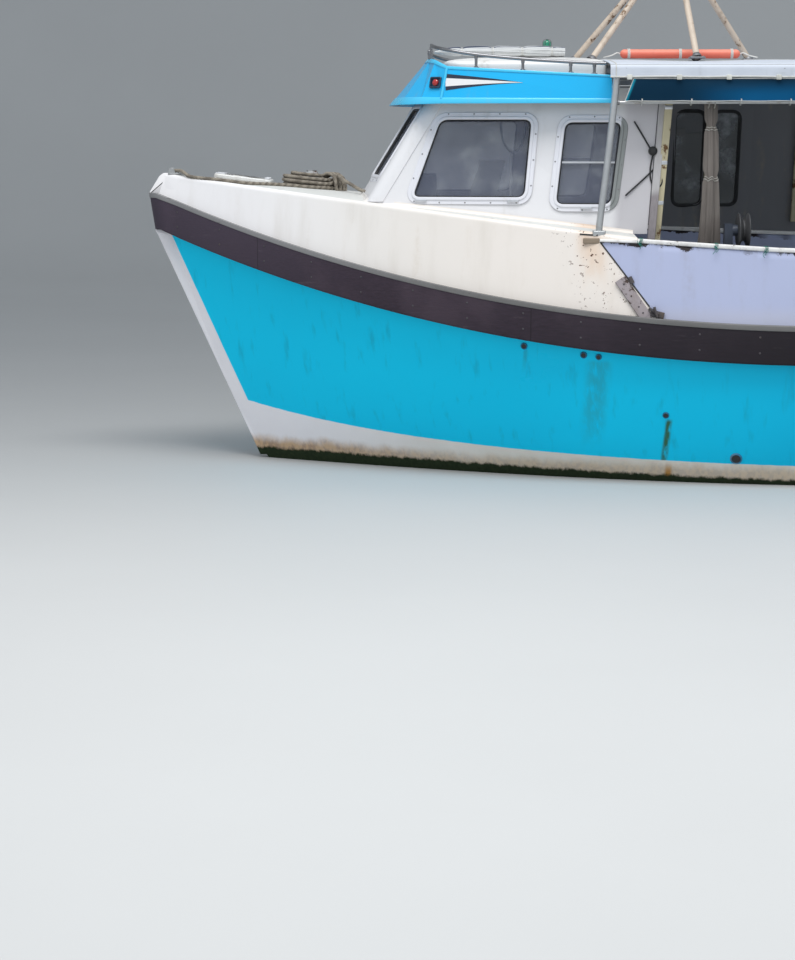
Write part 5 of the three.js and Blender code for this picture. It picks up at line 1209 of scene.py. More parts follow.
blockFinish = twoTone("blockWood", (0.28, 0.21, 0.15), 0.8, (0.13, 0.09, 0.06), (0.40, 0.32, 0.24), 6, 6, (1, 12, 12))
blockFinish.bump(blockFinish.drift, 0.4, 0.003)
addPiece("leg_block", woodBlock, blockFinish.material)
print("bulwark laid")

# Wheelhouse


def cabinPaint():
    # white gelcoat, with a painted warm shadow under the visor and painted shade on the wing abaft the side windows,
    # where the canopy shades it
    f = Finish("cabinGelcoat", (0.80, 0.79, 0.78), 0.33, Coat_Weight=0.2, Coat_Roughness=0.15)
    white = grimy(f, (0.80, 0.79, 0.80), dirt=(0.45, 0.42, 0.36), amount=0.4)
    # painted shadow: a warm shade band just under the visor
    white = f.mix(f.step(f.z, 2.23, 2.33) * 0.5, white, (0.55, 0.51, 0.44))
    # painted shade: the wing abaft the side windows is darkened where the canopy shades it
    f.set("Base Color", f.mix(f.step(f.x + f.z * 0.08, 1.44, 1.37) * 0.8, white, (0.52, 0.50, 0.52)))
    f.set("Roughness", f.noise(3.5, detail=4) * 0.22 + 0.23)
    f.bump(f.noise(7, detail=2) + f.noise(160, detail=2) * 0.12, 0.10, 0.004)
    return f.material


cabinWhite = cabinPaint()
insideWhite = gelcoat("insideLining", (0.60, 0.61, 0.60), 0.5, amount=0.5)
frameMetal = bareMetal("windowFrames", (0.74, 0.75, 0.77), 0.38, stain=0.25)
screwMetal = bareMetal("screws", (0.30, 0.30, 0.31), 0.45, stain=0.7)
gasket = rubberPlastic("gasket", (0.012, 0.012, 0.013))


def windowPaint():
    # white, with the aft panes' after side painted a dark green-grey as shade under the canopy
    f = Finish("framePaint", (0.78, 0.78, 0.82), 0.38, Coat_Weight=0.2, Coat_Roughness=0.15)
    white = grimy(f, (0.78, 0.78, 0.82), amount=0.5)
    # painted shade: the after side of the aft panes' frames turns dark green-grey, shaded by the canopy
    shadedAft = f.step(f.x + f.z * 0.13, 1.536, 1.524)
    f.set("Base Color", f.mix(shadedAft * 0.85, white, (0.17, 0.19, 0.175)))
    f.bump(f.noise(140, detail=2), 0.1, 0.001)
    return f.material


framePaint = windowPaint()
dress(cabinWhite, "wheelhouse_shell", "wheelhouse_bulkhead")

paneCorner = 0.055
sidePanes = [  # the four corners from the fore foot round by the top, where a bar crosses, where the drain tabs are
    {"corners": [[2.533, 1.745], [2.355, 2.232], [1.784, 2.232], [1.829, 1.745]], "bar": None, "tabs": (2.475, 1.905)},
    {"corners": [[1.646, 1.704], [1.587, 2.215], [1.235, 2.215], [1.300, 1.704]], "bar": 1.966, "tabs": (1.454,)},
]
frontPanes = [(-0.225, 0.225), (0.280, 0.610), (-0.610, -0.280)]
paneFoot, paneTop = 1.875, 2.300
rim = {"wide": 0.040, "bead": 0.014, "proud": 0.010, "flange": 0.0035, "screwEvery": 0.15, "screwsOut": 0.029}
rimProfile = np.array([[-0.005, -0.012], [-0.005, 0.006], [-0.001, rim["proud"]], [rim["bead"] - 0.003, rim["proud"]],
                       [rim["bead"], 0.007], [rim["bead"] + 0.002, rim["flange"]],
                       [rim["wide"] - 0.003, rim["flange"]], [rim["wide"], 0.0004]])
sealProfile = np.array([[-0.013, -0.0158], [-0.013, -0.004], [-0.009, 0.002], [-0.0045, 0.003], [-0.0035, -0.0158]])


def sideSpace(side):
    # a place on the wheelhouse's side from (x, z) and a height off its face
    def toSpace(x, z, h):
        # a point of the cabin's side at x and z, moved out by h and a little up with the wall's lean
        return x, side * (cabinSide(x, z) + h), z + h * 0.09
    return toSpace


def frontSpace(y, z, h):
    # a place on the windscreens' face from (y, z) and a height off it
    tilt = np.where(np.abs(y) > cabin["kinkY"], 0.15 * np.sign(y), 0)
    size = np.sqrt(1 + tilt**2 + cabin["frontRake"] ** 2)
    return cabinFront(y, z) + h / size, y + h * tilt / size, z + h * cabin["frontRake"] / size


def screwsRound(outline, toSpace):
    # heads at even steps round a frame, on its outer face
    ring = outline + outward(outline) * rim["screwsOut"]
    ring = np.concatenate([ring, ring[:1]])
    far = lengths(ring)
    wanted = np.linspace(0, far[-1], max(int(far[-1] / rim["screwEvery"]), 6), endpoint=False) + 0.04
    a, b = (np.interp(wanted % far[-1], far, ring[:, k]) for k in range(2))
    foot = np.stack(toSpace(a, b, np.full_like(a, rim["flange"] - 0.0002)), -1)
    top = np.stack(toSpace(a, b, np.full_like(a, rim["flange"] + 0.01)), -1)
    return domes(foot, top - foot, 0.0055, 0.0025, 6)


def glazingBar(corners, z, toSpace):
    # a flat bar across a window behind its glass; its ends follow the window's slanting sides
    (foreX, lowZ), (foreTopX, highZ), (aftTopX, _), (aftX, _) = corners
    aft, fore = (np.interp(z, [lowZ, highZ], pair) for pair in ((aftX, aftTopX), (foreX, foreTopX)))
    x = np.linspace(aft + 0.006, fore - 0.006, 5)
    low, high = z - 0.0055, z + 0.0055
    section = [[low, -0.0155], [low, -0.006], [high, -0.006], [high, -0.0155]]
    return capped(np.stack([np.stack(toSpace(x, np.full_like(x, up), np.full_like(x, out)), -1)
                            for up, out in section], 1))


def drainTab(x, foot, toSpace):
    # a small raised plate under a side window
    levels = [(0.002, 0), (rim["proud"] + 0.003, 0), (rim["proud"] + 0.005, 0.002)]
    return plate(roundedBox(x - 0.036, foot - 0.026, x + 0.036, foot - 0.012, 0.005, 3), levels, toSpace)


paneSets = [(roundedCorners(p["corners"], paneCorner, 8), sideSpace(side)) for p in sidePanes for side in (1, -1)]
paneSets += [(roundedBox(low, paneFoot, high, paneTop, 0.04, 8), frontSpace) for low, high in frontPanes]
frameBits = [rimmed(outline, rimProfile, toSpace) for outline, toSpace in paneSets]
sealBits = [rimmed(outline, sealProfile, toSpace) for outline, toSpace in paneSets]
screwBits = [screwsRound(outline, toSpace) for outline, toSpace in paneSets]
barBits = []
for pane in sidePanes:
    for side in (1, -1):
        if pane["bar"]:
            barBits.append(glazingBar(pane["corners"], pane["bar"], sideSpace(side)))
        barBits += [drainTab(x, pane["corners"][0][1], sideSpace(side)) for x in pane["tabs"]]
addPiece("window_frames", together(*frameBits), framePaint)
addPiece("window_bars", together(*barBits), frameMetal)
addPiece("window_seals", together(*sealBits), gasket)
addPiece("window_screws", together(*screwBits), screwMetal)


def paneGlass(name, tint, dark):
    # slightly dusty glass that shows the inside through it
    f = Finish(name, tint, 0.05, Specular_IOR_Level=0.6)
    dust = f.step(f.noise(5, detail=6), 0.45, 0.85)
    f.set("Base Color", f.mix(dust, tint, (0.50, 0.53, 0.55)))
    f.set("Alpha", dust * 0.12 + dark)
    f.set("Roughness", dust * 0.12 + 0.03)
    f.bump(f.noise(1.2, detail=1), 0.05, 0.01)
    return f.material


clearGlass = paneGlass("cabinGlass", (0.18, 0.20, 0.27), 0.36)
darkGlass = paneGlass("darkGlass", (0.02, 0.025, 0.03), 0.72)
dress(clearGlass, *[n for n in nodes if n.startswith(("side_window", "windscreen"))], "cabin_door_glass")
dress(darkGlass, "shelter_window_fore", "shelter_window_aft")

def cornerMoulding():
    # a raised band up each front corner, from the outer windscreen's frame round to 98 mm along the side
    z = np.linspace(1.72, 2.345, 14)[:, None]
    up = z - cabin["sillZ"]
    frontX = cabin["frontX"] - cabin["frontRake"] * up
    half = cabin["frontHalf"] - cabin["frontNarrow"] * up
    wingX = cabin["wingX"] - cabin["aftRake"] * up
    aftHalf = cabin["aftHalf"] - cabin["aftNarrow"] * up
    sideDir = np.concatenate([wingX - frontX, aftHalf - half], 1)
    sideDir /= np.linalg.norm(sideDir, axis=1, keepdims=True)
    kink = np.concatenate([frontX + cabin["bow"] - 0.006, np.full_like(z, cabin["kinkY"])], 1)
    corner = np.concatenate([frontX, half], 1)
    frontDir = kink - corner
    frontDir /= np.linalg.norm(frontDir, axis=1, keepdims=True)
    r = 0.070
    alongSide = np.array([0.098, 0.092])[None, :, None]
    alongFront = np.array([0.082, 0.088])[None, :, None]
    t = np.linspace(0, 1, 13)[None, :, None]
    before, after = corner + sideDir * r, corner + frontDir * r
    bend = before[:, None] * (1 - t) ** 2 + corner[:, None] * 2 * t * (1 - t) + after[:, None] * t**2
    line = np.concatenate([(corner[:, None] + sideDir[:, None] * alongSide), bend,
                           (corner[:, None] + frontDir[:, None] * alongFront)], 1)
    step = np.gradient(line, axis=1)
    normal = np.stack([step[..., 1], -step[..., 0]], -1)
    normal /= np.linalg.norm(normal, axis=2, keepdims=True)
    normal *= np.sign(normal[:, 5:6, 1:2])
    high = np.full(line.shape[1], 0.0065)
    high[[0, -1]] = 0.0008
    outer = line + normal * high[None, :, None]
    rows = np.concatenate([outer, np.broadcast_to(z[:, None], (*outer.shape[:2], 1))], 2)
    return thick(rows, 0.0005)


cornerBand = cornerMoulding()
addPiece("corner_mouldings", together(cornerBand, mirrored(cornerBand)), cabinWhite)


def deckHeight(x, y):
    # the foredeck's top at a place
    edge = topEdge(np.atleast_1d(sheerShare(x)))
    half = edge[:, 1] - np.minimum(mould["corner"], edge[:, 1] * 0.5)
    camber = topside["camber"] * np.minimum(edge[:, 1] / 0.9, 1)
    return edge[:, 2] + mould["proud"] + camber * (1 - np.clip(np.abs(y) / half, 0, 1) ** 2)


def cabinFillet():
    # a cove along the cabin's foot: down the port side, across the front and back along starboard
    x = np.linspace(1.168, 2.735, 60)
    y = cabinSide(x, edgeZ(x))
    z = deckHeight(x, y)
    y = cabinSide(x, z)
    frontY = np.linspace(0.70, 0, 30)
    frontX = cabinFront(frontY, 1.75)
    for _ in range(3):
        frontZ = deckHeight(frontX, frontY)
        frontX = cabinFront(frontY, frontZ)
    port = np.concatenate([np.stack([x, y, z], -1), np.stack([frontX, frontY, frontZ], -1)])
    path = np.concatenate([port, (port * [1, -1, 1])[-2::-1]])
    knots = np.concatenate([np.arange(0, 58, 6), np.arange(60, 119, 5), np.arange(121, len(path), 6)])
    path = curveThrough(path[knots], 8)
    forward = tangents(path)
    out = np.stack([forward[:, 1], -forward[:, 0], np.zeros(len(path))], -1)
    out /= np.linalg.norm(out, axis=1, keepdims=True)
    out *= np.sign(out[:1, 1:2])
    a = np.radians(np.linspace(0, 90, 6))
    r = 0.022
    section = [[r * (1 - math.sin(t)), r * (1 - math.cos(t)) - 0.0005] for t in a]
    section = np.array(section + [[-0.003, r], [-0.003, -0.004], [r, -0.004]])
    return capped(path[:, None] + out[:, None] * section[None, :, :1]
                  + np.array([0, 0, 1.0]) * section[None, :, 1:])


addPiece("cabin_fillet", cabinFillet(), topsideFinish, sharp=60)

# Black cable and its knob on the wing panel
cable = {"radius": 0.0050, "knob": (1.056, 2.034), "runs": [
    [(1.164, 2.215), (1.110, 2.125), (1.066, 2.050), (1.054, 2.034)],
    [(1.052, 2.010), (1.066, 1.922), (1.060, 1.850), (1.030, 1.810), (0.996, 1.836), (1.004, 1.920), (1.034, 2.000)],
    [(1.026, 1.945), (1.090, 1.880), (1.160, 1.815), (1.216, 1.763)],
]}
cableBits = []
for run in cable["runs"]:
    flat = curveThrough([(x, 0, z) for x, z in run], 6)
    flat[:, 1] = cabinSide(flat[:, 0], flat[:, 2]) + cable["radius"] + 0.0005
    flat[:, 1] = np.where(flat[:, 0] < 1.05, cabinSide(1.05, flat[:, 2]) + cable["radius"] + 0.002, flat[:, 1])
    cableBits.append(tube(flat, cable["radius"], 8))
knobX, knobZ = cable["knob"]
cableBits.append(lathe([[0, 0.022], [0.014, 0.029], [0.030, 0.027], [0.042, 0.014], [0.043, 0.001]],
                       (knobX - 0.004, float(cabinSide(knobX, knobZ)), knobZ), (0, 1, 0.09), 20))
addPiece("wing_cable", together(*cableBits), blackRubber)

# A plank laps the wing's after edge from the roof to the side deck
wingPlank = plate(roundedCorners([[1.036, 1.496], [1.082, 1.496], [1.014, 2.330], [0.968, 2.330]], 0.004, 3),
                  [(0.0005, 0), (0.016, 0), (0.019, 0.003)], sideSpace(1))


def plankPaint():
    # paint above, bare grain below
    f = Finish("wingPlank", (0.50, 0.48, 0.48), 0.6)
    bare = f.step(f.noise(3, stretch=(2, 2, 0.5), detail=5) * 0.10 + f.z, 1.86, 1.80)
    paint = f.mix(f.noise(20, stretch=(3, 3, 0.6), detail=5), (0.40, 0.38, 0.38), (0.56, 0.55, 0.55))
    grain = f.noise(60, stretch=(3, 3, 0.3), detail=5)
    f.set("Base Color", f.mix(bare, paint, f.mix(grain, (0.17, 0.15, 0.155), (0.34, 0.31, 0.32))))
    f.bump(grain, 0.4, 0.003)
    return f.material


addPiece("wing_plank", wingPlank, plankPaint())
print("wheelhouse fitted")

# Visor band: a moulded lip, a small recessed side lamp and a plain tapered flash

visor = {"footZ": 2.335, "aftX": 1.310, "cornerX": 2.355, "noseX": 2.655, "aftHalf": 1.000, "cornerHalf": 0.925,
         "band": 0.045, "topAftZ": 2.494, "topCornerZ": 2.550, "topNoseZ": 2.606, "topNoseX": 2.425, "narrow": 0.025}


def visorRing(inset, atTop):
    # the port half of the visor's outline at its foot or its top, from aft to the nose
    narrow = visor["narrow"] if atTop else 0
    noseX = visor["topNoseX"] if atTop else visor["noseX"]
    cornerX = visor["cornerX"]
    plan = np.array([
        [visor["aftX"], visor["aftHalf"] - narrow - inset],
        [cornerX - (0.04 if atTop else 0), visor["cornerHalf"] - narrow - inset],
        [cornerX + (noseX - cornerX) * 0.42 - inset * 0.5, visor["cornerHalf"] - 0.09 - narrow - inset],
        [cornerX + (noseX - cornerX) * 0.8 - inset, visor["cornerHalf"] - 0.33 - narrow],
        [noseX - inset, 0.22],
    ])
    if not atTop:
        return np.column_stack([plan, np.full(5, visor["footZ"])])
    t = (plan[:, 0] - visor["aftX"]) / (cornerX - visor["aftX"])
    nose = np.maximum(plan[:, 0] - cornerX + 0.04, 0) / 0.11
    z = visor["topAftZ"] + (visor["topCornerZ"] - visor["topAftZ"]) * t + (
        visor["topNoseZ"] - visor["topCornerZ"]) * np.minimum(nose, 1)
    return np.column_stack([plan, z])


def fullRing(half):
    # a port half with its mirror image, from aft round the nose and back
    return np.concatenate([half, (half * [1, -1, 1])[::-1]])


visorBlue = gelcoat("visorPaint", (0.010, 0.45, 0.84), 0.3, amount=0.2, Specular_IOR_Level=0.3)
# a paler copy of the visor's blue: painted highlight on the lips and the corner ribs
lipHighlightBlue = gelcoat("visorLip", (0.06, 0.56, 0.88), 0.28, amount=0.15, Specular_IOR_Level=0.4)
dress(visorBlue, "visor_band")


def alongBand(share, out=0.0):
    # a line on the band's outer face at a share of its height, over both sides and the nose
    foot, top = fullRing(visorRing(0, False)), fullRing(visorRing(0, True))
    line = foot * (1 - share) + top * share
    step = np.gradient(line, axis=0)
    normal = np.stack([step[:, 1], -step[:, 0], np.zeros(len(line))], -1)
    normal /= np.linalg.norm(normal, axis=1, keepdims=True)
    normal *= np.where(normal[:1, 1:2] < 0, -1, 1)
    return line + normal * out


def strip(lowShare, highShare, proud):
    # a raised strip along the band between two shares of its height
    profile = [(lowShare, 0.0005), (lowShare, proud * 0.7), (lowShare + 0.02, proud), (highShare - 0.02, proud),
               (highShare, proud * 0.6), (highShare, 0.0005)]
    return capped(np.stack([alongBand(share, out) for share, out in profile], 1))


def cornerRibs():
    # a round rib up each corner of the band, from the lip at its foot to the lip at its top
    low, high = (alongBand(share, 0.0005) for share in (0.09, 0.96))
    return [bar(low[i], high[i], 6, 0.0085, 10) for i in (1, -2)]


lips = [strip(-0.055, 0.12, 0.007), strip(0.93, 1.015, 0.005)]
addPiece("visor_lips", together(*lips, *cornerRibs()), lipHighlightBlue)

flash = {"fore": 2.325, "aft": 1.850, "middle": 2.448, "tall": 0.056}


def bandSpace(x, z, h):
    # a place on the band's port side
    foot, top = visorRing(0, False), visorRing(0, True)
    footY = np.interp(x, foot[:2, 0], foot[:2, 1])
    topY = np.interp(x, top[:2, 0], top[:2, 1])
    topZ = np.interp(x, top[:2, 0], top[:2, 2])
    t = (z - visor["footZ"]) / (topZ - visor["footZ"])
    return x, footY * (1 - t) + topY * t + h, z


def flashShape(side, shift, share, lift):
    # a blade that is square at its fore end and tapers to a point aft
    fore, aft, tall = flash["fore"], flash["aft"], flash["tall"] * share
    t = np.linspace(0, 1, 26)
    x = fore + (aft - fore) * t
    high = flash["middle"] + shift + tall * (1 - t) ** 0.8
    low = flash["middle"] + shift - tall * 0.8 * (1 - t) ** 1.6
    outline = np.concatenate([np.stack([x, high], -1), np.stack([x, low], -1)[-2::-1]])
    shape = plate(outline, [(0.0006, 0), (lift, 0)], bandSpace)
    return shape if side > 0 else mirrored(shape)


flashDark = gelcoat("flashDark", (0.012, 0.020, 0.045), 0.35, amount=0.1)
flashWhite = gelcoat("flashWhite", (0.80, 0.80, 0.80), 0.35, amount=0.1)
addPiece("flash_dark", together(*[flashShape(s, 0, 1, 0.0016) for s in (1, -1)]), flashDark)
addPiece("flash_white", together(*[flashShape(s, 0.002, 0.50, 0.0022) for s in (1, -1)]), flashWhite)

lampWell = rubberPlastic("sideLampWell", (0.010, 0.035, 0.070), 0.4)
redLens = twoTone("redLens", (0.35, 0.010, 0.010), 0.12, (0.30, 0.008, 0.010), (0.46, 0.02, 0.016), 30,
                  Coat_Weight=0.6)
greenLens = twoTone("greenLens", (0.01, 0.22, 0.12), 0.12, (0.006, 0.16, 0.09), (0.015, 0.30, 0.17), 30,
                    Coat_Weight=0.6)
foot, top = visorRing(0, False), visorRing(0, True)
sideLampAt = foot[1:3].mean(0) * 0.5 + top[1:3].mean(0) * 0.5
edgeStep = foot[2] - foot[1]
lampOut = np.array([abs(edgeStep[1]), abs(edgeStep[0]), 0.22 * np.linalg.norm(edgeStep[:2])])
lampOut /= np.linalg.norm(lampOut)
lampBox = roundedBox(-0.037, -0.031, 0.037, 0.031, 0.006, 4)
lampRim = np.array([[-0.006, -0.006], [-0.006, 0.010], [0.0, 0.012], [0.004, 0.009], [0.004, -0.006]])
lensProfile = [[0.0015, 0.021], [0.010, 0.020], [0.015, 0.014], [0.017, 0.002]]


def lampSpace(at, aft, up, out):
    # a place in a side lamp's box from its centre and three directions
    return lambda a, b, h: tuple(at[k] + aft[k] * a + up[k] * b + out[k] * h for k in range(3))


for side, lens, name in ((1, redLens, "port"), (-1, greenLens, "starboard")):
    at, axis = sideLampAt * [1, side, 1], lampOut * [1, side, 1]
    aft = np.array([lampOut[1], -lampOut[0], 0]) / math.hypot(lampOut[0], lampOut[1]) * [1, side, 1]
    inBox = lampSpace(at, aft, np.cross(aft, axis) * side, axis)
    case = together(plate(lampBox * 0.98, [(-0.006, 0), (0.002, 0)], inBox), rimmed(lampBox, lampRim, inBox))
    addPiece("side_lamp_well_" + name, case, lampWell)
    addPiece("side_lamp_lens_" + name, lathe(lensProfile, at, axis, 20), lens.material)

# Roof: a slab inside the visor and a soft crown over it

roof = {"slabZ": (2.4203, 2.440, 2.480), "middleX": 1.8,
        "crown": [(0.95, 2.484), (0.95, 2.550), (0.942, 2.572), (0.92, 2.585), (0.86, 2.595), (0.72, 2.607),
                  (0.50, 2.617), (0.25, 2.6215), (0.02, 2.622)]}  # the outline's scale and the height


def roofBody():
    # the slab's rings follow the visor's inner face; the crown's are one outline that shrinks to the middle
    foot, top = (fullRing(visorRing(visor["band"] + 0.0003, atTop)) for atTop in (False, True))
    rings = []
    for z in roof["slabZ"]:
        t = (z - foot[:, 2]) / (top[:, 2] - foot[:, 2])
        ring = roundedCorners((foot + (top - foot) * t[:, None])[:, :2], 0.02, 4)
        rings.append(np.column_stack([ring, np.full(len(ring), z)]))
    outline = roundedCorners(top[:, :2], 0.05, 4)
    middle = [roof["middleX"], 0]
    for scale, _, z in curveThrough([(scale, 0, z) for scale, z in roof["crown"]], 4):
        rings.append(np.column_stack([middle + (outline - middle) * scale, np.full(len(outline), z)]))
    return capped(np.stack(rings))


roofFinish = gelcoat("roofGelcoat", (0.74, 0.735, 0.72), 0.45, amount=0.75)
addPiece("roof_crown", roofBody(), roofFinish, replaces="wheelhouse_roof", sharp=50)
print("visor and roof done")

# Shelter abaft the wheelhouse: tubes, sheet, fascia, post and wall

shelter = {"tube": 0.021, "foreX": 1.300, "aftX": -0.830, "half": 1.128, "topZ": 2.530, "crown": 0.052,
           "legFootX": 1.395, "legFootHalf": 1.180, "lowerRailZ": 2.328, "sheetThick": 0.012, "skirt": 2.477,
           "sheetForeX": 1.335, "sheetAftX": -0.880, "aftLegHalf": 1.330, "clampEvery": 0.30}
tubeSteel = bareMetal("shelterTube", (0.60, 0.61, 0.61), 0.38, stain=0.55)


def hoop(x):
    # a tube over the boat at x, arched between the top rails
    half, top, crown = shelter["half"], shelter["topZ"], shelter["crown"]
    knots = [(x, -half, top), (x, -half * 0.5, top + crown * 0.75), (x, 0, top + crown),
             (x, half * 0.5, top + crown * 0.75), (x, half, top)]
    return tube(curveThrough(knots, 10), shelter["tube"] - 0.002, 14)


def shelterTubes():
    # the hoops, the rails, the fore leg to the side deck and the aft legs to the bulwark's rail
    s = shelter
    half, topZ, foreX, aftX = s["half"], s["topZ"], s["foreX"], s["aftX"]
    bits = [hoop(foreX - 0.025), hoop((foreX + aftX) / 2), hoop(aftX + 0.025)]
    footZ = edgeZ(s["legFootX"])
    leg = [(s["legFootX"], s["legFootHalf"], footZ + 0.010), (s["legFootX"] - 0.004, s["legFootHalf"], footZ + 0.06),
           (s["legFootX"] - 0.040, s["legFootHalf"] - 0.012, 1.900), (s["legFootX"] - 0.092, half + 0.006, 2.380),
           (foreX - 0.006, half, topZ - 0.060), (foreX - 0.030, half, topZ)]
    bits.append(tube(curveThrough(leg, 10), s["tube"], 18))
    bits.append(soften([s["legFootX"] - 0.040, s["legFootHalf"] - 0.034, footZ - 0.016],
                       [s["legFootX"] + 0.040, s["legFootHalf"] + 0.034, footZ + 0.016], 0.003, 0.012))
    x = aftX + 0.040
    aftFoot = float(bulwarkTop(x)) + bulwark["railTall"] + 0.0006
    for side in (1, -1):
        railY, legY = side * half, side * s["aftLegHalf"]
        bits.append(bar([foreX + 0.012, railY, topZ], [aftX - 0.012, railY, topZ], 12, s["tube"], 18))
        knots = [(x, legY, aftFoot + 0.002), (x, side * (half + 0.09), 1.950), (x, railY, 2.330), (x, railY, topZ)]
        bits.append(tube(curveThrough(knots, 12), s["tube"], 18))
        bits.append(soften([x - 0.040, legY - 0.028, aftFoot], [x + 0.040, legY + 0.028, aftFoot + 0.010], 0.002, 0.01))
    bits.append(bar([foreX, half, s["lowerRailZ"]], [x, half, s["lowerRailZ"]], 10, 0.010, 14))
    return bits


def clamps():
    # split collars where the rails and the hoops meet, each with a bolt
    s = shelter
    places = [((s["foreX"] - 0.008, s["half"], s["lowerRailZ"]), 0.0155)]
    for side in (1, -1):
        for x in (s["foreX"] - 0.060, (s["foreX"] + s["aftX"]) / 2 + 0.05, s["aftX"] + 0.07):
            places.append(((x, side * s["half"], s["topZ"]), 0.0255))
    collars = [lathe(bothEnds([[0.015, radius], [0.017, radius - 0.005]]), at, (1, 0, 0), 18) for at, radius in places]
    outboard = [[0, np.sign(at[1]), 0] for at, _ in places]
    heads = [np.array(at) + [0, way * radius * 0.98, 0] for (at, radius), (_, way, _) in zip(places, outboard)]
    return together(*collars, domes(heads, outboard, 0.006, 0.005, 6))


addPiece("shelter_tubes", together(*shelterTubes()), tubeSteel, replaces="shelter_frame", sharp=50)
addPiece("shelter_collars", clamps(), screwMetal)


def sheetSection(offset, bend=0.030):
    # across the boat: up one skirt, round the edge's bend, over the crown and down the other side
    s = shelter
    edge = s["half"] + s["tube"] + 0.004 + offset
    crownY = np.linspace(1, -1, 41) * (edge - bend)
    under = s["topZ"] + s["tube"] + 0.004 + offset
    crownZ = under + s["crown"] * (1 - (crownY / s["half"]) ** 2)
    turn = np.radians(np.linspace(0, 78, 7))
    cornerZ = crownZ[0] - bend
    bendY = edge - bend + bend * np.cos(turn)
    bendZ = cornerZ + bend * np.sin(turn)
    skirtZ = np.linspace(s["skirt"], cornerZ, 5)[:-1]
    y = np.concatenate([np.full(4, edge), bendY, crownY[1:-1], -bendY[::-1], np.full(4, -edge)])
    z = np.concatenate([skirtZ, bendZ, crownZ[1:-1], bendZ[::-1], skirtZ[::-1]])
    return y, z


def canopy():
    # one sheet from end to end; it dips a little between the hoops and ripples along its skirts
    s = shelter
    x = np.linspace(s["sheetForeX"], s["sheetAftX"], 130)[:, None]
    y, z = (np.broadcast_to(a[None], (130, len(a))).copy() for a in sheetSection(0.005))
    span = (s["foreX"] - s["aftX"]) / 2 - 0.025
    phase = (s["foreX"] - 0.025 - x) / span
    inside = (phase > 0) & (phase < 2)
    dip = np.where(inside, np.sin(np.clip(phase, 0, 2) % 1 * math.pi) ** 2, 0)
    middle = np.clip(1 - (y / s["half"]) ** 2, 0, 1)
    z -= dip * middle * 0.011
    low = np.clip((s["skirt"] + 0.06 - z) / 0.06, 0, 1)
    y += np.sign(y) * low * (0.0025 * np.sin(x * 21) + 0.0015 * np.sin(x * 47 + y * 3)) * 0.8
    z += low * 0.0015 * np.sin(x * 13 + 1)
    return np.stack(np.broadcast_arrays(x, y, z), -1)


canopyNet = canopy()
canopyShape = thick(canopyNet, 0.0035)
far = lengths(canopyNet[60])


def canopyCloth():
    # pale coated cloth, greyed by mildew
    f = Finish("canopyCloth", (0.70, 0.71, 0.71), 0.6)
    cloth = grimy(f, (0.57, 0.61, 0.68), dirt=(0.29, 0.31, 0.33), amount=0.5)
    mildew = f.step(f.noise(4, stretch=(1, 1, 3), detail=7, rough=0.7), 0.55, 0.78)
    weave = f.wave(900, direction="X") * 0.5 + f.wave(900, direction="Y") * 0.5
    f.set("Base Color", f.mix(mildew * 0.45, cloth, (0.30, 0.33, 0.30)))
    f.set("Roughness", f.noise(9) * 0.2 + 0.45)
    f.bump(weave * 0.15 + f.noise(3, detail=3), 0.3, 0.003)
    return f.material


canopyFinish = canopyCloth()
canopyPiece = addPiece("canopy_cover", canopyShape, canopyFinish, replaces="canopy_sheet", sharp=60)

# The sheet's hem: a welt along each skirt with the pale clips that hold it, and a stitched line
hemBits, clipBits = [], []
for side, column in ((1, 0), (-1, -1)):
    line = canopyNet[::3, column] + [0, side * 0.0015, 0.004]
    hemBits.append(tube(line, 0.0052, 8))
for column in (8, 22, 36, -9):
    hemBits.append(tube(canopyNet[::3, column] + [0, 0, 0.0012], 0.0016, 5))
for i in (2, 127):
    hemBits.append(tube(canopyNet[i] + [0, 0, 0.001], 0.004, 7))
clipX = np.arange(shelter["foreX"] - 0.08, shelter["aftX"], -shelter["clampEvery"])
for x in clipX:
    for side in (1, -1):
        y = side * (shelter["half"] + shelter["tube"] + 0.012)
        low, high = sorted((y - side * 0.004, y + side * 0.012))
        clipBits.append(soften([x - 0.016, low, shelter["skirt"] - 0.014], [x + 0.016, high, shelter["skirt"] + 0.016],
                               0.003, 0.005, axis=1))
hemFinish = twoTone("hemWebbing", (0.60, 0.60, 0.57), 0.8, (0.42, 0.42, 0.40), (0.68, 0.68, 0.65), 40)
hemFinish.bump(hemFinish.wave(700), 0.3, 0.001)
addPiece("canopy_hem", together(*hemBits), hemFinish.material, sharp=80)
clipFinish = rubberPlastic("skirtClips", (0.50, 0.50, 0.46), 0.5)
addPiece("canopy_clips", together(*clipBits), clipFinish)


furled = {"x": 0.716, "inboard": 0.052, "topZ": 2.322, "long": 0.850, "tiedAt": (0.16, 0.52), "cord": 0.003}


def furledCurtain():
    # the side curtain hangs gathered from the lower rail; each ring's wide side stands along the boat
    rows, cols = 60, 72
    t = np.linspace(0, 1, rows)[:, None]
    a = fullTurn(cols)[None]
    upper, lower = (np.exp(-((t - tied) / 0.03) ** 2) for tied in furled["tiedAt"])
    wide = 0.034 + 0.028 * t**1.3 - 0.014 * upper - 0.012 * lower
    deep = 0.026 + 0.008 * t
    fold = 1 + 0.14 * np.sin(a * 5 + t * 1.5) + 0.09 * np.sin(a * 9 - t * 3) + 0.04 * np.sin(a * 17 + t * 7)
    x = furled["x"] - 0.012 * np.sin(t * 2.6) + wide * fold * np.cos(a)
    y = shelter["half"] - furled["inboard"] + deep * fold * np.sin(a)
    z = furled["topZ"] - furled["long"] * t + 0.012 * t * np.sin(a * 5)
    points = np.stack(np.broadcast_arrays(x, y, z), -1)
    ends = [np.arange(cols)[None, ::-1], (rows - 1) * cols + np.arange(cols)[None]]
    return (points.reshape(-1, 3), [net(rows, cols, loopCols=True)[:, ::-1], *ends], None), points


curtainShape, curtainPoints = furledCurtain()


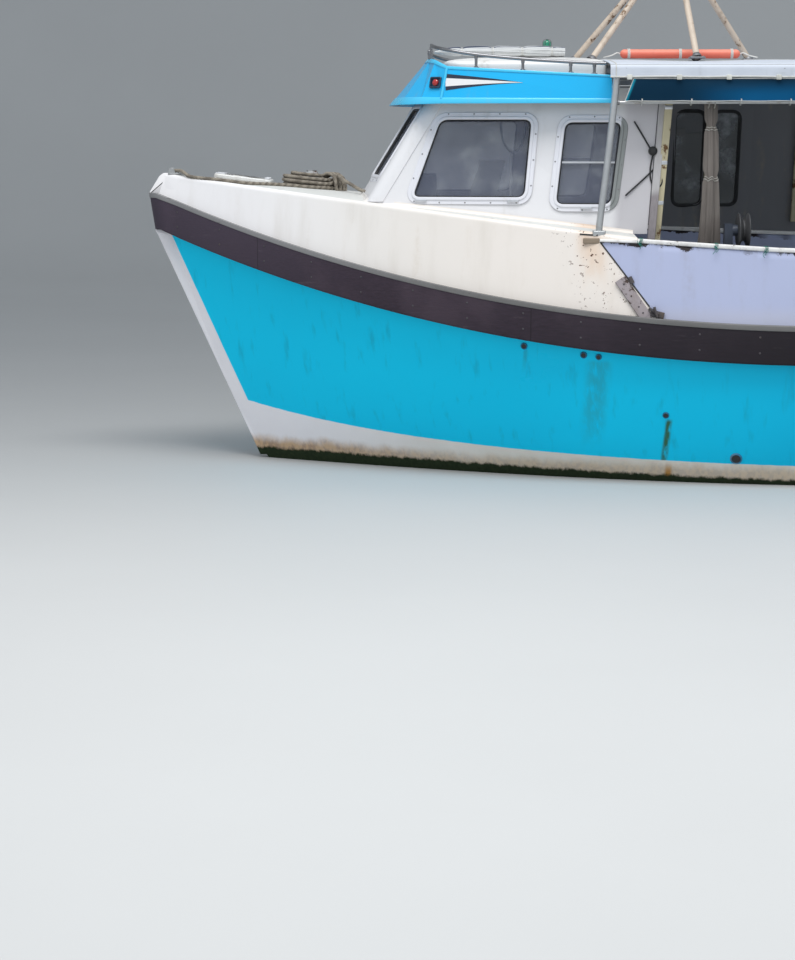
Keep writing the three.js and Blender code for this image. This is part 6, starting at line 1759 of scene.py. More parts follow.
def curtainCloth():
    # brown cloth streaked down its folds, darker where it stays damp
    f = Finish("curtainCloth", (0.20, 0.175, 0.155), 0.85)
    cloth = f.mix(f.noise(7, stretch=(3, 3, 0.4), detail=6), (0.09, 0.078, 0.070), (0.22, 0.195, 0.175))
    damp = f.step(f.noise(5, detail=5) * 0.2 + f.z, 1.78, 1.64)
    f.set("Base Color", f.mix(damp * 0.5, cloth, (0.09, 0.075, 0.066)))
    f.bump(f.noise(18, stretch=(3, 3, 0.35), detail=4) + f.wave(800) * 0.05, 0.5, 0.006)
    return f.material


curtainPiece = addPiece("furled_curtain", curtainShape, curtainCloth(), sharp=80)
cordBits = []
for row in (10, 11, 31, 32):  # two rounds at each of the two places where it is tied
    ring = curtainPoints[row]
    cordBits.append(tube(ring.mean(0) + (ring - ring.mean(0)) * 1.03, furled["cord"], 6, closed=True))
turn = fullTurn(20)
for x in (furled["x"] - 0.018, furled["x"] + 0.018):  # and two loops over the rail
    loop = np.stack([np.full_like(turn, x), shelter["half"] - 0.026 + 0.038 * np.cos(turn),
                     shelter["lowerRailZ"] - 0.010 + 0.024 * np.sin(turn)], -1)
    cordBits.append(tube(loop, furled["cord"], 6, closed=True))
cordGrey = twoTone("curtainCord", (0.34, 0.33, 0.30), 0.8, (0.22, 0.21, 0.19), (0.46, 0.45, 0.41), 80, 3)
addPiece("curtain_cords", together(*cordBits), cordGrey.material, sharp=80)


band = {"footZ": 2.337, "topZ": 2.470, "flatTall": 0.136, "tieEvery": 0.30}


def fasciaNet():
    # the blue band: cut on a slant at its fore end, drawn in at its lashings
    s = shelter
    t = np.linspace(0, 1, 12)[:, None]
    r = np.linspace(0, 1, 130)[None]
    foreX = (s["foreX"] - 0.055) * (1 - t) + (s["foreX"] - 0.105) * t
    x = foreX + (s["aftX"] - foreX) * r
    belly = np.sin(t * math.pi) * (0.0035 + 0.0025 * np.sin(x * 11.0) + 0.0012 * np.sin(x * 31 + 2))
    y = s["half"] + s["tube"] + 0.006 + belly
    drawn = 0.0022 * np.abs(np.sin(x * math.pi / band["tieEvery"])) * (1 - t)
    z = band["footZ"] + (band["topZ"] - band["footZ"]) * t - drawn
    return np.stack([x, y, z], -1)


def fasciaCloth():
    # deep blue cloth, painted far darker than the visor's blue as shade under the canopy; lighter at its slanted fore
    # end, and paler towards its after end and its foot
    f = Finish("fasciaCloth", (0.012, 0.16, 0.30), 0.7, Specular_IOR_Level=0.12)
    # painted shade: both tones are far darker than the visor's blue, standing for the canopy's shade; the fade mask
    # only makes it paler towards the after end and the foot
    fade = f.step(f.x, 0.95, 0.45) * f.step(f.z, 2.47, 2.36)
    blue = f.mix(fade, (0.0005, 0.022, 0.050), (0.0005, 0.080, 0.200))
    foreEdge = f.step(f.x + (f.z - band["footZ"]) * 0.376, 1.222, 1.240)
    blue = f.mix(foreEdge * 0.8, blue, (0.008, 0.300, 0.430))
    dirt = f.step(f.noise(3, stretch=(1, 1, 4), detail=6), 0.5, 0.8)
    f.set("Base Color", f.mix(dirt * 0.25, blue, (0.02, 0.05, 0.08)))
    f.bump(f.wave(900, direction="X") * 0.5 + f.wave(900, direction="Z") * 0.5, 0.2, 0.0008)
    return f.material


fascia = fasciaNet()
fasciaPiece = addPiece("fascia_cover", thick(fascia, 0.0012), fasciaCloth(),
                       replaces="shelter_fascia_port", sharp=60)
edges = [tube(fascia[row] + [0, 0.0006, 0], 0.0030, 6) for row in (0, -1)]
edges += [tube(fascia[:, col] + [0, 0.0006, 0], 0.0026, 6) for col in (0, -1)]
ties = []
turn = np.linspace(0, 4 * math.pi, 40)
for x in np.arange(shelter["foreX"] - 0.16, shelter["aftX"] + 0.05, -band["tieEvery"]):
    ring = np.stack([x + turn * 0.0006, shelter["half"] + 0.038 * np.cos(turn),
                     shelter["lowerRailZ"] + 0.006 + 0.024 * np.sin(turn)], -1)
    ties.append(tube(ring, 0.0016, 5))
addPiece("fascia_hem", together(*edges), hemFinish.material, sharp=80)
addPiece("fascia_ties", together(*ties), hemFinish.material, sharp=80)

# The post, and the starboard wall with its windows and uprights
postCream = paintedMetal("postCream", (0.56, 0.50, 0.33), wear=0.1, rust=(0.20, 0.11, 0.05), rough=0.6)
dress(postCream, "shelter_post")
wallPaint = gelcoat("shelterWallPaint", (0.20, 0.20, 0.21), 0.6, amount=0.9)
dress(wallPaint, "shelter_wall_starboard")


def wallSpace(x, z, h):
    # the inboard face of the starboard wall, which leans in from the bulwark's top to the top rail
    low = bulwarkMiddle(x) + 0.013
    lowZ = bulwarkTop(x) + bulwark["railTall"] - 0.010
    t = (z - lowZ) / (2.468 - lowZ)
    y = -(low * (1 - t) + 1.120 * t) + 0.026
    return x, y + h, z


wallWindows = {"spans": [(0.205, 0.385), (0.455, 0.655)], "footZ": 1.640, "topZ": 2.290, "corner": 0.055}
innerSeal = np.array([[-0.006, -0.012], [-0.006, 0.004], [0.012, 0.007], [0.020, 0.001]])
outerSeal = np.array([[-0.006, -0.016], [-0.006, -0.030], [0.012, -0.033], [0.020, -0.027]])
wallBits, wallSeals = [], []
for aft, fore in wallWindows["spans"]:
    outline = roundedBox(aft, wallWindows["footZ"], fore, wallWindows["topZ"], wallWindows["corner"], 7)
    wallSeals += [rimmed(outline, profile, wallSpace) for profile in (innerSeal, outerSeal)]
upright = roundedBox(-0.017, -0.022, 0.017, 0.022, 0.004, 3)
for x in (0.980, 0.420, -0.220):  # on the wall's inboard face
    line = np.stack(wallSpace(np.full(8, x), np.linspace(1.52, 2.44, 8), np.full(8, 0.016)), -1)
    wallBits.append(sweep(line, upright))
addPiece("shelter_wall_uprights", together(*wallBits), postCream)
addPiece("shelter_window_seals", together(*wallSeals), gasket)

# Steel bands round the post, which leans aft from its foot to its head
post = {"footX": 1.106, "footZ": 0.420, "headX": 0.948, "headZ": 2.462, "y": 0.968, "half": 0.0245,
        "bandsZ": (1.20, 1.72, 1.965, 2.30)}
bands = []
for z in post["bandsZ"]:
    t = (z - post["footZ"]) / (post["headZ"] - post["footZ"])
    x, y, half = post["footX"] + (post["headX"] - post["footX"]) * t, post["y"], post["half"]
    bands.append(soften([x - half, y - half, z - 0.012], [x + half, y + half, z + 0.012], 0.002, 0.006))
addPiece("post_bands", together(*bands), frameMetal)
print("shelter rigged")

# On the roof: mast, rails, canvas roll, float and lamp

mast = {"x": 0.822, "apexZ": 3.373, "tube": 0.024, "headZ": 3.720, "yardHalf": 0.260, "yardDown": 0.25,
        "feet": [(1.464, -0.150), (1.392, 0.400), (0.730, 0.500), (0.286, -0.250)]}


def sheetTop(y):
    # height of the canopy's upper face
    return shelter["topZ"] + shelter["tube"] + 0.004 + shelter["sheetThick"] + shelter["crown"] * (
        1 - (y / shelter["half"]) ** 2)


def roofTop(x, y):
    # the crown's height at a place: the level whose scaled outline passes through it
    outline = fullRing(visorRing(visor["band"] + 0.0003, True))[:, :2]
    scales, heights = [0.20, 0.55, 0.90, 0.945, 0.95], [2.622, 2.616, 2.590, 2.568, 2.550]
    middle = roof["middleX"]
    half = np.interp(x, outline[:5, 0], outline[:5, 1])
    ends = (x - middle) / (2.38 - middle) if x > middle else (middle - x) / (middle - visor["aftX"])
    return float(np.interp(max(abs(y) / half, ends), scales, heights))


mastCream = paintedMetal("mastPaint", (0.60, 0.50, 0.40), wear=0.35, rust=(0.22, 0.12, 0.06), rough=0.5)
apex = np.array([mast["x"], 0, mast["apexZ"]])
mastBits = [bar(apex - [0, 0, 0.06], [mast["x"], 0, mast["headZ"]], 6, mast["tube"], 18),
            lathe(bothEnds([[0.050, 0.040], [0.055, 0.034]]), apex, (0, 0, 1), 22)]
mastFeet, mastBolts = [], []
for x, y in mast["feet"]:
    z = (roofTop(x, y) if x > shelter["sheetForeX"] else sheetTop(abs(y))) + 0.0008
    mastBits.append(bar([x, y, z + 0.004], apex, 10, mast["tube"] - 0.004, 18))
    mastFeet.append(soften([x - 0.050, y - 0.050, z - 0.001], [x + 0.050, y + 0.050, z + 0.011], 0.003, 0.012))
    socket = [[0.004, 0.034], [0.020, 0.030], [0.034, 0.023], [0.036, 0.020]]
    mastFeet.append(lathe(socket, (x, y, z), apex - [x, y, z], 20))
    spots = [[x + i * 0.036, y + j * 0.036, z + 0.011] for i in (-1, 1) for j in (-1, 1)]
    mastBolts.append(domes(spots, (0, 0, 1), 0.006, 0.005, 6))
port, starboard = ([mast["x"] - 0.015, side * mast["yardHalf"], mast["apexZ"] - mast["yardDown"]] for side in (1, -1))
mastBits.append(bar(starboard, port, 8, 0.012, 14))
headProfile = [[-0.004, 0.020], [0.0, 0.037], [0.004, 0.038], [0.012, 0.038], [0.014, 0.033], [0.066, 0.033],
               [0.068, 0.038], [0.078, 0.038], [0.088, 0.028], [0.090, 0.004]]
addPiece("mast_tubes", together(*mastBits), mastCream, replaces="mast_tripod")
addPiece("mast_feet", together(*mastFeet, *mastBolts), screwMetal)
lampGlass = Finish("mastLampGlass", (0.72, 0.74, 0.74), 0.15, Coat_Weight=0.5)
lampGlass.set("Base Color", lampGlass.mix(lampGlass.wave(140, "Z"), (0.55, 0.57, 0.58), (0.85, 0.87, 0.87)))
addPiece("mast_lamp", lathe(headProfile, (mast["x"], 0, mast["headZ"]), (0, 0, 1), 24), lampGlass.material)

topRail = {
    "tube": 0.011, "leg": 0.009,
    "route": [(1.345, 0.947, 2.566), (1.415, 0.942, 2.568), (1.559, 0.932, 2.575), (1.851, 0.911, 2.594),
              (2.137, 0.889, 2.621), (2.292, 0.856, 2.646), (2.376, 0.742, 2.668), (2.406, 0.520, 2.690)],
    "feet": {1: 2.5005, 2: 2.5082, 3: 2.5238, 4: 2.5391, 7: 2.6020},
}


def roofRails(side):
    # the rail bends inboard at its fore end; each leg stands in a cup on the visor band
    r = topRail
    route = [(x, side * y, z) for x, y, z in r["route"]]
    line = curveThrough(route, 8)
    bits = [tube(line, r["tube"], 14)]
    endCap = [[0, 0.011], [0.004, 0.0105], [0.008, 0.007], [0.0095, 0.001]]
    cup = [[0, 0.021], [0.003, 0.021], [0.006, 0.015], [0.010, 0.0105]]
    collar = [[-0.026, 0.0095], [-0.022, 0.0115], [-0.010, 0.0115]]
    for end, inner in ((line[0], line[1]), (line[-1], line[-2])):
        bits.append(lathe(endCap, end, end - inner, 14))
    for i, footZ in r["feet"].items():
        x, y, z = route[i]
        foot = [x, y, footZ + 0.0006]
        bits += [bar(foot, [x, y, z], 4, r["leg"], 12), lathe(cup, foot, (0, 0, 1), 18),
                 lathe(collar, (x, y, z), (0, 0, 1), 14)]
    return together(*bits)


# painted shade: darker than the other stainless, because the roof rails lie in shade
railSteel = bareMetal("roofRail", (0.30, 0.30, 0.31), 0.3)
for side, name in ((1, "port"), (-1, "starboard")):
    addPiece("top_rail_" + name, roofRails(side), railSteel, replaces="roof_rail_" + name)

roll = {"y": 0.430, "z": roofTop(1.85, 0.430) + 0.034, "ties": (2.210, 2.020, 1.830, 1.640),
        "table": [(2.385, 0.006), (2.340, 0.020), (2.250, 0.032), (2.050, 0.038), (1.850, 0.036), (1.650, 0.040),
                  (1.560, 0.030)]}  # places along the boat and the radius there


def rolledCanvas():
    # rings along the roll: soft folds run lengthwise and it is drawn in at each tie
    table = np.array(roll["table"])
    x = np.linspace(table[0, 0], table[-1, 0], 120)
    radius = np.interp(-x, -table[:, 0], table[:, 1])
    radius = np.convolve(np.pad(radius, 4, mode="edge"), np.ones(9) / 9, "valid")
    pinch = sum(np.exp(-((x - t) / 0.016) ** 2) for t in roll["ties"])
    radius = radius * (1 - 0.22 * pinch)
    a = fullTurn(64)[None]
    x = x[:, None]
    fold = 1 + 0.055 * np.sin(a * 5 + x * 3) + 0.04 * np.sin(a * 11 - x * 9) + 0.025 * np.sin(a * 17 + x * 31)
    flatten = np.where(np.sin(a) < -0.55, 0.93, 1.0)
    r = radius[:, None] * fold * 0.95
    y, z = roll["y"] + 1.35 * r * np.cos(a), roll["z"] + r * np.sin(a) * flatten
    points = np.stack(np.broadcast_arrays(x, y, z), -1)
    uv = np.stack(np.broadcast_arrays(x, a / (2 * math.pi)), -1).reshape(-1, 2)
    return capped(points, uv), points


rollShape, rollPoints = rolledCanvas()


def rollCloth():
    # pale canvas with a navy stripe and its seams along the roll
    f = Finish("rolledCanvas", (0.62, 0.63, 0.62), 0.8)
    around = f.uv("Y")
    seam = f.near(around, 0.30, 0.035) + f.near(around, 0.10, 0.02)
    navy = f.near(around, 0.20, 0.05)
    cloth = f.mix(f.noise(5, stretch=(1, 3, 3), detail=6), (0.42, 0.44, 0.45), (0.78, 0.78, 0.76))
    cloth = f.mix(navy, cloth, (0.012, 0.025, 0.070))
    f.set("Base Color", f.mix(seam * 0.5, cloth, (0.24, 0.26, 0.28)))
    f.bump(f.noise(12, stretch=(0.6, 3, 3), detail=4) + f.wave(800) * 0.05, 0.5, 0.006)
    return f.material


rollPiece = addPiece("rolled_canvas", rollShape, rollCloth(), replaces="canvas_roll", sharp=80)
tieBits = []
for x in roll["ties"]:
    row = rollPoints[np.argmin(np.abs(rollPoints[:, 0, 0] - x))]
    middle = np.array([x, roll["y"], roll["z"]])
    for shift in (-0.004, 0.004):
        loop = middle + (row - middle) * 1.03 + [shift, 0, 0]
        tieBits.append(tube(loop, 0.0022, 6, closed=True))
tieWhite = twoTone("whiteCord", (0.72, 0.71, 0.67), 0.8, (0.50, 0.49, 0.45), (0.82, 0.81, 0.77), 80, 3)
addPiece("roll_ties", together(*tieBits), tieWhite.material, sharp=80)

# Float: round ends, shallow grooves, and lashings down to the sheet
buoy = {"fore": 1.197, "aft": 0.429, "radius": 0.029, "y": 0.300, "groove": 0.035, "lash": 0.0028}
buoyZ = sheetTop(buoy["y"]) + buoy["radius"] + 0.0003
long = buoy["fore"] - buoy["aft"]
endTurn = np.radians(np.linspace(4, 90, 9))
capRow = [[buoy["radius"] * (1 - math.cos(t)), buoy["radius"] * math.sin(t)] for t in endTurn]
ribs = [[s * long, buoy["radius"] * (1 - buoy["groove"] * (abs(math.sin(s * math.pi * 9)) > 0.97))]
        for s in np.linspace(0.06, 0.94, 60)]
floatRow = capRow + ribs + [[long - a, r] for a, r in capRow[::-1]]


def floatSkin():
    # orange-red, faded above and grimy in spots
    f = Finish("floatSkin", (0.80, 0.16, 0.10), 0.5)
    faded = f.step(f.z, buoyZ - 0.01, buoyZ + 0.028)
    tone = f.mix(f.noise(6, stretch=(1, 2, 2), detail=6), (0.66, 0.10, 0.055), (0.84, 0.20, 0.13))
    tone = f.mix(faded * 0.7, tone, (0.90, 0.34, 0.24))
    grime = f.step(f.noise(14, detail=6), 0.58, 0.8)
    f.set("Base Color", f.mix(grime * 0.4, tone, (0.30, 0.13, 0.09)))
    f.bump(f.noise(70, detail=3), 0.2, 0.002)
    return f.material


addPiece("long_float", lathe(floatRow, (buoy["aft"], buoy["y"], buoyZ), (1, 0, 0), 28), floatSkin(),
         replaces="sausage_float", sharp=50)
lashBits = []
turn, lashRadius = fullTurn(28), buoy["radius"] + 0.0022
lashY = buoy["y"] + lashRadius * np.cos(turn)
lashZ = np.maximum(buoyZ + lashRadius * np.sin(turn), sheetTop(buoy["y"]) + 0.0016)
for x in (buoy["aft"] + 0.055, buoy["fore"] - 0.055, (buoy["aft"] + buoy["fore"]) / 2):
    for shift in (-0.006, 0.0, 0.006):
        ring = np.stack([np.full_like(turn, x + shift), lashY, lashZ], -1)
        lashBits.append(tube(ring, buoy["lash"], 6, closed=True))
tail = [(0, 0, buoyZ), (0.020, 0.004, buoyZ + 0.006), (0.055, 0.016, buoyZ - 0.010),
        (0.110, 0.024, sheetTop(0.32) + 0.006)]
for x, way in ((buoy["aft"] + 0.002, -1), (buoy["fore"] - 0.002, 1)):
    knots = [(x + way * out, buoy["y"] + over, z) for out, over, z in tail]
    lashBits.append(tube(curveThrough(knots, 8), 0.0045, 8))
addPiece("float_lashings", together(*lashBits), tieWhite.material, sharp=80)

# Roof lamp with its green glass
lampAt = (1.632, -0.200, roofTop(1.632, -0.2) - 0.0034)
standProfile = [[0.004, 0.034], [0.010, 0.034], [0.013, 0.014], [0.070, 0.012], [0.078, 0.028], [0.084, 0.030],
                [0.088, 0.027]]
glassProfile = [[0.0885, 0.0255], [0.100, 0.026], [0.118, 0.026], [0.130, 0.020], [0.136, 0.008], [0.137, 0.001]]
guardKnots = [(0.0285, 0.086), (0.0295, 0.116), (0.018, 0.138), (0, 0.1395)]  # off the axis, above the foot
addPiece("lamp_stand", lathe(standProfile, lampAt, (0, 0, 1), 26), blackRubber, replaces="roof_lamp")
addPiece("lamp_glass", lathe(glassProfile, lampAt, (0, 0, 1), 26), greenLens.material)
guard = []
for t in np.arange(6) * math.pi / 3:
    knots = np.array([(r * math.cos(t), r * math.sin(t), up) for r, up in guardKnots]) + lampAt
    guard.append(tube(curveThrough(knots, 5), 0.0016, 6))
addPiece("lamp_guard", together(*guard), screwMetal, sharp=80)
print("roof gear set")

# Foredeck gear: hatch lid, bitt and fairlead

deckTilt = math.atan(topside["slope"])
lidLong = (foreHatch["fore"] - foreHatch["aft"] + 2 * foreHatch["over"]) / math.cos(deckTilt)
lidX = foreHatch["fore"] + foreHatch["over"]
lidZ = float(edgeZ(lidX)) + 0.026


def onLid(x, y, h):
    # a place on the fore hatch's lid, which hinges at its fore edge and lies on the deck's slope
    c, s = math.cos(deckTilt), math.sin(deckTilt)
    return lidX + x * c - h * s, y, lidZ + x * s + h * c


lidHalf = foreHatch["half"] + foreHatch["over"]
lidCorners = roundedBox(-lidLong, -lidHalf, 0, lidHalf, 0.035, 6)
lidLevels = [(0, 0.004), (0.003, 0), (0.017, 0), (0.022, 0.003), (0.024, 0.010), (0.024, 0.040), (0.0205, 0.046),
             (0.0205, 0.060), (0.024, 0.066), (0.025, 0.12)]
lidFinish = gelcoat("hatchGelcoat", (0.76, 0.75, 0.72), 0.45, amount=0.6)
addPiece("foredeck_lid", plate(lidCorners, lidLevels, onLid), lidFinish, body="foredeck_hatch",
         replaces="foredeck_hatch", sharp=30)
lidFittings = []
for y in (-0.10, 0.10):  # a catch and a hinge strap on each side
    catch = roundedBox(-lidLong + 0.012, y - 0.016, -lidLong + 0.050, y + 0.016, 0.006, 3)
    strap = roundedBox(-0.070, y - 0.015, -0.002, y + 0.015, 0.006, 3)
    lidFittings.append(plate(catch, [(0.024, 0), (0.031, 0), (0.034, 0.003)], onLid))
    lidFittings.append(plate(strap, [(0.0235, 0), (0.027, 0), (0.029, 0.002)], onLid))
addPiece("foredeck_lid_fittings", together(*lidFittings), frameMetal, body="foredeck_hatch")

bitt = {"x": 3.185, "half": 0.045, "tall": 0.082, "cap": 0.014, "pin": 0.016, "pinHalf": 0.095, "pinUp": 0.052}
bittZ = float(edgeZ(bitt["x"])) + topside["camber"]
bittGrey = paintedMetal("bittSteel", (0.36, 0.37, 0.37), wear=0.5, rust=(0.20, 0.09, 0.04), rough=0.6)


def bittShape():
    # a square post with a low pyramid on top, a round pin through it, and a bolted foot
    x, half, tall, pin, pinHalf = (bitt[key] for key in ("x", "half", "tall", "pin", "pinHalf"))
    foot = soften([x - 0.075, -0.075, bittZ - 0.006], [x + 0.075, 0.075, bittZ + 0.014], 0.004, 0.014)
    levels = [(0.010, -0.008), (0.016, -0.002), (0.022, 0), (tall - 0.003, 0), (tall, 0.002),
              (tall + bitt["cap"], 0.024)]
    post = plate(roundedBox(-half, -half, half, half, 0.010, 4), levels, lambda a, b, h: (x + a, b, bittZ + h))
    profile = bothEnds([[pinHalf - 0.012, pin], [pinHalf - 0.008, pin + 0.003], [pinHalf, pin + 0.003],
                        [pinHalf + 0.002, 0.010]])
    nutsAt = [[x + i * 0.058, j * 0.058, bittZ + 0.014] for i in (-1, 1) for j in (-1, 1)]
    return together(foot, post, lathe(profile, (x, 0, bittZ + bitt["pinUp"]), (0, 1, 0), 20),
                    domes(nutsAt, (0, 0, 1), 0.009, 0.006, 6))


addPiece("mooring_post", bittShape(), bittGrey, replaces="mooring_bitt")

leadX = 4.07
leadZ = float(edgeZ(leadX)) + float(topside["camber"] * min(topEdge(sheerShare(leadX))[1] / 0.9, 1)) + 0.006
leadBits = [soften([3.990, -0.034, leadZ - 0.004], [4.128, 0.034, leadZ + 0.008], 0.003, 0.014)]
horn = roundedCorners([[4.076, leadZ + 0.004], [4.126, leadZ + 0.004], [4.122, leadZ + 0.036], [4.108, leadZ + 0.042],
                       [4.090, leadZ + 0.036]], 0.005, 4)
hornShape = plate(horn, [(-0.0032, 0.0012), (-0.002, 0), (0.002, 0), (0.0032, 0.0012)],
                  lambda x, z, h: (x, 0.029 + h, z))
boltsAt = [[x, side * y, leadZ + 0.008] for x, y in ((4.005, 0.018), (4.060, 0.022)) for side in (1, -1)]
leadBits += [hornShape, mirrored(hornShape), domes(boltsAt, (0, 0, 1), 0.006, 0.003, 6)]
galvanised = bareMetal("galvanised", (0.50, 0.51, 0.51), 0.5, stain=0.7)
addPiece("bow_fairlead", together(*leadBits), galvanised, replaces="stem_fairlead")
print("foredeck fitted")

# Inside the wheelhouse

boardFinish = twoTone("deskBoard", (0.16, 0.12, 0.08), 0.6, (0.09, 0.060, 0.038), (0.24, 0.17, 0.11), 3, 6,
                      (2, 12, 12))
boardFinish.bump(boardFinish.drift, 0.25, 0.002)
dress(boardFinish.material, "console")
deckGrip = Finish("deckCoating", (0.28, 0.30, 0.30), 0.85)
deckTone = grimy(deckGrip, (0.27, 0.30, 0.31), dirt=(0.12, 0.10, 0.07), amount=0.9)
deckGrip.set("Base Color", deckGrip.mix(deckGrip.step(deckGrip.cells(150), 0.25, 0.1), deckTone, (0.36, 0.38, 0.38)))
deckGrip.bump(deckGrip.noise(200, detail=3), 0.6, 0.003)
dress(deckGrip.material, "working_deck")
enginePaint = paintedMetal("enginePaint", (0.02, 0.075, 0.05), wear=0.5)
dress(enginePaint, "engine_block")
doorPaint = gelcoat("doorPaint", (0.64, 0.63, 0.59), 0.4, amount=0.8)
dress(doorPaint, "cabin_door")

screen = twoTone("screen", (0.010, 0.012, 0.015), 0.12, (0.008, 0.010, 0.014), (0.020, 0.024, 0.030), 3,
                 Coat_Weight=0.5)
screen.set("Roughness", screen.noise(20) * 0.12 + 0.08)
caseDark = rubberPlastic("instrumentCase", (0.022, 0.030, 0.048), 0.5)
cases = [  # aft face X, fore X, low Y, high Y, low Z, high Z
    (2.372, 2.520, 0.250, 0.560, 1.640, 1.890), (2.020, 2.110, -0.60, -0.20, 1.405, 1.590),
    (2.020, 2.120, -0.12, 0.16, 1.405, 1.520), (2.450, 2.560, -0.50, -0.18, 1.405, 1.500),
]
caseBits, screenBits = [], []
for aft, fore, lowY, highY, lowZ, highZ in cases:
    caseBits.append(soften([aft, lowY, lowZ], [fore, highY, highZ], 0.010, 0.018, axis=0))
    screenBits.append(soften([aft - 0.0015, lowY + 0.02, lowZ + 0.02], [aft + 0.001, highY - 0.02, highZ - 0.02],
                             0.0008, 0.010, axis=0))
caseBits.append(soften([2.43, 0.36, 1.4005], [2.49, 0.44, 1.645], 0.004, 0.008))
throttle = [lathe([[0, 0.045], [0.02, 0.045], [0.03, 0.035]], (2.09, 0.42, 1.4005), (0, 0, 1), 24),
            bar([2.09, 0.42, 1.425], [2.03, 0.42, 1.560], 4, 0.007, 10),
            lathe(bothEnds([[0.010, 0.016], [0.016, 0.006]]), (2.027, 0.42, 1.566), (0, 1, 0), 16)]
addPiece("instruments", together(*caseBits, *throttle), caseDark)
addPiece("instrument_screens", together(*screenBits), screen.material)

# A pale chart sheet lies slanted against the dash, and a cable loops under the roof
chartFinish = twoTone("chartPaper", (0.72, 0.72, 0.66), 0.8, (0.58, 0.60, 0.54), (0.80, 0.80, 0.74), 4, 5)
s = np.linspace(0, 1, 14)[:, None]
t = np.linspace(0, 1, 10)[None]
chartX = (2.093 + 0.190 * s) * (1 - t) + (1.930 + 0.150 * s) * t
chart = np.stack(np.broadcast_arrays(chartX, 0.46 - 0.08 * s + 0.010 * np.sin(t * 3), 1.973 - 0.57 * s), -1)
addPiece("chart_board", thick(chart, 0.006), chartFinish.material)
curl = [(1.822, 0.700, 2.416), (1.820, 0.705, 2.20), (1.845, 0.700, 2.070), (1.895, 0.695, 2.025),
        (1.950, 0.690, 2.075), (1.975, 0.690, 2.20), (1.970, 0.690, 2.416)]
addPiece("roof_cable", tube(curveThrough(curl, 10), 0.0075, 8), blackRubber)
stanchion = soften([1.902, 0.672, 1.401], [1.918, 0.690, 2.028], 0.003, 0.004)
addPiece("cabin_stanchion", stanchion, insideWhite)

# A curtain hangs inside the aft side window
fold = np.linspace(0, 1, 40)[None]
high = np.linspace(1.735, 2.250, 8)[:, None]
curtainX = 1.215 + 0.080 * fold + (2.25 - high) * 0.13
curtainY = cabinSide(curtainX, high) - 0.064 + 0.006 * np.sin(fold * 22)
curtain = np.stack(np.broadcast_arrays(curtainX, curtainY, high), -1)
addPiece("side_curtain", thick(curtain, 0.002), chartFinish.material, sharp=60)

helm = {"centre": (1.9547, -0.350, 1.300), "radius": 0.190, "rim": 0.015, "spokes": 5}
turn = fullTurn(90)
centre = np.array(helm["centre"])
ring = centre + np.stack([0 * turn, np.cos(turn), np.sin(turn)], -1) * helm["radius"]
gripSwell = helm["rim"] * (1 + 0.05 * np.cos(turn * 24))
wheelBits = [tube(ring, gripSwell, 12, closed=True)]
for a in fullTurn(helm["spokes"]):  # spokes that narrow outwards
    way = -np.array([0, math.sin(a), math.cos(a)])
    spoke = np.array([centre + way * r for r in np.linspace(0.028, helm["radius"] - 0.008, 8)])
    spoke[:, 0] += 0.004 * np.sin(np.linspace(0, math.pi, 8))
    wheelBits.append(tube(spoke, np.linspace(0.011, 0.007, 8), 10))
hubProfile = [[-0.029, 0.024], [-0.024, 0.033], [0.012, 0.034], [0.020, 0.028], [0.024, 0.012], [0.025, 0.002]]
wheelBits.append(lathe([[-a, r] for a, r in hubProfile], centre, (1, 0, 0), 26))
addPiece("steering_wheel", together(*wheelBits), rubberPlastic("wheelGrip", (0.02, 0.02, 0.021), 0.4),
         body="helm_wheel", replaces="helm_wheel")

seat = {"x": 1.520, "y": -0.350, "footZ": 0.420, "panZ": 0.930, "pan": 0.420}
seatSteel = bareMetal("seatPost", (0.48, 0.49, 0.50), 0.35, stain=0.4)
postRow = [[0.0003, 0.150], [0.008, 0.150], [0.014, 0.140], [0.017, 0.060], [0.030, 0.036], [0.30, 0.034],
           [0.302, 0.042], [0.335, 0.042], [0.338, 0.034], [0.492, 0.034], [0.500, 0.060], [0.502, 0.060]]
half = seat["pan"] / 2
foreX, aftX = seat["x"] + half, seat["x"] - half
portY, starboardY = seat["y"] + half, seat["y"] - half
base = lathe(postRow, (seat["x"], seat["y"], seat["footZ"]), (0, 0, 1), 30)
panPlate = soften([aftX, starboardY, seat["panZ"] - 0.008], [foreX, portY, seat["panZ"]], 0.002, 0.03)
addPiece("seat_pedestal", together(base, panPlate), seatSteel, replaces="helm_seat_base")


def pad(low, high, axis, puff):
    # a crowned cushion: its outline grows from a point, swells through the thickness and closes over a crown
    low, high = np.array(low, float), np.array(high, float)
    a, b = [i for i in range(3) if i != axis]
    outline = roundedBox(low[a], low[b], high[a], high[b], 0.06, 14)
    middle = (low + high)[[a, b]] / 2
    foot, top, thickness = low[axis], high[axis], high[axis] - low[axis]
    levels = [(0.90 * (1 - t), foot + thickness * 0.12 * (1 - t) ** 3) for t in np.linspace(1, 0, 9)[:-1]]
    levels += [(1 - 0.10 * (1 - math.sin(t * math.pi) ** 0.5), foot + thickness * (0.12 + 0.76 * t))
               for t in np.linspace(0, 1, 25)]
    levels += [(0.90 * (1 - t), top - thickness * 0.12 * (1 - t) ** 3 + puff * (1 - (1 - t) ** 2))
               for t in np.linspace(0, 1, 9)[1:]]
    rows = np.zeros((len(levels), len(outline), 3))
    for row, (scale, height) in zip(rows, levels):
        row[:, [a, b]] = middle + (outline - middle) * max(scale, 0.01)
        row[:, axis] = height
    return capped(rows)


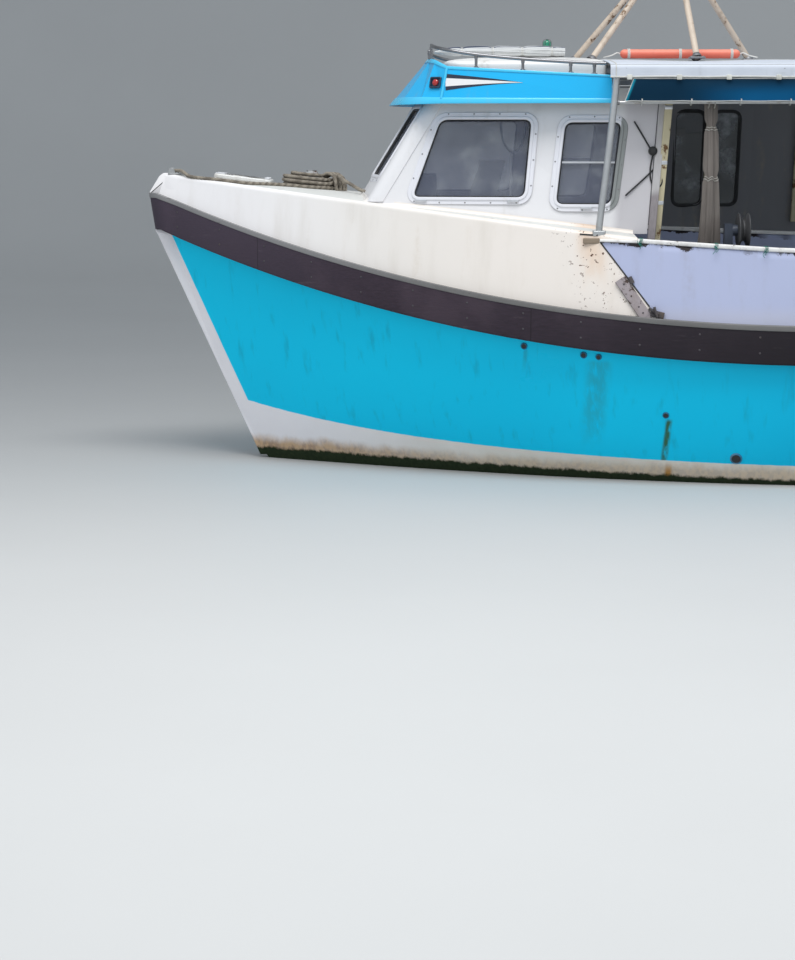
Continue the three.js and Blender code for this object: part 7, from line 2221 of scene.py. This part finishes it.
vinyl = twoTone("seatVinyl", (0.03, 0.035, 0.045), 0.45, (0.020, 0.024, 0.032), (0.055, 0.060, 0.072), 8)
vinyl.bump(vinyl.cells(260), 0.25, 0.0008)
z = seat["panZ"] + 0.0003
bottom = pad([aftX + 0.004, starboardY + 0.004, z], [foreX - 0.004, portY - 0.004, z + 0.094], 2, 0.008)
back = pad([aftX - 0.002, starboardY + 0.008, z + 0.084], [aftX + 0.082, portY - 0.008, z + 0.489], 0, 0.006)
seatPiece = addPiece("seat_padding", together(bottom, back), vinyl.material,
                     replaces="helm_seat_cushion", sharp=80)
seatRing = roundedBox(aftX + 0.006, starboardY + 0.006, foreX - 0.006, portY - 0.006, 0.06, 8)
backRing = roundedBox(starboardY + 0.010, z + 0.088, portY - 0.010, z + 0.486, 0.06, 8)
piping = [tube(np.insert(ring, axis, at, axis=1), 0.0032, 7, closed=True)
          for ring, axis, at in ((seatRing, 2, z + 0.047), (backRing, 0, aftX + 0.040))]
addPiece("seat_piping", together(*piping), blackRubber, sharp=80)
print("wheelhouse furnished")

# Under water: propeller and rudder

propeller = {"x": -3.380, "z": -0.560, "radius": 0.230, "blades": 4,
             "table": [[0.030, 0.090, 62], [0.090, 0.150, 48], [0.150, 0.170, 36], [0.205, 0.120, 29],
                       [0.230, 0.030, 26]]}  # distance from the axis, width and pitch in degrees


def bladeShape(turnAngle):
    # sections of a twisted, swept plate with round edges, carried out from the hub
    fine = np.linspace(0, 1, 22)
    knots = np.linspace(0, 1, 5)
    reach, chord, pitch = (np.interp(fine, knots, column) for column in np.array(propeller["table"]).T)
    chord = np.convolve(np.pad(chord, 2, mode="edge"), np.ones(5) / 5, "valid")
    pitch = np.radians(pitch)[:, None]
    thickness = (0.014 + (0.005 - 0.014) * reach / propeller["radius"])[:, None]
    a = fullTurn(20)[None]
    wide = np.cos(a) * 0.5 * chord[:, None]
    over = np.sin(a) * 0.5 * thickness * (1 - 0.3 * np.cos(a))
    x = wide * np.sin(pitch) + over * np.cos(pitch)
    y = wide * np.cos(pitch) - over * np.sin(pitch)
    z = np.broadcast_to(reach[:, None], x.shape)
    c, s = math.cos(turnAngle), math.sin(turnAngle)
    return capped(np.stack([x + propeller["x"], y * c - z * s, y * s + z * c + propeller["z"]], -1))


hubRow = [[-0.095, 0.004], [-0.092, 0.016], [-0.083, 0.026], [-0.062, 0.040], [-0.045, 0.048], [0.0, 0.0505],
          [0.060, 0.052], [0.065, 0.050], [0.065, 0.021], [0.070, 0.020], [0.354, 0.020]]
hub = lathe(hubRow, (propeller["x"], 0, propeller["z"]), (1, 0, 0), 32)
bronze = Finish("bronze", (0.42, 0.27, 0.11), 0.4, 0.9)
verdigris = bronze.step(bronze.noise(11, detail=7, rough=0.7), 0.48, 0.66)
bronze.set("Base Color", bronze.mix(verdigris * 0.75, (0.40, 0.25, 0.10), (0.08, 0.20, 0.14)))
bronze.set("Metallic", 1 - verdigris * 0.8)
bronze.set("Roughness", verdigris * 0.4 + 0.3)
bronze.bump(bronze.noise(90, detail=4), 0.25, 0.002)
blades = [bladeShape(turnAngle) for turnAngle in fullTurn(propeller["blades"])]
addPiece("screw", together(hub, *blades), bronze.material, body="propeller", replaces="propeller", sharp=60)

rudder = {"x": -3.720, "fore": 0.060, "aft": 0.360, "top": -0.260, "bottom": -0.825, "thick": 0.060, "stock": 0.025,
          "stockTop": 0.020, "pin": 0.018, "pinFoot": -0.876, "ribsZ": (-0.42, -0.64)}
red = Finish("antifouling", (0.12, 0.035, 0.025), 0.8)
slime = red.step(red.noise(7, detail=7, rough=0.7), 0.45, 0.7)
clean = red.mix(red.noise(20), (0.10, 0.025, 0.020), (0.16, 0.050, 0.035))
red.set("Base Color", red.mix(slime * 0.6, clean, (0.035, 0.045, 0.022)))
red.bump(red.noise(60, detail=5), 0.5, 0.004)
s = np.linspace(0, math.pi, 28)
foilX = rudder["fore"] - (rudder["fore"] + rudder["aft"]) * (1 - np.cos(s)) / 2
share = (rudder["fore"] - foilX) / (rudder["fore"] + rudder["aft"])
foilY = rudder["thick"] * 0.5 * 2.598 * np.sqrt(np.maximum(share, 0)) * (1 - share) + 0.0022 * share
foil = np.concatenate([np.stack([foilX, foilY], -1), np.stack([foilX, -foilY], -1)[-2:0:-1]])
foilLevels = [(rudder["bottom"], 0.006), (rudder["bottom"] + 0.003, 0.002), (rudder["bottom"] + 0.008, 0),
              (rudder["top"] - 0.008, 0), (rudder["top"] - 0.003, 0.002), (rudder["top"], 0.006)]
foilBody = plate(foil, foilLevels, lambda x, y, h: (rudder["x"] + x, y, h))
stock = bar([rudder["x"], 0, rudder["top"] - 0.02], [rudder["x"], 0, rudder["stockTop"]], 4, rudder["stock"], 22)
pintle = bar([rudder["x"], 0, rudder["bottom"] + 0.01], [rudder["x"], 0, rudder["pinFoot"]], 3, rudder["pin"], 18)
ribs = [soften([rudder["x"] - 0.21, -0.0310, z], [rudder["x"] + 0.035, 0.0310, z + 0.014], 0.003, axis=0)
        for z in rudder["ribsZ"]]
addPiece("rudder_blade", together(foilBody, stock, pintle, *ribs), red.material, body="rudder",
         replaces="rudder")
print("screw and rudder fitted")

# Working deck: hatches, winch, net drum, gantry, blocks and hauler

gearBlue = paintedMetal("gearPaint", (0.03, 0.13, 0.30), wear=0.2)
drumSteel = paintedMetal("drumSteel", (0.20, 0.21, 0.22), wear=0.4, rust=(0.19, 0.08, 0.035), rough=0.6)
dress(gearBlue, "winch_frame", "net_drum_stand", "stern_gantry")
dress(caseDark, "hauler_base")
dress(lidFinish, "fish_hatch_coaming")


engineLid = {"foreX": 0.970, "baseZ": 0.4203, "long": 0.940, "half": 0.360, "thick": 0.034}
fishLid = {"foreX": -1.192, "baseZ": 0.5703, "long": 1.016, "half": 0.478, "thick": 0.036}


def hingedLid(lid, name, body, finish):
    # a plate with a rounded rim and a raised panel, two hinge straps and a grip at its free edge
    foreX, baseZ, half, deep = lid["foreX"], lid["baseZ"], lid["half"], lid["thick"]
    levels = [(0, 0.003), (0.003, 0), (deep - 0.006, 0), (deep - 0.001, 0.003), (deep, 0.008), (deep, 0.045),
              (deep + 0.003, 0.052), (deep + 0.003, 0.15)]
    panel = plate(roundedBox(-lid["long"], -half, 0, half, 0.03, 5), levels, lambda a, b, h: (foreX + a, b, baseZ + h))
    addPiece(name, panel, finish, body=body, replaces=body, sharp=30)
    gripX, top = foreX - lid["long"] + 0.090, baseZ + deep
    rise = [(-0.070, 0.001), (-0.070, 0.020), (-0.060, 0.030), (0, 0.031), (0.060, 0.030), (0.070, 0.020),
            (0.070, 0.001)]
    bits = [tube(curveThrough([(gripX, y, top + up) for y, up in rise], 6), 0.007, 10)]
    for y in (-0.07, 0.07):
        bits.append(lathe([[0.0005, 0.020], [0.004, 0.019], [0.006, 0.010]], (gripX, y, top), (0, 0, 1), 16))
    for y in (-half * 0.6, half * 0.6):
        bits.append(soften([foreX - 0.14, y - 0.02, top + 0.0005], [foreX - 0.004, y + 0.02, top + 0.006],
                           0.0015, 0.008))
        bits.append(domes([[foreX - d, y, top + 0.006] for d in (0.03, 0.07, 0.11)], (0, 0, 1), 0.006, 0.003, 6))
    addPiece(name + "_fittings", together(*bits), galvanised, body=body)


hingedLid(engineLid, "engine_lid", "engine_hatch", deckGrip.material)
hingedLid(fishLid, "fish_lid", "fish_hatch", lidFinish)


winch = {"at": (-0.560, 0, 0.800), "drums": [(-0.610, -0.160), (0.160, 0.610)], "flange": 0.235, "core": 0.095,
         "shaft": 0.030, "reach": 0.690, "ribs": 6, "ribRun": (0.045, 0.13, 0.222), "rib": 0.006}
netDrum = {"at": (-2.950, 0, 1.010), "drums": [(-0.795, 0.795)], "flange": 0.375, "core": 0.105, "shaft": 0.035,
           "reach": 0.865, "ribs": 8, "ribRun": (0.050, 0.20, 0.362), "rib": 0.008}


def drumShape(drum):
    # a lathe along Y: bare shaft, flanges with rolled rims and the core between them; ribs stiffen each flange
    core, shaft, reach, r = drum["core"], drum["shaft"], drum["reach"], drum["flange"]
    row = [[-reach, shaft * 0.8], [-reach + 0.003, shaft]]
    # one flange from the shaft out over its rim and down to the core, as distances from its outer face
    flange = [[0, shaft], [0, r - 0.006], [-0.003, r - 0.002], [0.002, r], [0.010, r], [0.014, r - 0.003],
              [0.012, r - 0.008], [0.012, core + 0.012], [0.018, core]]
    for low, high in drum["drums"]:
        row += [[low + a, radius] for a, radius in flange] + [[high - a, radius] for a, radius in flange[::-1]]
    row += [[reach - 0.003, shaft], [reach, shaft * 0.8]]
    bits = [lathe(row, drum["at"], (0, 1, 0), 48)]
    for y, way in [pair for low, high in drum["drums"] for pair in ((low, -1), (high, 1))]:
        for a in fullTurn(drum["ribs"]):
            rib = [[math.cos(a) * radius, y + way * 0.001, math.sin(a) * radius] for radius in drum["ribRun"]]
            bits.append(tube(np.array(rib) + drum["at"], drum["rib"], 8))
    return together(*bits)


addPiece("warp_drums", drumShape(winch), drumSteel, body="winch_drums", replaces="winch_drums", sharp=30)
addPiece("net_drum_reel", drumShape(netDrum), drumSteel, body="net_drum", replaces="net_drum", sharp=30)

frameBolts = [[x, y, 0.460] for x in (-0.79, -0.33) for y in (-0.66, -0.30, 0.30, 0.66)]
for y in (-1.01, 1.01):
    frameBolts += [[-3.70 + i * 0.085, y + j * 0.085, 0.440] for i in (-1, 1) for j in (-1, 1)]
frameBolts += [[-2.95 + i * 0.04, y, 0.470] for i in (-1, 1) for y in (-0.6, -0.2, 0.2, 0.6)]
bearing = [[0.0005, 0.055], [0.012, 0.055], [0.018, 0.048], [0.018, 0.034]]
bearings = [lathe(bearing, np.array(drum["at"]) + [0, way * out, 0], (0, way, 0), 24)
            for drum, out in ((winch, 0.652), (netDrum, 0.850)) for way in (1, -1)]
addPiece("gear_bolts", together(domes(frameBolts, (0, 0, 1), 0.012, 0.009, 6), *bearings), galvanised)
levers = []
for y in (-0.055, 0.055):  # clutch levers on the winch's gearbox
    levers.append(tube(curveThrough([(-0.640, y, 0.912), (-0.655, y, 1.02), (-0.70, y * 1.3, 1.13)], 8), 0.008, 10))
    levers.append(lathe(bothEnds([[0.012, 0.018], [0.018, 0.006]]), (-0.703, y * 1.3, 1.145), (0, 0, 1), 16))
addPiece("winch_levers", together(*levers), caseDark)

block = {"x": -3.700, "y": 0.780, "headZ": 2.4297, "half": 0.070, "footDown": 0.250, "corner": 0.055,
         "sheaveDown": 0.160}


def towingBlock(side):
    # cheeks with rolled edges round a grooved sheave, hung by a strap under the gantry
    x, y, head, half = block["x"], side * block["y"], block["headZ"], block["half"]
    cheek = roundedBox(x - half, head - block["footDown"], x + half, head - 0.070, block["corner"], 6)
    bits = [plate(cheek, [(low, 0.003), (low + 0.002, 0), (low + 0.006, 0), (low + 0.008, 0.003)],
                  lambda a, b, h: (a, y + h, b)) for low in (-0.034, 0.026)]
    groove = [[-0.008, 0.050], [0, 0.047], [0.008, 0.050]]
    rimOut = [[0.016, 0.060], [0.022, 0.062], [0.025, 0.060], [0.025, 0.030]]
    row = [[-a, r] for a, r in rimOut[::-1]] + groove + rimOut
    centre = (x, y, head - block["sheaveDown"])
    axle = bothEnds([[0.038, 0.014], [0.040, 0.010]])
    bits += [lathe(row, centre, (0, 1, 0), 32), lathe(axle, centre, (0, 1, 0), 14)]
    bits.append(soften([x - 0.014, y - 0.034, head - 0.084], [x + 0.014, y + 0.034, head - 0.066], 0.002, 0.004))
    bits.append(soften([x - 0.014, y - 0.010, head - 0.076], [x + 0.014, y + 0.010, head], 0.002, 0.004))
    return together(*bits)


for side, name in ((1, "port"), (-1, "starboard")):
    addPiece("hanging_block_" + name, towingBlock(side), drumSteel, replaces="towing_block_" + name,
             sharp=30)
sheave = [[0.0003, 0.030], [0.0003, 0.099], [0.003, 0.105], [0.008, 0.105], [0.013, 0.098], [0.026, 0.070],
          [0.031, 0.066], [0.039, 0.066], [0.044, 0.070], [0.057, 0.098], [0.062, 0.105], [0.067, 0.105],
          [0.070, 0.099], [0.070, 0.045], [0.0698, 0.030], [0.0698, 0.015], [0.0698, 0.002]]
haulerAt = (0.5547, 1.190, 1.560)
addPiece("hauler_sheave", lathe([[-a, r] for a, r in sheave], haulerAt, (1, 0, 0), 44),
         rubberPlastic("haulerRubber", (0.03, 0.03, 0.032), 0.6), body="hauler_disc",
         replaces="hauler_disc", sharp=30)
print("deck gear fitted")

# The rope: it leaves the fairlead, runs along the deck's edge and goes down into its coil.

rope = {
    "thick": 0.024, "middle": (3.185, 0.0), "baseZ": 1.7897, "slope": 0.0973,
    "inner": 0.1315, "pitch": 0.0252, "turns": 2.45, "layers": 3, "rise": 0.0245,
}
ropeRoute = [
    (3.243, 0.2126, 1.8022), (3.290, 0.219, 1.8064), (3.350, 0.231, 1.8119), (3.420, 0.252, 1.8174),
    (3.500, 0.285, 1.8206), (3.600, 0.312, 1.8256), (3.700, 0.272, 1.8364), (3.800, 0.222, 1.8472),
    (3.900, 0.167, 1.8548), (3.980, 0.118, 1.866), (4.026, 0.072, 1.894), (4.052, 0.030, 1.901),
    (4.082, 0.005, 1.900), (4.112, 0.0, 1.899),
]


def coilLine():
    # spirals in and out, layer upon layer: the radius runs from outer to inner and back, and the height steps up
    # between. The run from the bow joins at the side and eases in to the first turn.
    joinX, joinY = ropeRoute[0][0] - rope["middle"][0], ropeRoute[0][1] - rope["middle"][1]
    outer = rope["inner"] + rope["pitch"] * rope["turns"]
    ease = np.linspace(0, 1, 16)[1:-1]
    angle = math.atan2(joinY, joinX)
    share = ease**2 * (3 - 2 * ease)
    run = [np.stack([math.hypot(joinX, joinY) * (1 - share) + outer * share, angle + ease * 0.9,
                     0.0068 + (0.0123 - 0.0068) * share], -1)]
    angle += 0.9
    for layer in range(rope["layers"]):
        t = np.linspace(0, 1, int(rope["turns"] * 40))
        inward = layer % 2 == 0
        radius = outer + (rope["inner"] - outer) * (t if inward else 1 - t)
        turn = angle + t * rope["turns"] * 2 * math.pi
        lift = np.full_like(t, 0.0123 + layer * rope["rise"])
        angle = turn[-1]
        run.append(np.stack([radius, turn, lift], -1))
        if layer < rope["layers"] - 1:  # a short climb to the next layer at the same radius
            climb = np.linspace(0, 1, 14)[1:-1]
            ease = climb**2 * (3 - 2 * climb)
            run.append(np.stack([np.full_like(climb, radius[-1]), angle + climb * 0.55,
                                 lift[-1] + ease * rope["rise"]], -1))
            angle = angle + 0.55
    # from the top layer it is worked to and fro over the rim, then led off aft toward the wheelhouse
    start = angle % (2 * math.pi)
    after = 2.30 + 2 * math.pi - start if start > 2.30 else 2.30 - start
    t = np.linspace(0, 1, max(int(after * 14), 8))[1:]
    run.append(np.stack([rope["inner"] - 0.020 * t, angle + after * t, np.full_like(t, lift[-1] + 0.024)], -1))
    angle += after
    over = [(0.112, 0.086), (0.140, 0.102), (0.175, 0.104), (0.212, 0.086), (0.228, 0.050), (0.232, 0.0135)]
    knots = []
    for k in range(5):
        for radius, height in (over if k % 2 == 0 else over[::-1])[(0 if k else 1):(6 if k < 4 else 3)]:
            knots.append((radius, angle + 0.07 + k * 0.17, height))
    run.append(curveThrough(knots, 8))
    radius, turn, lift = np.concatenate(run).T
    x = rope["middle"][0] + radius * np.cos(turn)
    y = rope["middle"][1] + radius * np.sin(turn)
    z = rope["baseZ"] + (x - rope["middle"][0]) * rope["slope"] + lift
    line = np.stack([x, y, z], -1)
    tail = [tuple(line[-1]), (2.985, 0.190, 1.852), (2.920, 0.250, 1.815), (2.860, 0.310, 1.782),
            (2.815, 0.352, 1.7665)]
    return np.concatenate([line[:-1], curveThrough(tail, 12)])


def evenly(path, spacing):
    # the same line with its points a given distance apart
    far = lengths(path)
    wanted = np.linspace(0, far[-1], int(far[-1] / spacing) + 1)
    return np.stack([np.interp(wanted, far, path[:, k]) for k in range(3)], -1)


def laidRope(path, radius, lay=0.085, strands=3, sides=16):
    # a rope of three strands: its section's radius swells at each strand and turns with the distance run
    turn = fullTurn(sides)[None]
    spin = lengths(path)[:, None] * 2 * math.pi / lay
    swell = radius * (0.80 + 0.20 * np.abs(np.cos((turn - spin) * strands / 2)))
    profile = np.stack([np.cos(turn) * swell, np.sin(turn) * swell], -1)
    return sweep(path, profile)


routeLine = curveThrough(ropeRoute, 10)[::-1]
wholeRope = evenly(np.concatenate([routeLine[:-1], coilLine()]), 0.006)
ropeFinish = Finish("ropeFibre", (0.30, 0.26, 0.19), 0.9)
ropeFuzz = ropeFinish.noise(90, detail=5)
ropeTone = ropeFinish.mix(ropeFuzz, (0.12, 0.10, 0.08), (0.46, 0.41, 0.33))
ropeLay = ropeFinish.wave(11, direction="DIAGONAL")
ropeFinish.set("Base Color", ropeFinish.mix(ropeLay * 0.6, ropeTone, (0.075, 0.060, 0.048)))
ropeFinish.bump(ropeFinish.noise(900, detail=2) + ropeFuzz * 0.4, 0.5, 0.0015)
ropePiece = addPiece("mooring_rope", laidRope(wholeRope, rope["thick"] / 2), ropeFinish.material,
                     replaces=("rope_run", "rope_coil"), sharp=80)
